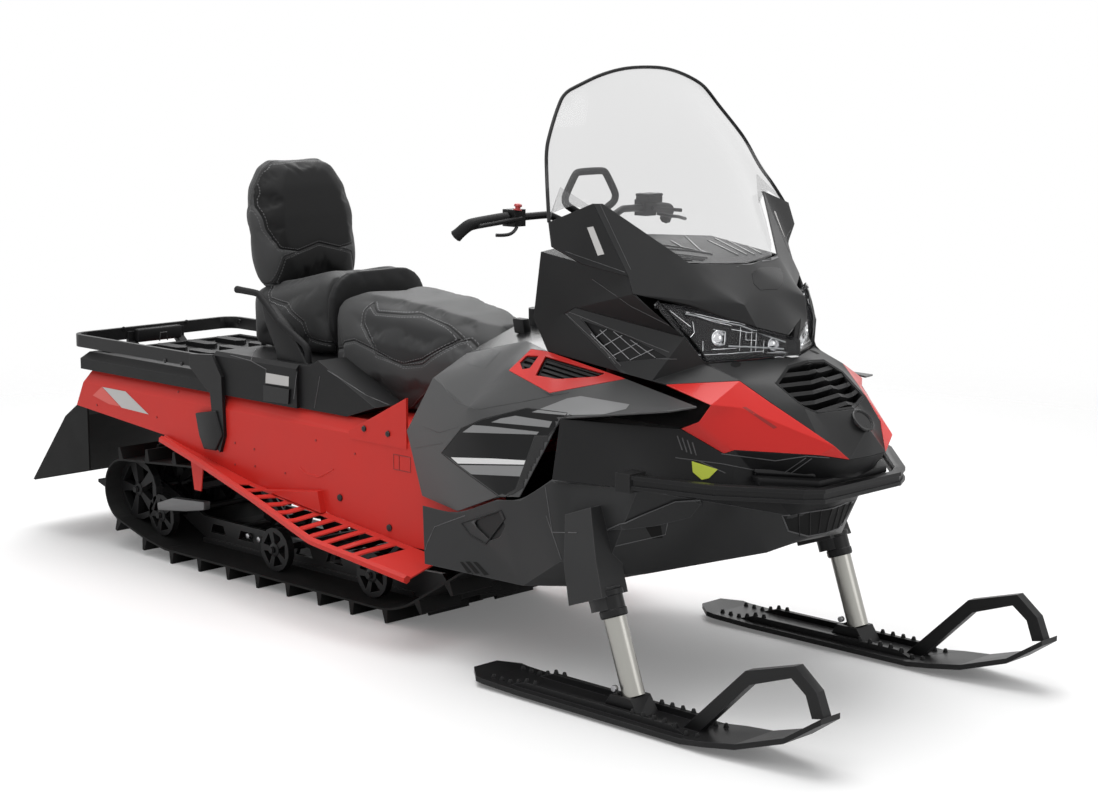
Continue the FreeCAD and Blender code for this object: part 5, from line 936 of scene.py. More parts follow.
# What is laid on a surface
class Trim:
    """What sheets, beads and studs share: a view's rays drop them on a node, on both sides or on one."""

    name: str
    finish: Finish
    both: bool
    smooth: float

    def shape(self, bench: Bench) -> bmesh.types.BMesh:
        """The piece's mesh without its mirror image, as each kind of trim makes it in its own way."""
        raise NotImplementedError

    def lay(self, bench: Bench) -> bpy.types.Object:
        """Lay the piece.

        Args:
            bench: the tools.

        Returns:
            The new object.
        """
        shape = self.shape(bench)
        if self.both:
            bench.mirrored(shape)
        return bench.finished(shape, self.name, self.finish, smooth=self.smooth)


@dataclass(frozen=True)
class Sheet(Trim):
    """A film or thin sheet, cut to an outline and into small faces that follow the surface."""

    name: str
    node: str
    finish: Finish
    spots: Line
    lift: float
    thickness: float = 0.0
    both: bool = True
    view: View = PHOTO
    smooth: float = 24.0

    def shape(self, bench: Bench) -> bmesh.types.BMesh:
        """Cut the sheet and drop it.

        Args:
            bench: the tools.

        Returns:
            The mesh.
        """
        shape = bmesh.new()
        shape.faces.new([shape.verts.new((*spot, 0)) for spot in self.spots])
        for axis in map(Vector, self.view.cuts):
            reach = [vert.co.dot(axis) for vert in shape.verts]
            place = min(reach) + self.view.step
            while place < max(reach):
                geometry = [*shape.verts, *shape.edges, *shape.faces]
                bmesh.ops.bisect_plane(shape, geom=geometry, dist=SAME_PLACE, plane_co=axis * place,
                                       plane_no=axis)
                place += self.view.step
        bmesh.ops.triangulate(shape, faces=shape.faces)
        lost = []
        for vert in shape.verts:
            hit = bench.cast(self.node, *self.view.ray(vert.co))
            if hit:
                vert.co = self.view.lifted(*hit, self.lift)
            else:
                lost.append(vert)
        bmesh.ops.delete(shape, geom=lost, context="VERTS")
        shape.normal_update()
        for face in shape.faces:
            if face.normal.dot(self.view.way_to(face.calc_center_median())) > 0:
                face.normal_flip()
        if self.thickness > 0:
            bmesh.ops.solidify(shape, geom=list(shape.faces), thickness=self.thickness)
        return shape


@dataclass(frozen=True)
class Beads(Trim):
    """One or more round beads along lines."""

    name: str
    node: str
    finish: Finish
    lines: Sequence[Line]
    radius: float
    lift: float = 0.0
    closed: bool = False
    sides: int = 1
    both: bool = True
    view: View = PHOTO
    smooth: float = 60.0

    def shape(self, bench: Bench) -> bmesh.types.BMesh:
        """Drop the lines and run the beads along them.

        Args:
            bench: the tools.

        Returns:
            The mesh.
        """
        shapes = []
        for line in self.lines:
            points = bench.laid(self.node, self.view, line, self.lift, self.closed)
            if self.both:
                points = self.halved(points)
            if len(points) > 1:
                shapes.append(bench.tube(points, self.radius, self.closed, False, self.sides))
        return bench.merged(shapes)

    def halved(self, points: Sequence[Vector]) -> list[Vector]:
        """A line that is mirrored later, kept on the side of the middle where it starts.

        Args:
            points: the line's points.

        Returns:
            The points, of which none lies over the middle.
        """
        side = 1 if points and points[0].y > 0 else -1
        return [Vector((point.x, side * max(side * point.y, 0.0), point.z)) for point in points]


@dataclass(frozen=True)
class Studs(Trim):
    """Rivets or bolt heads, each square to the surface and a little sunk in it."""

    name: str
    node: str
    finish: Finish
    spots: Line
    radius: float
    height: float
    segments: int = 12
    sunk: float = 0.3
    rounding: float = 0.35
    both: bool = True
    view: View = PHOTO
    smooth: float = 35.0

    def shape(self, bench: Bench) -> bmesh.types.BMesh:
        """Set the studs.

        Args:
            bench: the tools.

        Returns:
            The mesh.
        """
        shapes = []
        for spot in self.spots:
            hit = bench.cast(self.node, *self.view.ray(spot))
            if hit:
                place, normal = hit
                foot, top = place - normal * self.height * self.sunk, place + normal * self.height
                shapes.append(bench.rod(foot, top, self.radius, self.segments, self.height * self.rounding))
        return bench.merged(shapes)


# Sub-assemblies
SIDE_PANELS = "side_panel_left side_panel_right"
PAN = "belly_pan strut_housings"
VENT: Line = ((-0.150, 0.492), (0.150, 0.492), (0.118, 0.448), (0.060, 0.428), (-0.060, 0.428),
              (-0.118, 0.448))
VENT_BARS: tuple[Line, ...] = tuple(((y, 0.490), (y * 0.8, 0.430))
                                    for y in (-0.105, -0.070, -0.035, 0.0, 0.035, 0.070, 0.105))


@dataclass
class Bodywork:
    """Finishes of the CAD nodes, and the smooth mouldings that stand in for the faceted ones."""

    bench: Bench
    fine_edge: float = 0.8 * MM
    edge_angle: float = 34.0
    crease: float = 29.0
    bar_crease: float = 62.0
    crisp: dict[str, float] = field(default_factory=lambda: {
        "fairing": 36.0, "hood": 31.0, "side_panel_left": 33.0, "side_panel_right": 33.0, "belly_pan": 31.0,
        "hood_panels": 24.0})
    bars: tuple[tuple[str, Body], ...] = (
        ("handlebar", Body.BARS), ("grips", Body.BARS), ("grab_loop", Body.BARS),
        ("grab_handles", Body.CHASSIS), ("fuel_cap", Body.CHASSIS))
    edged: tuple[str, ...] = ("skid_wheels", "slide_rails", "controls", "hitch", "engine", "tunnel",
                              "running_boards", "track", "seat_base", "cargo_rack", "rear_deck", "ski_left",
                              "ski_right", "front_bumper", "grille", "screens", "suspension", "drive_axle",
                              "snow_flap", "tail_lamp", "reflectors")

    def dress(self) -> None:
        """Give each CAD node its finish, and soften what is seen close."""
        for name, finish in NODE_FINISHES.items():
            node = self.bench.nodes[name]
            node.data.materials.clear()
            node.data.materials.append(finish.material())
        for name, finish in PANEL_FINISHES.items():
            self.bench.moulding(name, finish, crease=self.crisp.get(name, self.crease))
        for name, body in self.bars:
            self.bench.moulding(name, NODE_FINISHES[name], body, self.bar_crease, bevel=self.fine_edge)
        for name in self.edged:
            self.soften(name)
        LOG.info("bodywork: %d nodes dressed, %d mouldings", len(NODE_FINISHES), len(self.bench.skins))

    def soften(self, name: str) -> None:
        """Join a node's loose triangles and round its sharp edges.

        Args:
            name: the node.
        """
        node = self.bench.nodes[name]
        weld = node.modifiers.new("weld", "WELD")
        weld.merge_threshold = CAD_WELD
        bevel = node.modifiers.new("soft_edges", "BEVEL")
        bevel.width = self.fine_edge
        bevel.segments = 2
        bevel.limit_method = "ANGLE"
        bevel.angle_limit = math.radians(self.edge_angle)
        bevel.harden_normals = True


@dataclass
class Shield:
    """Clear windshield with its black edge trim."""

    bench: Bench
    trim: float = 4.6 * MM
    outer: tuple[Point, ...] = (
        (0.851, 0.455, 1.192), (0.827, 0.435, 1.243), (0.799, 0.410, 1.289), (0.771, 0.385, 1.361),
        (0.753, 0.350, 1.408), (0.735, 0.310, 1.456), (0.725, 0.275, 1.497), (0.737, 0.230, 1.517),
        (0.740, 0.160, 1.541), (0.746, 0.080, 1.557), (0.748, 0.0, 1.560))

    def build(self) -> None:
        """Stand a smooth clear sheet in for the faceted one, and run the trim round its edge."""
        bench = self.bench
        bench.moulding("windshield", CLEAR_SHIELD, crease=40.0, bevel=0.4 * MM)
        half = [Vector(point) for point in self.outer]
        whole = half + [Vector((p.x, -p.y, p.z)) for p in reversed(half[:-1])]
        bench.finished(bench.tube(whole, self.trim, sides=4), "shield_trim", BLACK_PLASTIC, smooth=60.0)
        LOG.info("windshield: clear sheet and trim")


@dataclass
class Lamps:
    """Headlamps: a black bucket, chrome fittings and a clear lens over them."""

    bench: Bench
    depth: float = 12.0 * MM
    wall: float = 2.0 * MM
    heart: Point = (0.850, 0.0, 0.900)
    forward: float = 0.8
    behind: float = 10.0 * MM
    rim: tuple[tuple[float, float], ...] = (
        (0, 1.0), (0.006, 1.0), (0.007, 0.92), (0.004, 0.84), (0.003, 0.66), (0.007, 0.40), (0.008, 0.0))
    rim_steps: int = 28
    projectors: tuple[tuple[str, Spot, float], ...] = (
        ("outer", (718.5, 337.7), 0.020), ("inner", (773.8, 344.6), 0.017))
    fittings: tuple[Trim, ...] = (
        Beads("lamp_fittings", "headlamps", LAMP_CHROME, (((663.1, 307.7), (675.4, 321.5)), ((670.8, 310),
            (691.5, 326.2)), ((686.9, 311.5), (708.1, 316.2), (729.2, 321.5)), ((695.4, 315.4),
            (713.8, 321.5), (731.5, 325.4)), ((713.8, 317.7), (740.8, 323.1), (760, 327.7)), ((731.5, 329.2),
            (752.3, 333.1)), ((754.2, 330.8), (769.6, 336.9)), ((692.7, 321.5), (695.4, 332.3),
            (690.8, 337.7)), ((703.1, 340.8), (703.1, 350.8)), ((740.8, 326.9), (740, 350.8)),
            ((752.3, 329.2), (751.5, 351.5)), ((756.9, 330), (756.2, 351.5)), ((764.6, 340.8),
            (763.8, 353.1)), ((699.2, 354.6), (729.2, 353.8), (763.8, 351.5)), ((767.7, 353.1),
            (786.2, 353.1)), ((746.2, 332.3), (756.9, 333.1), (756.9, 340.8), (746.2, 340), (746.2, 332.3)),
            ((775.4, 351.5), (787.7, 352.3), (787.7, 359.2), (775.4, 357.7)), ((711.9, 349.2),
            (736.9, 348.5)), ((713.1, 329.2), (725.4, 331.5), (724.6, 344.6), (712.3, 342.3))), 1.1 * MM,
            lift=-4.0 * MM),
        Beads("lamp_light_bars", "headlamps", LAMP_LIGHT, (((686.9, 313.1), (710.8, 319.2), (740.8, 325.4),
            (767.7, 336.2), (786.2, 342.3)), ((729.2, 346.2), (760, 347.7), (784.6, 349.2))), 2.2 * MM,
            lift=-5.0 * MM))

    def build(self) -> None:
        """Build the lens, what shows through it, and the rims of the projectors."""
        bench = self.bench
        bucket = shape_of(shown(bench.moulding("headlamps", LAMP_GLASS, bevel=0.8 * MM)))
        bucket.normal_update()
        heart = Vector(self.heart)
        hidden = [face for face in bucket.faces if face.normal.dot(face.calc_center_median() - heart) < 0]
        bmesh.ops.delete(bucket, geom=hidden, context="FACES")
        bucket.normal_update()
        for vert in bucket.verts:
            vert.co -= vert.normal * self.depth
        bmesh.ops.solidify(bucket, geom=list(bucket.faces), thickness=-self.wall)
        bench.finished(bucket, "lamp_bucket", LAMP_BLACK)
        for fitting in self.fittings:
            fitting.lay(bench)
        for label, spot, radius in self.projectors:
            self.projector(label, spot, radius)
        LOG.info("headlamps: lens, bucket, fittings and four projectors")

    def projector(self, label: str, spot: Spot, radius: float) -> None:
        """A round projector with a bright rim, in both lamps.

        Args:
            label: which of a lamp's two projectors it is.
            spot: its place in the photograph.
            radius: its radius.
        """
        place, normal = self.bench.cast("headlamps", *PHOTO.ray(spot))
        way = (normal + AHEAD * self.forward).normalized()
        profile = [(along, share * radius) for along, share in self.rim]
        shape = self.bench.turned(profile, place - normal * self.behind, way, self.rim_steps)
        self.bench.finished(self.bench.mirrored(shape), f"projector_{label}", LAMP_CHROME)


@dataclass
class Cowl:
    """What is fitted to the mouldings: bare badge plates, slots, screens' lines and rims, and pale beads of
    painted highlight along creases and edges.
    """

    bench: Bench
    lips: int = 3
    lip_step: Spot = (0.022, 0.017)
    lip_start: Spot = (0.012, 0.570)
    lip_tip: float = 1.455
    lip_half: tuple[tuple[float, float, float, float], ...] = (
        (1.455, 1.0, 0.140, 0.4), (1.350, 1.0, 0.242, 0.6), (1.270, 0.0, 0.215, 0.0))
    lip_slope: float = 0.06
    lip_height: float = 0.019
    lip_bevel: float = 5.0 * MM
    disc: tuple[Spot, ...] = ((0.0, 0.0325), (0.0040, 0.0320), (0.0052, 0.0300), (0.0045, 0.0262),
                              (0.0022, 0.0250), (0.0022, 0.0))
    disc_at: Point = (1.466, 0, 0.722)
    disc_way: Point = (0.72, 0, 0.69)
    disc_sunk: float = 1.5 * MM
    plates: tuple[Trim, ...] = (
        Sheet("badge_plate", "fairing", GLOSS_BLACK, ((751.9, 273.1), (758.5, 268.1), (769.6, 266.9),
            (780, 268.5), (783.1, 274.6), (782.3, 284.6), (777.7, 289.2), (760, 290), (753.5, 283.8)),
            0.8 * MM, thickness=1.6 * MM, both=False, view=CLOSE),
        Sheet("fairing_lip", "fairing", LIP_GREY, ((729.2, 265.4), (740.8, 260), (760, 256.9), (775.4, 254.6),
            (778.5, 257.7), (770.8, 260.8), (754.2, 262.7), (737.7, 266.9)), 1.0 * MM, thickness=2.0 * MM,
            both=False, view=CLOSE))
    nose: tuple[Trim, ...] = (
        Sheet("ridge_slot", "hood_panels", RED_SHADE, ((742.3, 407.3), (745.8, 406.9), (777.3, 427.3),
            (773.5, 428.8)), 0.5 * MM),
        Sheet("hood_port", "hood shoulders", DARK_LINE, ((730.4, 364.6), (732.3, 362.3), (738.5, 361.9),
            (741.2, 363.8), (740, 366.5), (735.4, 367.7), (731.5, 366.5)), 0.6 * MM),
        # the shell's ribs and creases are pale beads: painted highlights along their edges
        Beads("shell_rib_highlights", "front_shell", PAINTED_HIGHLIGHT_GREY, (((677.3, 435.8), (682.3, 450)), ((682.3, 437.7),
            (686.9, 452.3)), ((687.3, 440), (691.5, 453.8)), ((692.3, 442.3), (696.2, 455.4))), 1.6 * MM),
        Beads("shell_crease_highlights", "front_shell", PAINTED_HIGHLIGHT_GREY, (((675.4, 457.7), (721.5, 463.8), (760, 471.2),
            (798.5, 475)), ((721.5, 453.8), (775.4, 460.8), (806.2, 456.2), (829.2, 457.7)), ((783.1, 473.8),
            (806.2, 457.7)), ((789.2, 474.6), (811.9, 458.5)), ((698.5, 460.8), (725.4, 473.1))), 1.3 * MM),
        Sheet("nose_vent", "belly_pan", DARK_LINE, VENT, 0.8 * MM, both=False, view=FROM_FRONT),
        # the vent's rim is a pale bead: a painted highlight along its border
        Beads("nose_vent_rim_highlight", "belly_pan", PAINTED_HIGHLIGHT_GREY, (VENT,), 2.0 * MM, closed=True, sides=2, both=False,
            view=FROM_FRONT),
        Beads("nose_vent_bars", "belly_pan", BLACK_PLASTIC, VENT_BARS, 1.6 * MM, 1.5 * MM, both=False,
            view=FROM_FRONT, smooth=35.0))
    shoulders: tuple[Trim, ...] = (
        Beads("screen_wires", "screens shoulders", WIRE_GREY, (((591.2, 333.8), (616.2, 359.2)), ((600, 330),
            (629.2, 359.2)), ((613.8, 331.5), (641.5, 355.4)), ((630.8, 340), (655.4, 357.7)),
            ((606.9, 329.2), (594.6, 338.5)), ((622.3, 335.4), (600.8, 347.7)), ((637.7, 343.1),
            (609.2, 357.7)), ((653.1, 349.2), (630, 360))), 1.1 * MM, lift=0.5 * MM),
        # pale beads on the shoulders' lips and the fairing's creases: painted highlights along those edges
        Beads("shoulder_lip_highlights", "shoulders", PAINTED_HIGHLIGHT_GREY, (((566.2, 313.8), (621.2, 365.8)), ((569.2, 311.9),
            (669.2, 352.3)), ((626.9, 358.1), (676.9, 359.2)), ((580.8, 317.7), (615.4, 363.8))), 1.2 * MM),
        Sheet("deflector_slot", "wind_deflectors fairing", LABEL_PALE, ((586.9, 227.7), (593.1, 226.5),
            (604.2, 254.2), (597.7, 255.8)), 0.8 * MM),
        Beads("fairing_crease_highlights", "fairing shoulders console_sides wind_deflectors", PAINTED_HIGHLIGHT_GREY,
            (((565.4, 251.5), (625, 272.3)), ((592.3, 279.2), (630.8, 306.2), (669.2, 325.4)), ((600, 204.2),
            (630.8, 269.6))), 0.8 * MM),
        Beads("dash_louvres", "dash", GLOSS_BLACK, (((707.7, 240.8), (737.7, 255.4)), ((715.4, 239.2),
            (746.9, 255.4)), ((723.1, 238.5), (754.6, 255.4)), ((731.5, 238.1), (760.8, 253.8)),
            ((684.6, 236.2), (703.8, 254.2)), ((671.2, 241.5), (696.2, 256.2))), 2.6 * MM, lift=1.0 * MM))
    sides: tuple[Trim, ...] = (
        Sheet("side_field", SIDE_PANELS, DECAL_BLACK, ((442.3, 453.1), (461.5, 428.8), (482.7, 420),
            (526.9, 408.8), (566.2, 413.8), (548.1, 435.4), (534.6, 435.4), (515.4, 489.2), (501.9, 497.3),
            (473.1, 476.2), (451.9, 459.6)), 0.5 * MM),
        Sheet("side_band", SIDE_PANELS, GLOSS_BLACK, ((566.9, 413.8), (572.3, 415.4), (527.7, 485.4),
            (503.1, 500.4), (500, 497.3), (515.4, 489.2), (535.4, 435.4), (548.1, 435.4)), 1.1 * MM),
        Sheet("side_stripe_upper", SIDE_PANELS, DECAL_PALE, ((515.4, 415.8), (552.3, 421.5), (549.2, 427.7),
            (542.3, 426.9), (491.5, 422.3), (500.8, 418.5)), 0.9 * MM),
        Sheet("side_stripe_lower", SIDE_PANELS, DECAL_PALE, ((473.1, 425), (489.2, 426.2), (539.2, 431.9),
            (536.9, 434.6), (462.7, 432.3)), 0.9 * MM),
        Sheet("side_stripe_white", SIDE_PANELS, DECAL_WHITE, ((451.2, 457.3), (492.3, 458.5), (525.8, 460.4),
            (524.2, 464.6), (458.1, 463.5)), 0.9 * MM),
        Sheet("side_stripe_low", SIDE_PANELS, DECAL_PALE, ((459.2, 465), (524.2, 465.8), (521.5, 476.5),
            (471.5, 474.2)), 0.9 * MM),
        Sheet("side_wing", SIDE_PANELS, DECAL_PALE, ((531.9, 412.3), (567.3, 398.5), (580.8, 396.2),
            (629.6, 404.6), (626.2, 409.2), (603.8, 414.6), (565.4, 415.4)), 0.9 * MM),
        Sheet("side_tank_shade", SIDE_PANELS, SIDE_SHADE, ((460.8, 361.5), (471.2, 353.8), (492.3, 349.2),
            (500.8, 350.8), (485.4, 368.5), (475.4, 366.2)), 0.5 * MM),
        Beads("side_field_rim", SIDE_PANELS, GLOSS_BLACK, (((441.5, 453.1), (461.5, 428.1), (482.3, 419.2),
            (526.9, 408.1), (567.7, 413.1), (548.5, 436.2), (535.4, 436.2), (516.2, 490.8), (501.9, 498.8),
            (472.3, 477.3), (450.8, 460.8)),), 1.5 * MM, closed=True, sides=2),
        Beads("side_creases", SIDE_PANELS, SIDE_SHADE, (((434.6, 373.1), (453.8, 400.8), (476.9, 409.6),
            (526.9, 400.8), (569.2, 392.3)), ((410.8, 450), (417.3, 480.8), (423.1, 507.7)), ((423.1, 426.9),
            (438.5, 432.7), (457.7, 426.9)), ((415.4, 448.1), (442.3, 443.1))), 1.0 * MM))
    pan: tuple[Trim, ...] = (
        Beads("pan_recess_rim", PAN, BLACK_PLASTIC, (((461.5, 523.1), (501.2, 510.4), (505, 518.8),
            (485.8, 543.8), (470.4, 535)),), 2.4 * MM, closed=True, sides=2),
        Sheet("pan_slot_0", PAN, DARK_LINE, ((460, 561.9), (463.1, 561.9), (475.4, 576.2), (470, 576.2)),
            0.8 * MM),
        Sheet("pan_slot_1", PAN, DARK_LINE, ((465.4, 561.5), (470, 561.5), (482.3, 575.8), (477.7, 576.2)),
            0.8 * MM),
        Sheet("pan_slot_2", PAN, DARK_LINE, ((473.1, 561.9), (476.9, 561.9), (489.2, 574.6), (484.6, 575.4)),
            0.8 * MM),
        # pale beads along the pan's and tower's edges: painted highlights
        Beads("pan_edge_highlights", PAN, PAINTED_HIGHLIGHT_GREY, (((530.8, 493.1), (547.7, 480.4), (587.3, 481.5)), ((544.6, 482.3),
            (552.3, 532.3)), ((551.5, 532.3), (576.9, 532.7)), ((587.3, 481.5), (633.8, 463.8)),
            ((427.7, 542.3), (434.6, 526.9), (465.4, 515.4)), ((423.1, 557.7), (427.7, 542.3)),
            ((546.2, 515.4), (561.5, 559.6)), ((669.2, 515.4), (665.4, 534.6), (615.4, 546.2))), 1.3 * MM),
        Sheet("pan_fin", PAN, PAN_GREY, ((606.2, 530.8), (640, 515.4), (675.4, 500.8), (704.6, 499.2),
            (690.8, 516.5), (654.2, 525.4)), 5.0 * MM, thickness=5.0 * MM),
        # pale bead along the fin's upper edge: a painted highlight
        Beads("pan_fin_edge_highlight", PAN, PAINTED_HIGHLIGHT_GREY, (((606.2, 530.8), (640, 515.4), (675.4, 500.8),
            (704.6, 499.2)),), 1.6 * MM, lift=5.0 * MM),
        Sheet("pan_notch", PAN, DARK_LINE, ((645.4, 526.9), (660.8, 525.8), (662.7, 537.7), (652.3, 538.5)),
            0.8 * MM))

    def build(self) -> None:
        """Fit every detail of the cowl."""
        for plate in self.plates:
            plate.lay(self.bench)
        for step in range(self.lips):
            self.lip(step)
        self.hood_disc()
        for trim in self.nose + self.shoulders + self.sides + self.pan:
            trim.lay(self.bench)
        LOG.info("cowl: nose, shoulders, sides and pan are fitted")

    def lip(self, step: int) -> None:
        """One of the nose's stacked lips, which lean back and narrow upward.

        Args:
            step: its place in the stack, from below.
        """
        inset, low = (start + rise * step for start, rise in zip(self.lip_start, self.lip_step))
        half = [(x - inset * back, y - inset * narrow) for x, back, y, narrow in self.lip_half]
        ring = half + [(x, -y) for x, y in reversed(half)]
        corners_of_lip = [Vector((x, y, low + (self.lip_tip - x) * self.lip_slope)) for x, y in ring]
        shape = self.bench.slab(corners_of_lip, UP * self.lip_height, self.lip_bevel)
        self.bench.finished(shape, f"nose_lip_{step}", GLOSS_BLACK if step == 1 else BLACK_PLASTIC)

    def hood_disc(self) -> None:
        """The bare disc on the hood's slope."""
        slope = Vector(self.disc_way)
        place, _ = self.bench.cast("hood", Vector(self.disc_at) + slope, -slope)
        shape = self.bench.turned(self.disc, place - slope * self.disc_sunk, slope, FINE_TURN)
        self.bench.finished(shape, "hood_disc", GLOSS_BLACK)


@dataclass
class Cockpit:
    """Switches, reservoir and levers on the bars, and the console's key block."""

    bench: Bench
    button: tuple[Spot, ...] = ((0.0, 0.011), (0.004, 0.011), (0.005, 0.007), (0.009, 0.007), (0.011, 0.011),
                                (0.016, 0.010), (0.018, 0.006), (0.018, 0.0))
    button_at: Spot = (0.545, -0.262)
    button_sunk: float = 2.0 * MM
    button_way: Point = (0, 0.15, 1)
    brake: tuple[Point, ...] = ((0.560, 0.262, 1.158), (0.578, 0.292, 1.150), (0.572, 0.335, 1.146),
                                (0.558, 0.375, 1.138), (0.552, 0.388, 1.136))
    brake_radius: float = 5.0 * MM
    thumb: tuple[Point, ...] = ((0.548, -0.268, 1.150), (0.560, -0.290, 1.138), (0.556, -0.318, 1.132),
                                (0.545, -0.340, 1.134))
    thumb_radius: float = 4.5 * MM
    tank: tuple[Spot, ...] = ((0.505, 0.232), (0.555, 0.232), (0.555, 0.292), (0.505, 0.292))
    tank_layers: tuple[tuple[float, float, float, int], ...] = (
        (1.186, 0.020, 5.0 * MM, 3), (1.204, 0.008, 2.5 * MM, 2))
    screws: tuple[Spot, ...] = ((0.515, 0.242), (0.545, 0.282))
    screw_low: float = 1.210
    screw_height: float = 4.0 * MM
    screw_radius: float = 4.0 * MM
    screw_bevel: float = 1.0 * MM
    key_at: Spot = (0.420, -0.120)
    key_base: tuple[Point, ...] = ((-0.020, -0.014, -0.004), (0.020, -0.014, -0.004), (0.020, 0.014, -0.004),
                                   (-0.020, 0.014, -0.004))
    key_depth: Point = (-0.008, 0, 0.040)
    key_bevel: float = 4.0 * MM

    def build(self) -> None:
        """Build the button, the levers, the reservoir and the key block."""
        bench = self.bench
        place, _ = bench.cast("controls", *FROM_ABOVE.ray(self.button_at))
        stop = bench.turned(self.button, place - UP * self.button_sunk, Vector(self.button_way), COARSE_TURN)
        bench.finished(stop, "stop_button", SWITCH_RED, Body.BARS)
        for name, line, radius in (("brake_lever", self.brake, self.brake_radius),
                                   ("thumb_lever", self.thumb, self.thumb_radius)):
            lever = bench.tube([Vector(point) for point in line], radius)
            bench.finished(lever, name, BOLT_DARK, Body.BARS, 60.0)
        self.reservoir()
        place, _ = bench.cast("tank_cover console_sides side_panel_right seat_base dash",
                              *FROM_ABOVE.ray(self.key_at))
        base = [place + Vector(point) for point in self.key_base]
        block = bench.slab(base, Vector(self.key_depth), self.key_bevel)
        bench.finished(block, "ignition_block", BLACK_PLASTIC)
        LOG.info("cockpit: stop button, levers, reservoir and ignition block")

    def reservoir(self) -> None:
        """The brake fluid reservoir with its lid and screws, on the left of the bar."""
        bench = self.bench
        layers = [bench.slab([Vector((*spot, low)) for spot in self.tank], UP * height, bevel, segments)
                  for low, height, bevel, segments in self.tank_layers]
        feet = [Vector((*spot, self.screw_low)) for spot in self.screws]
        screws = [bench.rod(foot, foot + UP * self.screw_height, self.screw_radius, 12, self.screw_bevel)
                  for foot in feet]
        bench.finished(bench.merged(layers), "reservoir", BLACK_PLASTIC, Body.BARS)
        bench.finished(bench.merged(screws), "reservoir_screws", BOLT_STEEL, Body.BARS)


@dataclass
class Tail:
    """Rack bolts and plates, rear lamp box, ring, storage latch and its blank plate."""

    bench: Bench
    lamp_box: tuple[Spot, ...] = ((-0.088, 0.640), (0.088, 0.640), (0.088, 0.684), (-0.088, 0.684))
    lamp_box_x: float = -1.462
    lamp_box_depth: float = 0.030
    lamp_box_bevel: float = 6.0 * MM
    leg_plate: tuple[Spot, ...] = (
        (-0.774, 0.513), (-0.672, 0.532), (-0.641, 0.461), (-0.677, 0.409), (-0.735, 0.407), (-0.757, 0.446))
    leg_plate_sizes: tuple[float, float, float] = (0.331, 0.013, 4.0 * MM)
    bracket_sizes: tuple[float, float, float] = (0.266, 0.028, 7.0 * MM)
    bracket: tuple[Spot, ...] = (
        (-0.505, 0.872), (-0.462, 0.868), (-0.350, 0.775), (-0.292, 0.705), (-0.300, 0.655), (-0.425, 0.655),
        (-0.440, 0.735), (-0.480, 0.800))
    ring: tuple[Spot, ...] = ((-0.016, 0.641), (-0.012, 0.668), (0.012, 0.668), (0.016, 0.641))
    ring_x: float = -1.415
    ring_radius: float = 2.2 * MM
    trims: tuple[Trim, ...] = (
        Studs("rack_bolts", "cargo_rack", BOLT_DARK, ((165.4, 360.8), (181.9, 363.8), (186.2, 321.5),
            (240, 320.8)), 6.5 * MM, 4.0 * MM),
        Sheet("blank_plate", "seat_base", LABEL_PALE, ((-0.444, 0.670), (-0.336, 0.670), (-0.338, 0.641),
            (-0.446, 0.639)), 0.8 * MM, view=FROM_LEFT),
        Sheet("latch", "seat_base", GLOSS_BLACK, ((-0.450, 0.634), (-0.330, 0.634), (-0.336, 0.590),
            (-0.452, 0.586)), 6.0 * MM, thickness=6.0 * MM, view=FROM_LEFT),
        # pale beads along the storage base's creases: painted highlights on its relief
        Beads("base_crease_highlights", "seat_base", PAINTED_HIGHLIGHT_GREY, (((230.8, 355.4), (250.8, 360.8), (266.2, 369.2)),
            ((266.2, 369.2), (264.6, 395.4)), ((296.9, 371.5), (293.8, 399.2)), ((320, 376.2),
            (313.1, 416.2)), ((327.7, 370.4), (366.2, 395.4), (389.2, 405)), ((250.8, 360.8),
            (255.4, 349.2))), 1.3 * MM))

    def build(self) -> None:
        """Build the rear details."""
        bench = self.bench
        for trim in self.trims:
            trim.lay(bench)
        box = bench.slab([Vector((self.lamp_box_x, *spot)) for spot in self.lamp_box],
                         AHEAD * self.lamp_box_depth, self.lamp_box_bevel, 3)
        bench.finished(box, "rack_lamp_box", BLACK_PLASTIC)
        self.pair("rack_plates", self.leg_plate, self.leg_plate_sizes, BLACK_STEEL)
        self.pair("handle_brackets", self.bracket, self.bracket_sizes, BLACK_PLASTIC)
        bends = [Vector((self.ring_x, *spot)) for spot in self.ring]
        ring = bench.tube(bends, self.ring_radius, curved=False)
        bench.finished(ring, "deck_ring", BOLT_DARK, smooth=60.0)
        LOG.info("tail: rack bolts, lamp box, ring, latch and blank plate")

    def pair(self, name: str, outline: Line, sizes: tuple[float, float, float], finish: Finish) -> None:
        """A plate on the left side and its mirror image.

        Args:
            name: the piece's name.
            outline: the plate's corners in (x, z).
            sizes: where its inner face lies, its thickness and the radius of its rounded edges.
            finish: its finish.
        """
        y, thickness, bevel = sizes
        shape = self.bench.slab([Vector((x, y, z)) for x, z in outline], LEFTWARD * thickness, bevel, 3)
        self.bench.finished(self.bench.mirrored(shape), name, finish)


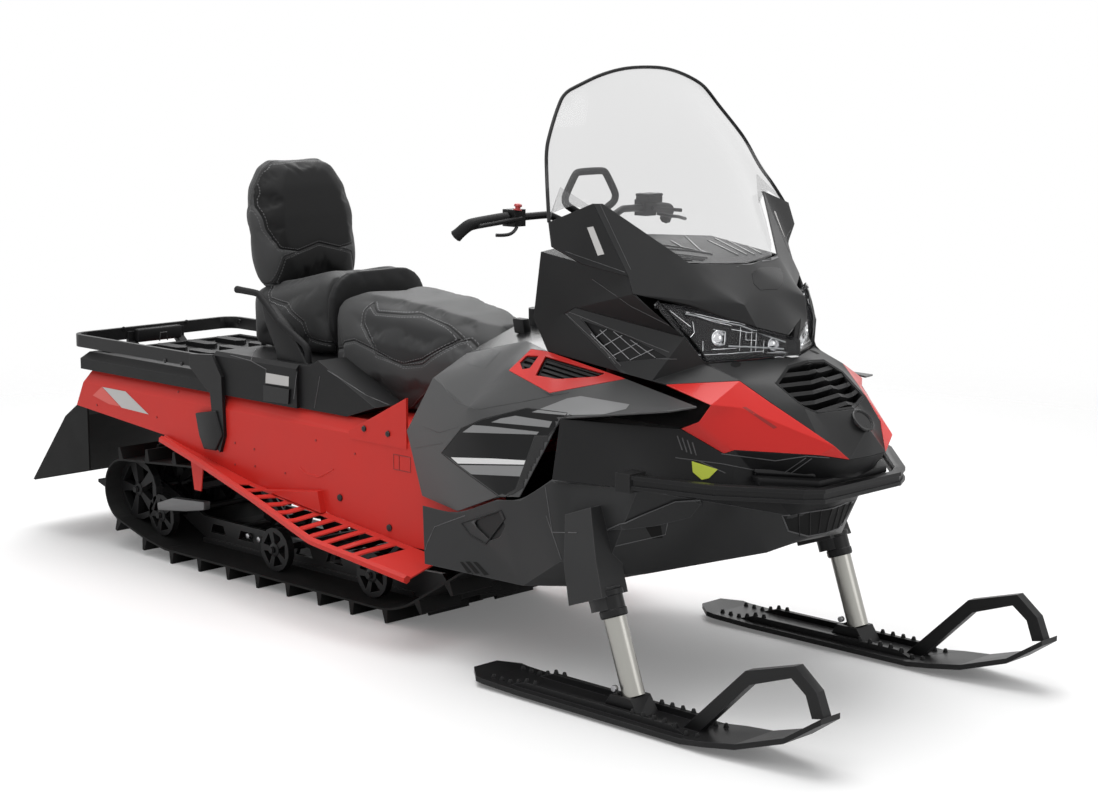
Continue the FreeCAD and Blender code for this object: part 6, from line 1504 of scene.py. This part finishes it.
@dataclass
class TunnelFittings:
    """Rivets, bolts, creases and pale stripes of the tunnel's sides."""

    bench: Bench
    trims: tuple[Trim, ...] = (
        Studs("tunnel_rivets", "tunnel", RED_SHADE, ((-0.600, 0.441), (-0.507, 0.434), (-0.218, 0.498),
            (-0.045, 0.482), (-0.602, 0.375), (-0.505, 0.383), (-0.362, 0.382), (-0.900, 0.560),
            (-1.330, 0.470), (-1.000, 0.470)), 3.6 * MM, 2.0 * MM, view=FROM_LEFT),
        Studs("gusset_bolts", "tunnel", BOLT_DARK, ((0.001, 0.560), (0.102, 0.558)), 9.0 * MM, 5.0 * MM, 6,
            view=FROM_LEFT),
        Studs("side_bolts", "tunnel", BOLT_DARK, ((0.099, 0.292), (-0.113, 0.346)), 10.0 * MM, 5.0 * MM, 16,
            view=FROM_LEFT),
        Beads("tunnel_crease", "tunnel", RED_PAINT, (((-0.294, 0.409), (-0.270, 0.396), (-0.210, 0.392),
            (-0.186, 0.402), (-0.142, 0.424)),), 2.4 * MM, sides=2, view=FROM_LEFT),
        Beads("tunnel_stamp", "tunnel", RED_SHADE, (((0.119, 0.461), (0.189, 0.461), (0.189, 0.503),
            (0.119, 0.503)),), 1.6 * MM, closed=True, sides=2, view=FROM_LEFT),
        Beads("tunnel_stamp_bar", "tunnel", RED_SHADE, (((0.142, 0.461), (0.142, 0.503)),), 1.6 * MM, sides=2,
            view=FROM_LEFT),
        Sheet("tunnel_stripe_pale", "tunnel", LABEL_PALE, ((-1.295, 0.533), (-1.166, 0.533), (-1.043, 0.474),
            (-1.190, 0.478)), 0.7 * MM, view=FROM_LEFT),
        Sheet("tunnel_stripe_red", "tunnel", DECAL_RED, ((-1.352, 0.499), (-1.299, 0.533), (-1.200, 0.481),
            (-1.260, 0.481)), 0.7 * MM, view=FROM_LEFT))

    def build(self) -> None:
        """Fit the tunnel's sides."""
        for trim in self.trims:
            trim.lay(self.bench)
        LOG.info("tunnel: rivets, bolts, creases and stripes")


@dataclass
class Skid:
    """Hub caps, rail bolts and bright parts of the rear suspension."""

    bench: Bench
    hubs: tuple[Spot, ...] = ((-1.234, 0.196), (-1.111, 0.128), (-0.528, 0.111), (-0.079, 0.111))
    hub_y: float = 0.238
    cap: tuple[Spot, ...] = ((0.0, 0.022), (0.006, 0.021), (0.009, 0.015), (0.009, 0.011), (0.015, 0.011),
                             (0.016, 0.009), (0.016, 0.0))
    bolts: tuple[Spot, ...] = ((-0.770, 0.100), (-0.715, 0.098))
    bolt_y: float = 0.150
    bolt_sizes: tuple[float, float, float] = (10.0 * MM, 9.0 * MM, 1.5 * MM)
    arm: tuple[Spot, ...] = ((-1.068, 0.182), (-0.985, 0.210), (-0.919, 0.214), (-0.818, 0.222),
                             (-0.819, 0.195), (-0.920, 0.176), (-1.065, 0.158))
    arm_y: float = 0.262
    arm_thickness: float = 0.026
    arm_bevel: float = 4.0 * MM

    def build(self) -> None:
        """Fit the wheels and rails."""
        bench = self.bench
        caps = [bench.turned(self.cap, Vector((x, self.hub_y, z)), LEFTWARD, COARSE_TURN)
                for x, z in self.hubs]
        bench.finished(bench.mirrored(bench.merged(caps)), "hub_caps", BLACK_STEEL)
        height, radius, bevel = self.bolt_sizes
        feet = [Vector((x, self.bolt_y, z)) for x, z in self.bolts]
        bolts = [bench.rod(foot, foot + LEFTWARD * height, radius, 16, bevel) for foot in feet]
        bench.finished(bench.mirrored(bench.merged(bolts)), "rail_bolts", BRIGHT_ALLOY)
        arm = bench.slab([Vector((x, self.arm_y, z)) for x, z in self.arm], LEFTWARD * self.arm_thickness,
                         self.arm_bevel)
        bench.finished(bench.mirrored(arm), "rear_arm_ends", ARM_ALLOY)
        LOG.info("skid: hub caps, rail bolts and arm ends")


@dataclass
class Legs:
    """Smooth ski struts with their sleeves, and the skis' bolts and teeth."""

    bench: Bench
    rake: float = 19.6
    stance: float = 0.450
    foot: Spot = (1.1365, 0.060)
    tube: tuple[Spot, ...] = ((0.0, 0.0), (0.0, 0.0278), (0.262, 0.0278), (0.262, 0.0))
    sleeve: tuple[Spot, ...] = (
        (0.196, 0.0), (0.196, 0.0315), (0.200, 0.0345), (0.214, 0.0345), (0.216, 0.0325), (0.248, 0.0325),
        (0.250, 0.0360), (0.262, 0.0360), (0.264, 0.0330), (0.264, 0.0))
    bolt_at: Spot = (1.105, 0.080)
    bolt_span: Spot = (0.030, 0.042)
    bolt_radius: float = 8.0 * MM
    bolt_bevel: float = 1.5 * MM
    rib: float = 0.052
    rear_teeth: tuple[float, float, int] = (0.700, 0.030, 6)
    front_teeth: tuple[float, float, int] = (1.180, 0.034, 7)
    tooth: tuple[float, float] = (3 * MM, 10 * MM)
    tooth_radii: tuple[float, float] = (8.0 * MM, 4.0 * MM)
    tooth_bevel: float = 1.2 * MM
    highest: float = 0.12

    def build(self) -> None:
        """Build both legs."""
        bench = self.bench
        rake = math.radians(self.rake)
        axis = Vector((-math.sin(rake), 0, math.cos(rake)))
        for side, body in ((Side.LEFT, Body.LEFT_SKI), (Side.RIGHT, Body.RIGHT_SKI)):
            word = side.name.lower()
            middle = self.stance * side.value
            foot = Vector((self.foot[0], middle, self.foot[1]))
            tube = bench.turned(self.tube, foot, axis, SMOOTH_TURN)
            piece = bench.finished(tube, f"strut_tube_{word}", STRUT_STEEL, body)
            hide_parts(f"strut_{word}")
            x, z = self.bolt_at
            ends = [[Vector((x, middle + way * reach, z)) for reach in self.bolt_span] for way in (-1, 1)]
            heads = [bench.rod(start, end, self.bolt_radius, 16, self.bolt_bevel) for start, end in ends]
            bench.finished(bench.merged(heads), f"ski_bolts_{word}", BOLT_STEEL, body)
            teeth = bench.merged(self.teeth(f"ski_{word}", middle))
            bench.finished(teeth, f"ski_teeth_{word}", BLACK_PLASTIC, body)
            sleeve = bench.turned(self.sleeve, foot, axis, FINE_TURN)
            bench.finished(sleeve, f"strut_sleeve_{word}", BLACK_STEEL)
        LOG.info("legs: two strut tubes, their sleeves and bolts, and the skis' teeth")

    def teeth(self, node: str, middle: float) -> list[bmesh.types.BMesh]:
        """The small teeth along both ribs of a ski.

        Args:
            node: the ski's node.
            middle: where its middle lies.

        Returns:
            A mesh for each tooth.
        """
        sunk, height = self.tooth
        wide, narrow = self.tooth_radii
        places = [first + gap * index for first, gap, count in (self.rear_teeth, self.front_teeth)
                  for index in range(count)]
        shapes = []
        for y in (middle - self.rib, middle + self.rib):
            for x in places:
                hit = self.bench.cast(node, *OVER_SKI.ray((x, y)))
                if hit and hit[0].z < self.highest:
                    foot = hit[0] - UP * sunk
                    tip = foot + UP * (sunk + height)
                    shapes.append(self.bench.rod(foot, tip, wide, 10, self.tooth_bevel, narrow))
        return shapes


class Flat(Enum):
    """The plane on which a cover's zones are drawn: the machine's side, or the front of a back pad."""

    SIDE = (0, 2)
    FRONT = (1, 2)


@dataclass(frozen=True)
class Zone:
    """One panel of a sewn cover: its outline, and how far out or forward its faces must lie."""

    outline: tuple[Spot, ...]
    flat: Flat
    beyond: float

    def measured(self, points: np.ndarray) -> tuple[np.ndarray, np.ndarray]:
        """How deep each point lies inside the zone, and how far along its seam.

        Args:
            points: the cover's points.

        Returns:
            Distances, negative outside, and lengths along the outline, both in metres.
        """
        flat = points[:, list(self.flat.value)]
        corners_of_zone = np.array(self.outline)
        best = np.full(len(points), np.inf)
        along = np.zeros(len(points))
        inside = np.zeros(len(points), dtype=bool)
        walked = 0.0
        for start, end in zip(corners_of_zone, np.roll(corners_of_zone, -1, axis=0)):
            run = end - start
            length = float(np.hypot(*run))
            share = np.clip((flat - start) @ run / length ** 2, 0, 1)
            gap = np.linalg.norm(flat - start - share[:, None] * run, axis=1)
            along = np.where(gap < best, walked + share * length, along)
            best = np.minimum(best, gap)
            walked += length
            crosses = (start[1] > flat[:, 1]) != (end[1] > flat[:, 1])
            rise = run[1] if abs(run[1]) > NEARLY_NONE else NEARLY_NONE
            inside ^= crosses & (flat[:, 0] < run[0] * (flat[:, 1] - start[1]) / rise + start[0])
        depth = np.where(inside, best, -best)
        reach = np.abs(points[:, 1]) if self.flat is Flat.SIDE else points[:, 0]
        return np.minimum(depth, reach - self.beyond), along


@dataclass
class Cushion:
    """A padded cover blown up from its CAD solid, with sunk seams between its panels."""

    bench: Bench
    node: str
    cover: Upholstery
    zones: tuple[Zone, ...]
    voxel: float = 7.5 * MM
    shrink: float = 6.0 * MM
    cap: float = 11.0 * MM
    spare: Point = (4.0 * MM, 4.0 * MM, 8.0 * MM)
    pressure: float = 4.0
    frames: int = 20
    groove: float = 2.5 * MM
    groove_width: float = 7.0 * MM
    fill: float = 0.75
    seat: float = 0.05
    smooth_steps: int = 12
    drop: float = 0.0
    drop_span: tuple[float, float, float] = (1.06, 0.94, 0.76)

    def build(self) -> bpy.types.Object:
        """Make the cushion and stand it in for its CAD solid.

        Returns:
            The new object.
        """
        piece = self.remeshed()
        before = self.points(piece.data)
        self.settle(piece)
        start = self.points(piece.data)
        moved = self.blown(piece)
        self.sewn(piece, self.held(before, start, moved))
        piece.data.materials.clear()
        piece.data.materials.append(self.cover.material())
        piece.data.shade_smooth()
        divided = piece.modifiers.new("divided", "SUBSURF")
        divided.levels = divided.render_levels = 1
        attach(piece, Body.CHASSIS.value)
        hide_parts(self.node)
        self.bench.skins[self.node] = piece
        LOG.info("%s: %d points, %d zones", piece.name, len(piece.data.vertices), len(self.zones))
        return piece

    def held(self, before: np.ndarray, start: np.ndarray, moved: np.ndarray) -> np.ndarray:
        """Keep the swelling near the CAD solid and off its seat, and let a slack pad's middle drop.

        Args:
            before: where the points lay on the CAD solid.
            start: where they lay before the cover was blown up.
            moved: where they lay after it.

        Returns:
            Where they end.
        """
        free = np.clip((before[:, 2] - before[:, 2].min()) / self.seat, 0, 1)[:, None]
        step = (moved - start) * free
        length = np.linalg.norm(step, axis=1, keepdims=True)
        step *= np.minimum(1, self.cap / np.maximum(length, NEARLY_NONE))
        spare = np.array(self.spare)
        after = np.clip(start + step, before.min(axis=0) - spare, before.max(axis=0) + spare)
        if self.drop > 0:
            top, middle, low = self.drop_span
            share = np.minimum(np.clip((top - after[:, 2]) / (top - middle), 0, 1),
                               np.clip((after[:, 2] - low) / (middle - low), 0, 1))
            after[:, 2] -= self.drop * share * share * (3 - 2 * share)
        return after

    def remeshed(self) -> bpy.types.Object:
        """The CAD solid as one even net of small faces.

        Returns:
            The new object, with the net as its own mesh.
        """
        piece = put(self.bench.copy(self.node), f"{self.node}_cover")
        net = piece.modifiers.new("net", "REMESH")
        net.mode = "VOXEL"
        net.voxel_size = self.voxel
        mesh = shown(piece)
        piece.modifiers.clear()
        piece.data = mesh
        return piece

    def points(self, mesh: bpy.types.Mesh) -> np.ndarray:
        """The places of a mesh's points.

        Args:
            mesh: the mesh.

        Returns:
            A row of three for each point.
        """
        flat = np.empty(len(mesh.vertices) * 3, dtype=np.float32)
        mesh.vertices.foreach_get("co", flat)
        return flat.reshape(-1, 3).astype(float)

    def settle(self, piece: bpy.types.Object) -> None:
        """Soften the net's edges and pull it in a little, so that it can swell.

        Args:
            piece: the net.
        """
        shape = bmesh.new()
        shape.from_mesh(piece.data)
        for _ in range(self.smooth_steps):
            bmesh.ops.smooth_vert(shape, verts=shape.verts, factor=0.5, use_axis_x=True, use_axis_y=True,
                                  use_axis_z=True)
        shape.normal_update()
        for vert in shape.verts:
            vert.co -= vert.normal * self.shrink
        shape.to_mesh(piece.data)
        shape.free()

    def blown(self, piece: bpy.types.Object) -> np.ndarray:
        """Blow the cover up with cloth simulation.

        Args:
            piece: the net.

        Returns:
            Where its points end.
        """
        scene = bpy.context.scene
        cloth = piece.modifiers.new("cloth", "CLOTH")
        cloth.settings.use_pressure = True
        cloth.settings.uniform_pressure_force = self.pressure
        cloth.settings.effector_weights.gravity = 0.0
        cloth.settings.quality = 4
        cloth.collision_settings.use_collision = False
        cloth.point_cache.frame_start = 1
        cloth.point_cache.frame_end = self.frames
        for frame_number in range(1, self.frames + 1):
            scene.frame_set(frame_number)
        moved = self.points(piece.evaluated_get(bpy.context.evaluated_depsgraph_get()).data)
        piece.modifiers.clear()
        scene.frame_set(1)
        return moved

    def sewn(self, piece: bpy.types.Object, points: np.ndarray) -> None:
        """Write the points back, sunk along the seams, and keep each zone's distances.

        Args:
            piece: the cover.
            points: where its points lie.
        """
        mesh = piece.data
        mesh.vertices.foreach_set("co", points.astype(np.float32).ravel())
        mesh.update()
        normals = np.empty(len(points) * 3, dtype=np.float32)
        mesh.vertices.foreach_get("normal", normals)
        normals = normals.reshape(-1, 3).astype(float)
        sunk = np.zeros(len(points))
        for index, zone in enumerate(self.zones):
            depth, along = zone.measured(points)
            for label, values in (("zone", depth), ("along", along)):
                layer = mesh.attributes.new(f"{label}_{index}", "FLOAT", "POINT")
                layer.data.foreach_set("value", values.astype(np.float32))
            sunk = np.maximum(sunk, np.exp(-(depth / self.groove_width) ** 2))
        points = points - normals * (self.groove * sunk)[:, None]
        mesh.vertices.foreach_set("co", points.astype(np.float32).ravel())
        mesh.update()


@dataclass
class Seating:
    """Both seats, the arch between them, the back pad and their pale piping."""

    bench: Bench
    driver_side: tuple[Spot, ...] = (
        (-0.175, 0.866), (-0.166, 0.827), (-0.139, 0.808), (-0.098, 0.772), (-0.088, 0.746), (0.023, 0.729),
        (0.088, 0.747), (0.182, 0.806), (0.330, 0.846), (0.330, 0.868), (0.098, 0.872), (-0.029, 0.863),
        (-0.126, 0.861), (-0.170, 0.883))
    driver_skirt: tuple[Spot, ...] = (
        (-0.320, 0.735), (-0.250, 0.747), (-0.226, 0.768), (-0.180, 0.778), (-0.111, 0.762), (0.023, 0.724),
        (0.087, 0.734), (0.182, 0.801), (0.330, 0.841), (0.330, 0.772), (0.134, 0.677), (0.080, 0.647),
        (-0.066, 0.540), (-0.330, 0.540))
    passenger_side: tuple[Spot, ...] = (
        (-0.720, 0.960), (-0.633, 0.907), (-0.597, 0.863), (-0.505, 0.854), (-0.425, 0.809), (-0.408, 0.759),
        (-0.330, 0.746), (-0.330, 0.690), (-0.720, 0.690))
    back_insert: tuple[Spot, ...] = (
        (0.110, 1.266), (0.160, 1.226), (0.180, 1.138), (0.172, 1.070), (0.144, 1.010), (0.080, 1.000),
        (0.0, 1.020), (-0.080, 1.000), (-0.144, 1.010), (-0.172, 1.070), (-0.180, 1.138), (-0.160, 1.226),
        (-0.110, 1.266), (0.0, 1.272))
    lumbar: tuple[Spot, ...] = (
        (0.160, 0.900), (0.132, 0.985), (0.080, 1.000), (0.0, 1.020), (-0.080, 1.000), (-0.132, 0.985),
        (-0.160, 0.900))
    piping: float = 2.2 * MM

    def build(self) -> None:
        """Build every padded piece."""
        Cushion(self.bench, "driver_seat", SEAT_COVER, (
            Zone(self.driver_side, Flat.SIDE, 0.130), Zone(self.driver_skirt, Flat.SIDE, 0.120))).build()
        Cushion(self.bench, "passenger_seat", REAR_COVER, (
            Zone(self.passenger_side, Flat.SIDE, 0.135),)).build()
        Cushion(self.bench, "backrest", BACK_COVER, (
            Zone(self.back_insert, Flat.FRONT, -0.690), Zone(self.lumbar, Flat.FRONT, -0.690)),
            seat=0.02, smooth_steps=10, drop=0.046).build()
        Cushion(self.bench, "seat_arch", ARCH_COVER, (), seat=0.03, smooth_steps=4, cap=6.0 * MM,
                shrink=3.0 * MM).build()
        LOG.info("seating: driver, passenger, arch and back pad")


@dataclass
class Stage:
    """Floor, lamps, world and the camera at the photograph's angle."""

    floor_size: float = 24.0
    floor_drop: float = 0.5 * MM
    floor_colour: Colour = (0.86, 0.86, 0.86)
    floor_roughness: float = 0.65
    floor_specular: float = 0.1
    floor_lift: float = 0.13
    fade_from: float = 2.2
    fade_to: float = 5.5
    sky: float = 0.34
    far: float = 200.0
    lamps: tuple[tuple[str, Point, Point, float, float], ...] = (
        ("key", (1.5, -4.5, 5.5), (0.2, 0, 0.6), 4.0, 95.0),
        ("top", (-0.3, 0.3, 5.5), (0, 0, 0.5), 5.0, 270.0),
        ("fill", (6.0, 1.5, 2.5), (0.5, 0, 0.6), 3.0, 40.0),
        ("rim", (-4.0, 4.0, 4.0), (0, 0, 0.8), 3.0, 80.0))

    def build(self) -> None:
        """Set the whole stage."""
        self.camera()
        self.floor()
        self.world()
        for lamp in self.lamps:
            self.lamp(*lamp)
        bpy.context.scene.view_settings.view_transform = "Standard"
        LOG.info("stage: camera, floor, world and %d lamps", len(self.lamps))

    def aimed(self, name: str, data: bpy.types.ID, place: Point, aim: Point) -> bpy.types.Object:
        """A camera or lamp that points at something.

        Args:
            name: its name.
            data: its data.
            place: where it stands.
            aim: where it points.

        Returns:
            The new object.
        """
        item = bpy.data.objects.new(name, data)
        item.location = place
        item.rotation_euler = (Vector(aim) - Vector(place)).to_track_quat("-Z", "Y").to_euler()
        bpy.context.scene.collection.objects.link(item)
        return item

    def camera(self) -> None:
        """Place the camera."""
        data = bpy.data.cameras.new("camera")
        data.lens = PHOTO.lens
        data.sensor_width = PHOTO.sensor
        data.clip_end = self.far
        bpy.context.scene.camera = self.aimed("camera", data, PHOTO.at, PHOTO.aim)

    def floor(self) -> None:
        """A wide pale floor that keeps the soft shadow and fades into the white surroundings."""
        shape = bmesh.new()
        bmesh.ops.create_grid(shape, x_segments=1, y_segments=1, size=self.floor_size / 2)
        item = put(shape, "floor")
        item.location.z = -self.floor_drop
        material = bpy.data.materials.new("floor_pale")
        material.use_nodes = True
        web = Web(material.node_tree)
        reach = web.add("VectorMath", {0: web.add("TexCoord").outputs["Object"]}, operation="LENGTH")
        fade = web.add("MapRange", {"Value": reach.outputs["Value"], "From Min": self.fade_from,
                                    "From Max": self.fade_to, "To Min": 1.0, "To Max": 0.0},
                       interpolation_type="SMOOTHSTEP")
        lift = web.math("MULTIPLY", web.add("LightPath").outputs["Is Camera Ray"], self.floor_lift)
        web.feed(material.node_tree.nodes["Principled BSDF"], {
            "Base Color": (*self.floor_colour, 1), "Roughness": self.floor_roughness,
            "Specular IOR Level": self.floor_specular, "Emission Color": (1, 1, 1, 1),
            "Emission Strength": lift, "Alpha": fade.outputs["Result"]})
        item.data.materials.append(material)

    def world(self) -> None:
        """Plain grey-white surroundings, white to the camera, in reflections and through glass."""
        world = bpy.data.worlds.new("studio")
        bpy.context.scene.world = world
        world.use_nodes = True
        web = Web(world.node_tree)
        rays = web.add("LightPath").outputs
        seen = web.math("MAXIMUM", rays["Is Camera Ray"], rays["Is Transmission Ray"])
        bright = web.math("MAXIMUM", seen, rays["Is Glossy Ray"])
        web.feed(world.node_tree.nodes["Background"], {"Color": (1, 1, 1, 1),
                                                       "Strength": web.span(bright, self.sky, 1.0)})

    def lamp(self, name: str, place: Point, aim: Point, size: float, power: float) -> None:
        """A soft square lamp.

        Args:
            name: its name.
            place: where it stands.
            aim: where it points.
            size: the length of its side.
            power: its power in watts.
        """
        data = bpy.data.lights.new(name, "AREA")
        data.shape = "SQUARE"
        data.size = size
        data.energy = power
        self.aimed(name, data, place, aim)


def main() -> None:
    """Build every sub-assembly in order."""
    bench = Bench(frame)
    Stage().build()
    Bodywork(bench).dress()
    for part in (Shield, Lamps, Cowl, Cockpit, Tail, TunnelFittings, Skid, Legs, Seating):
        part(bench).build()


if __name__ == "__main__":
    logging.basicConfig(level=logging.INFO, format="%(name)s: %(message)s")
    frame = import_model()
    main()
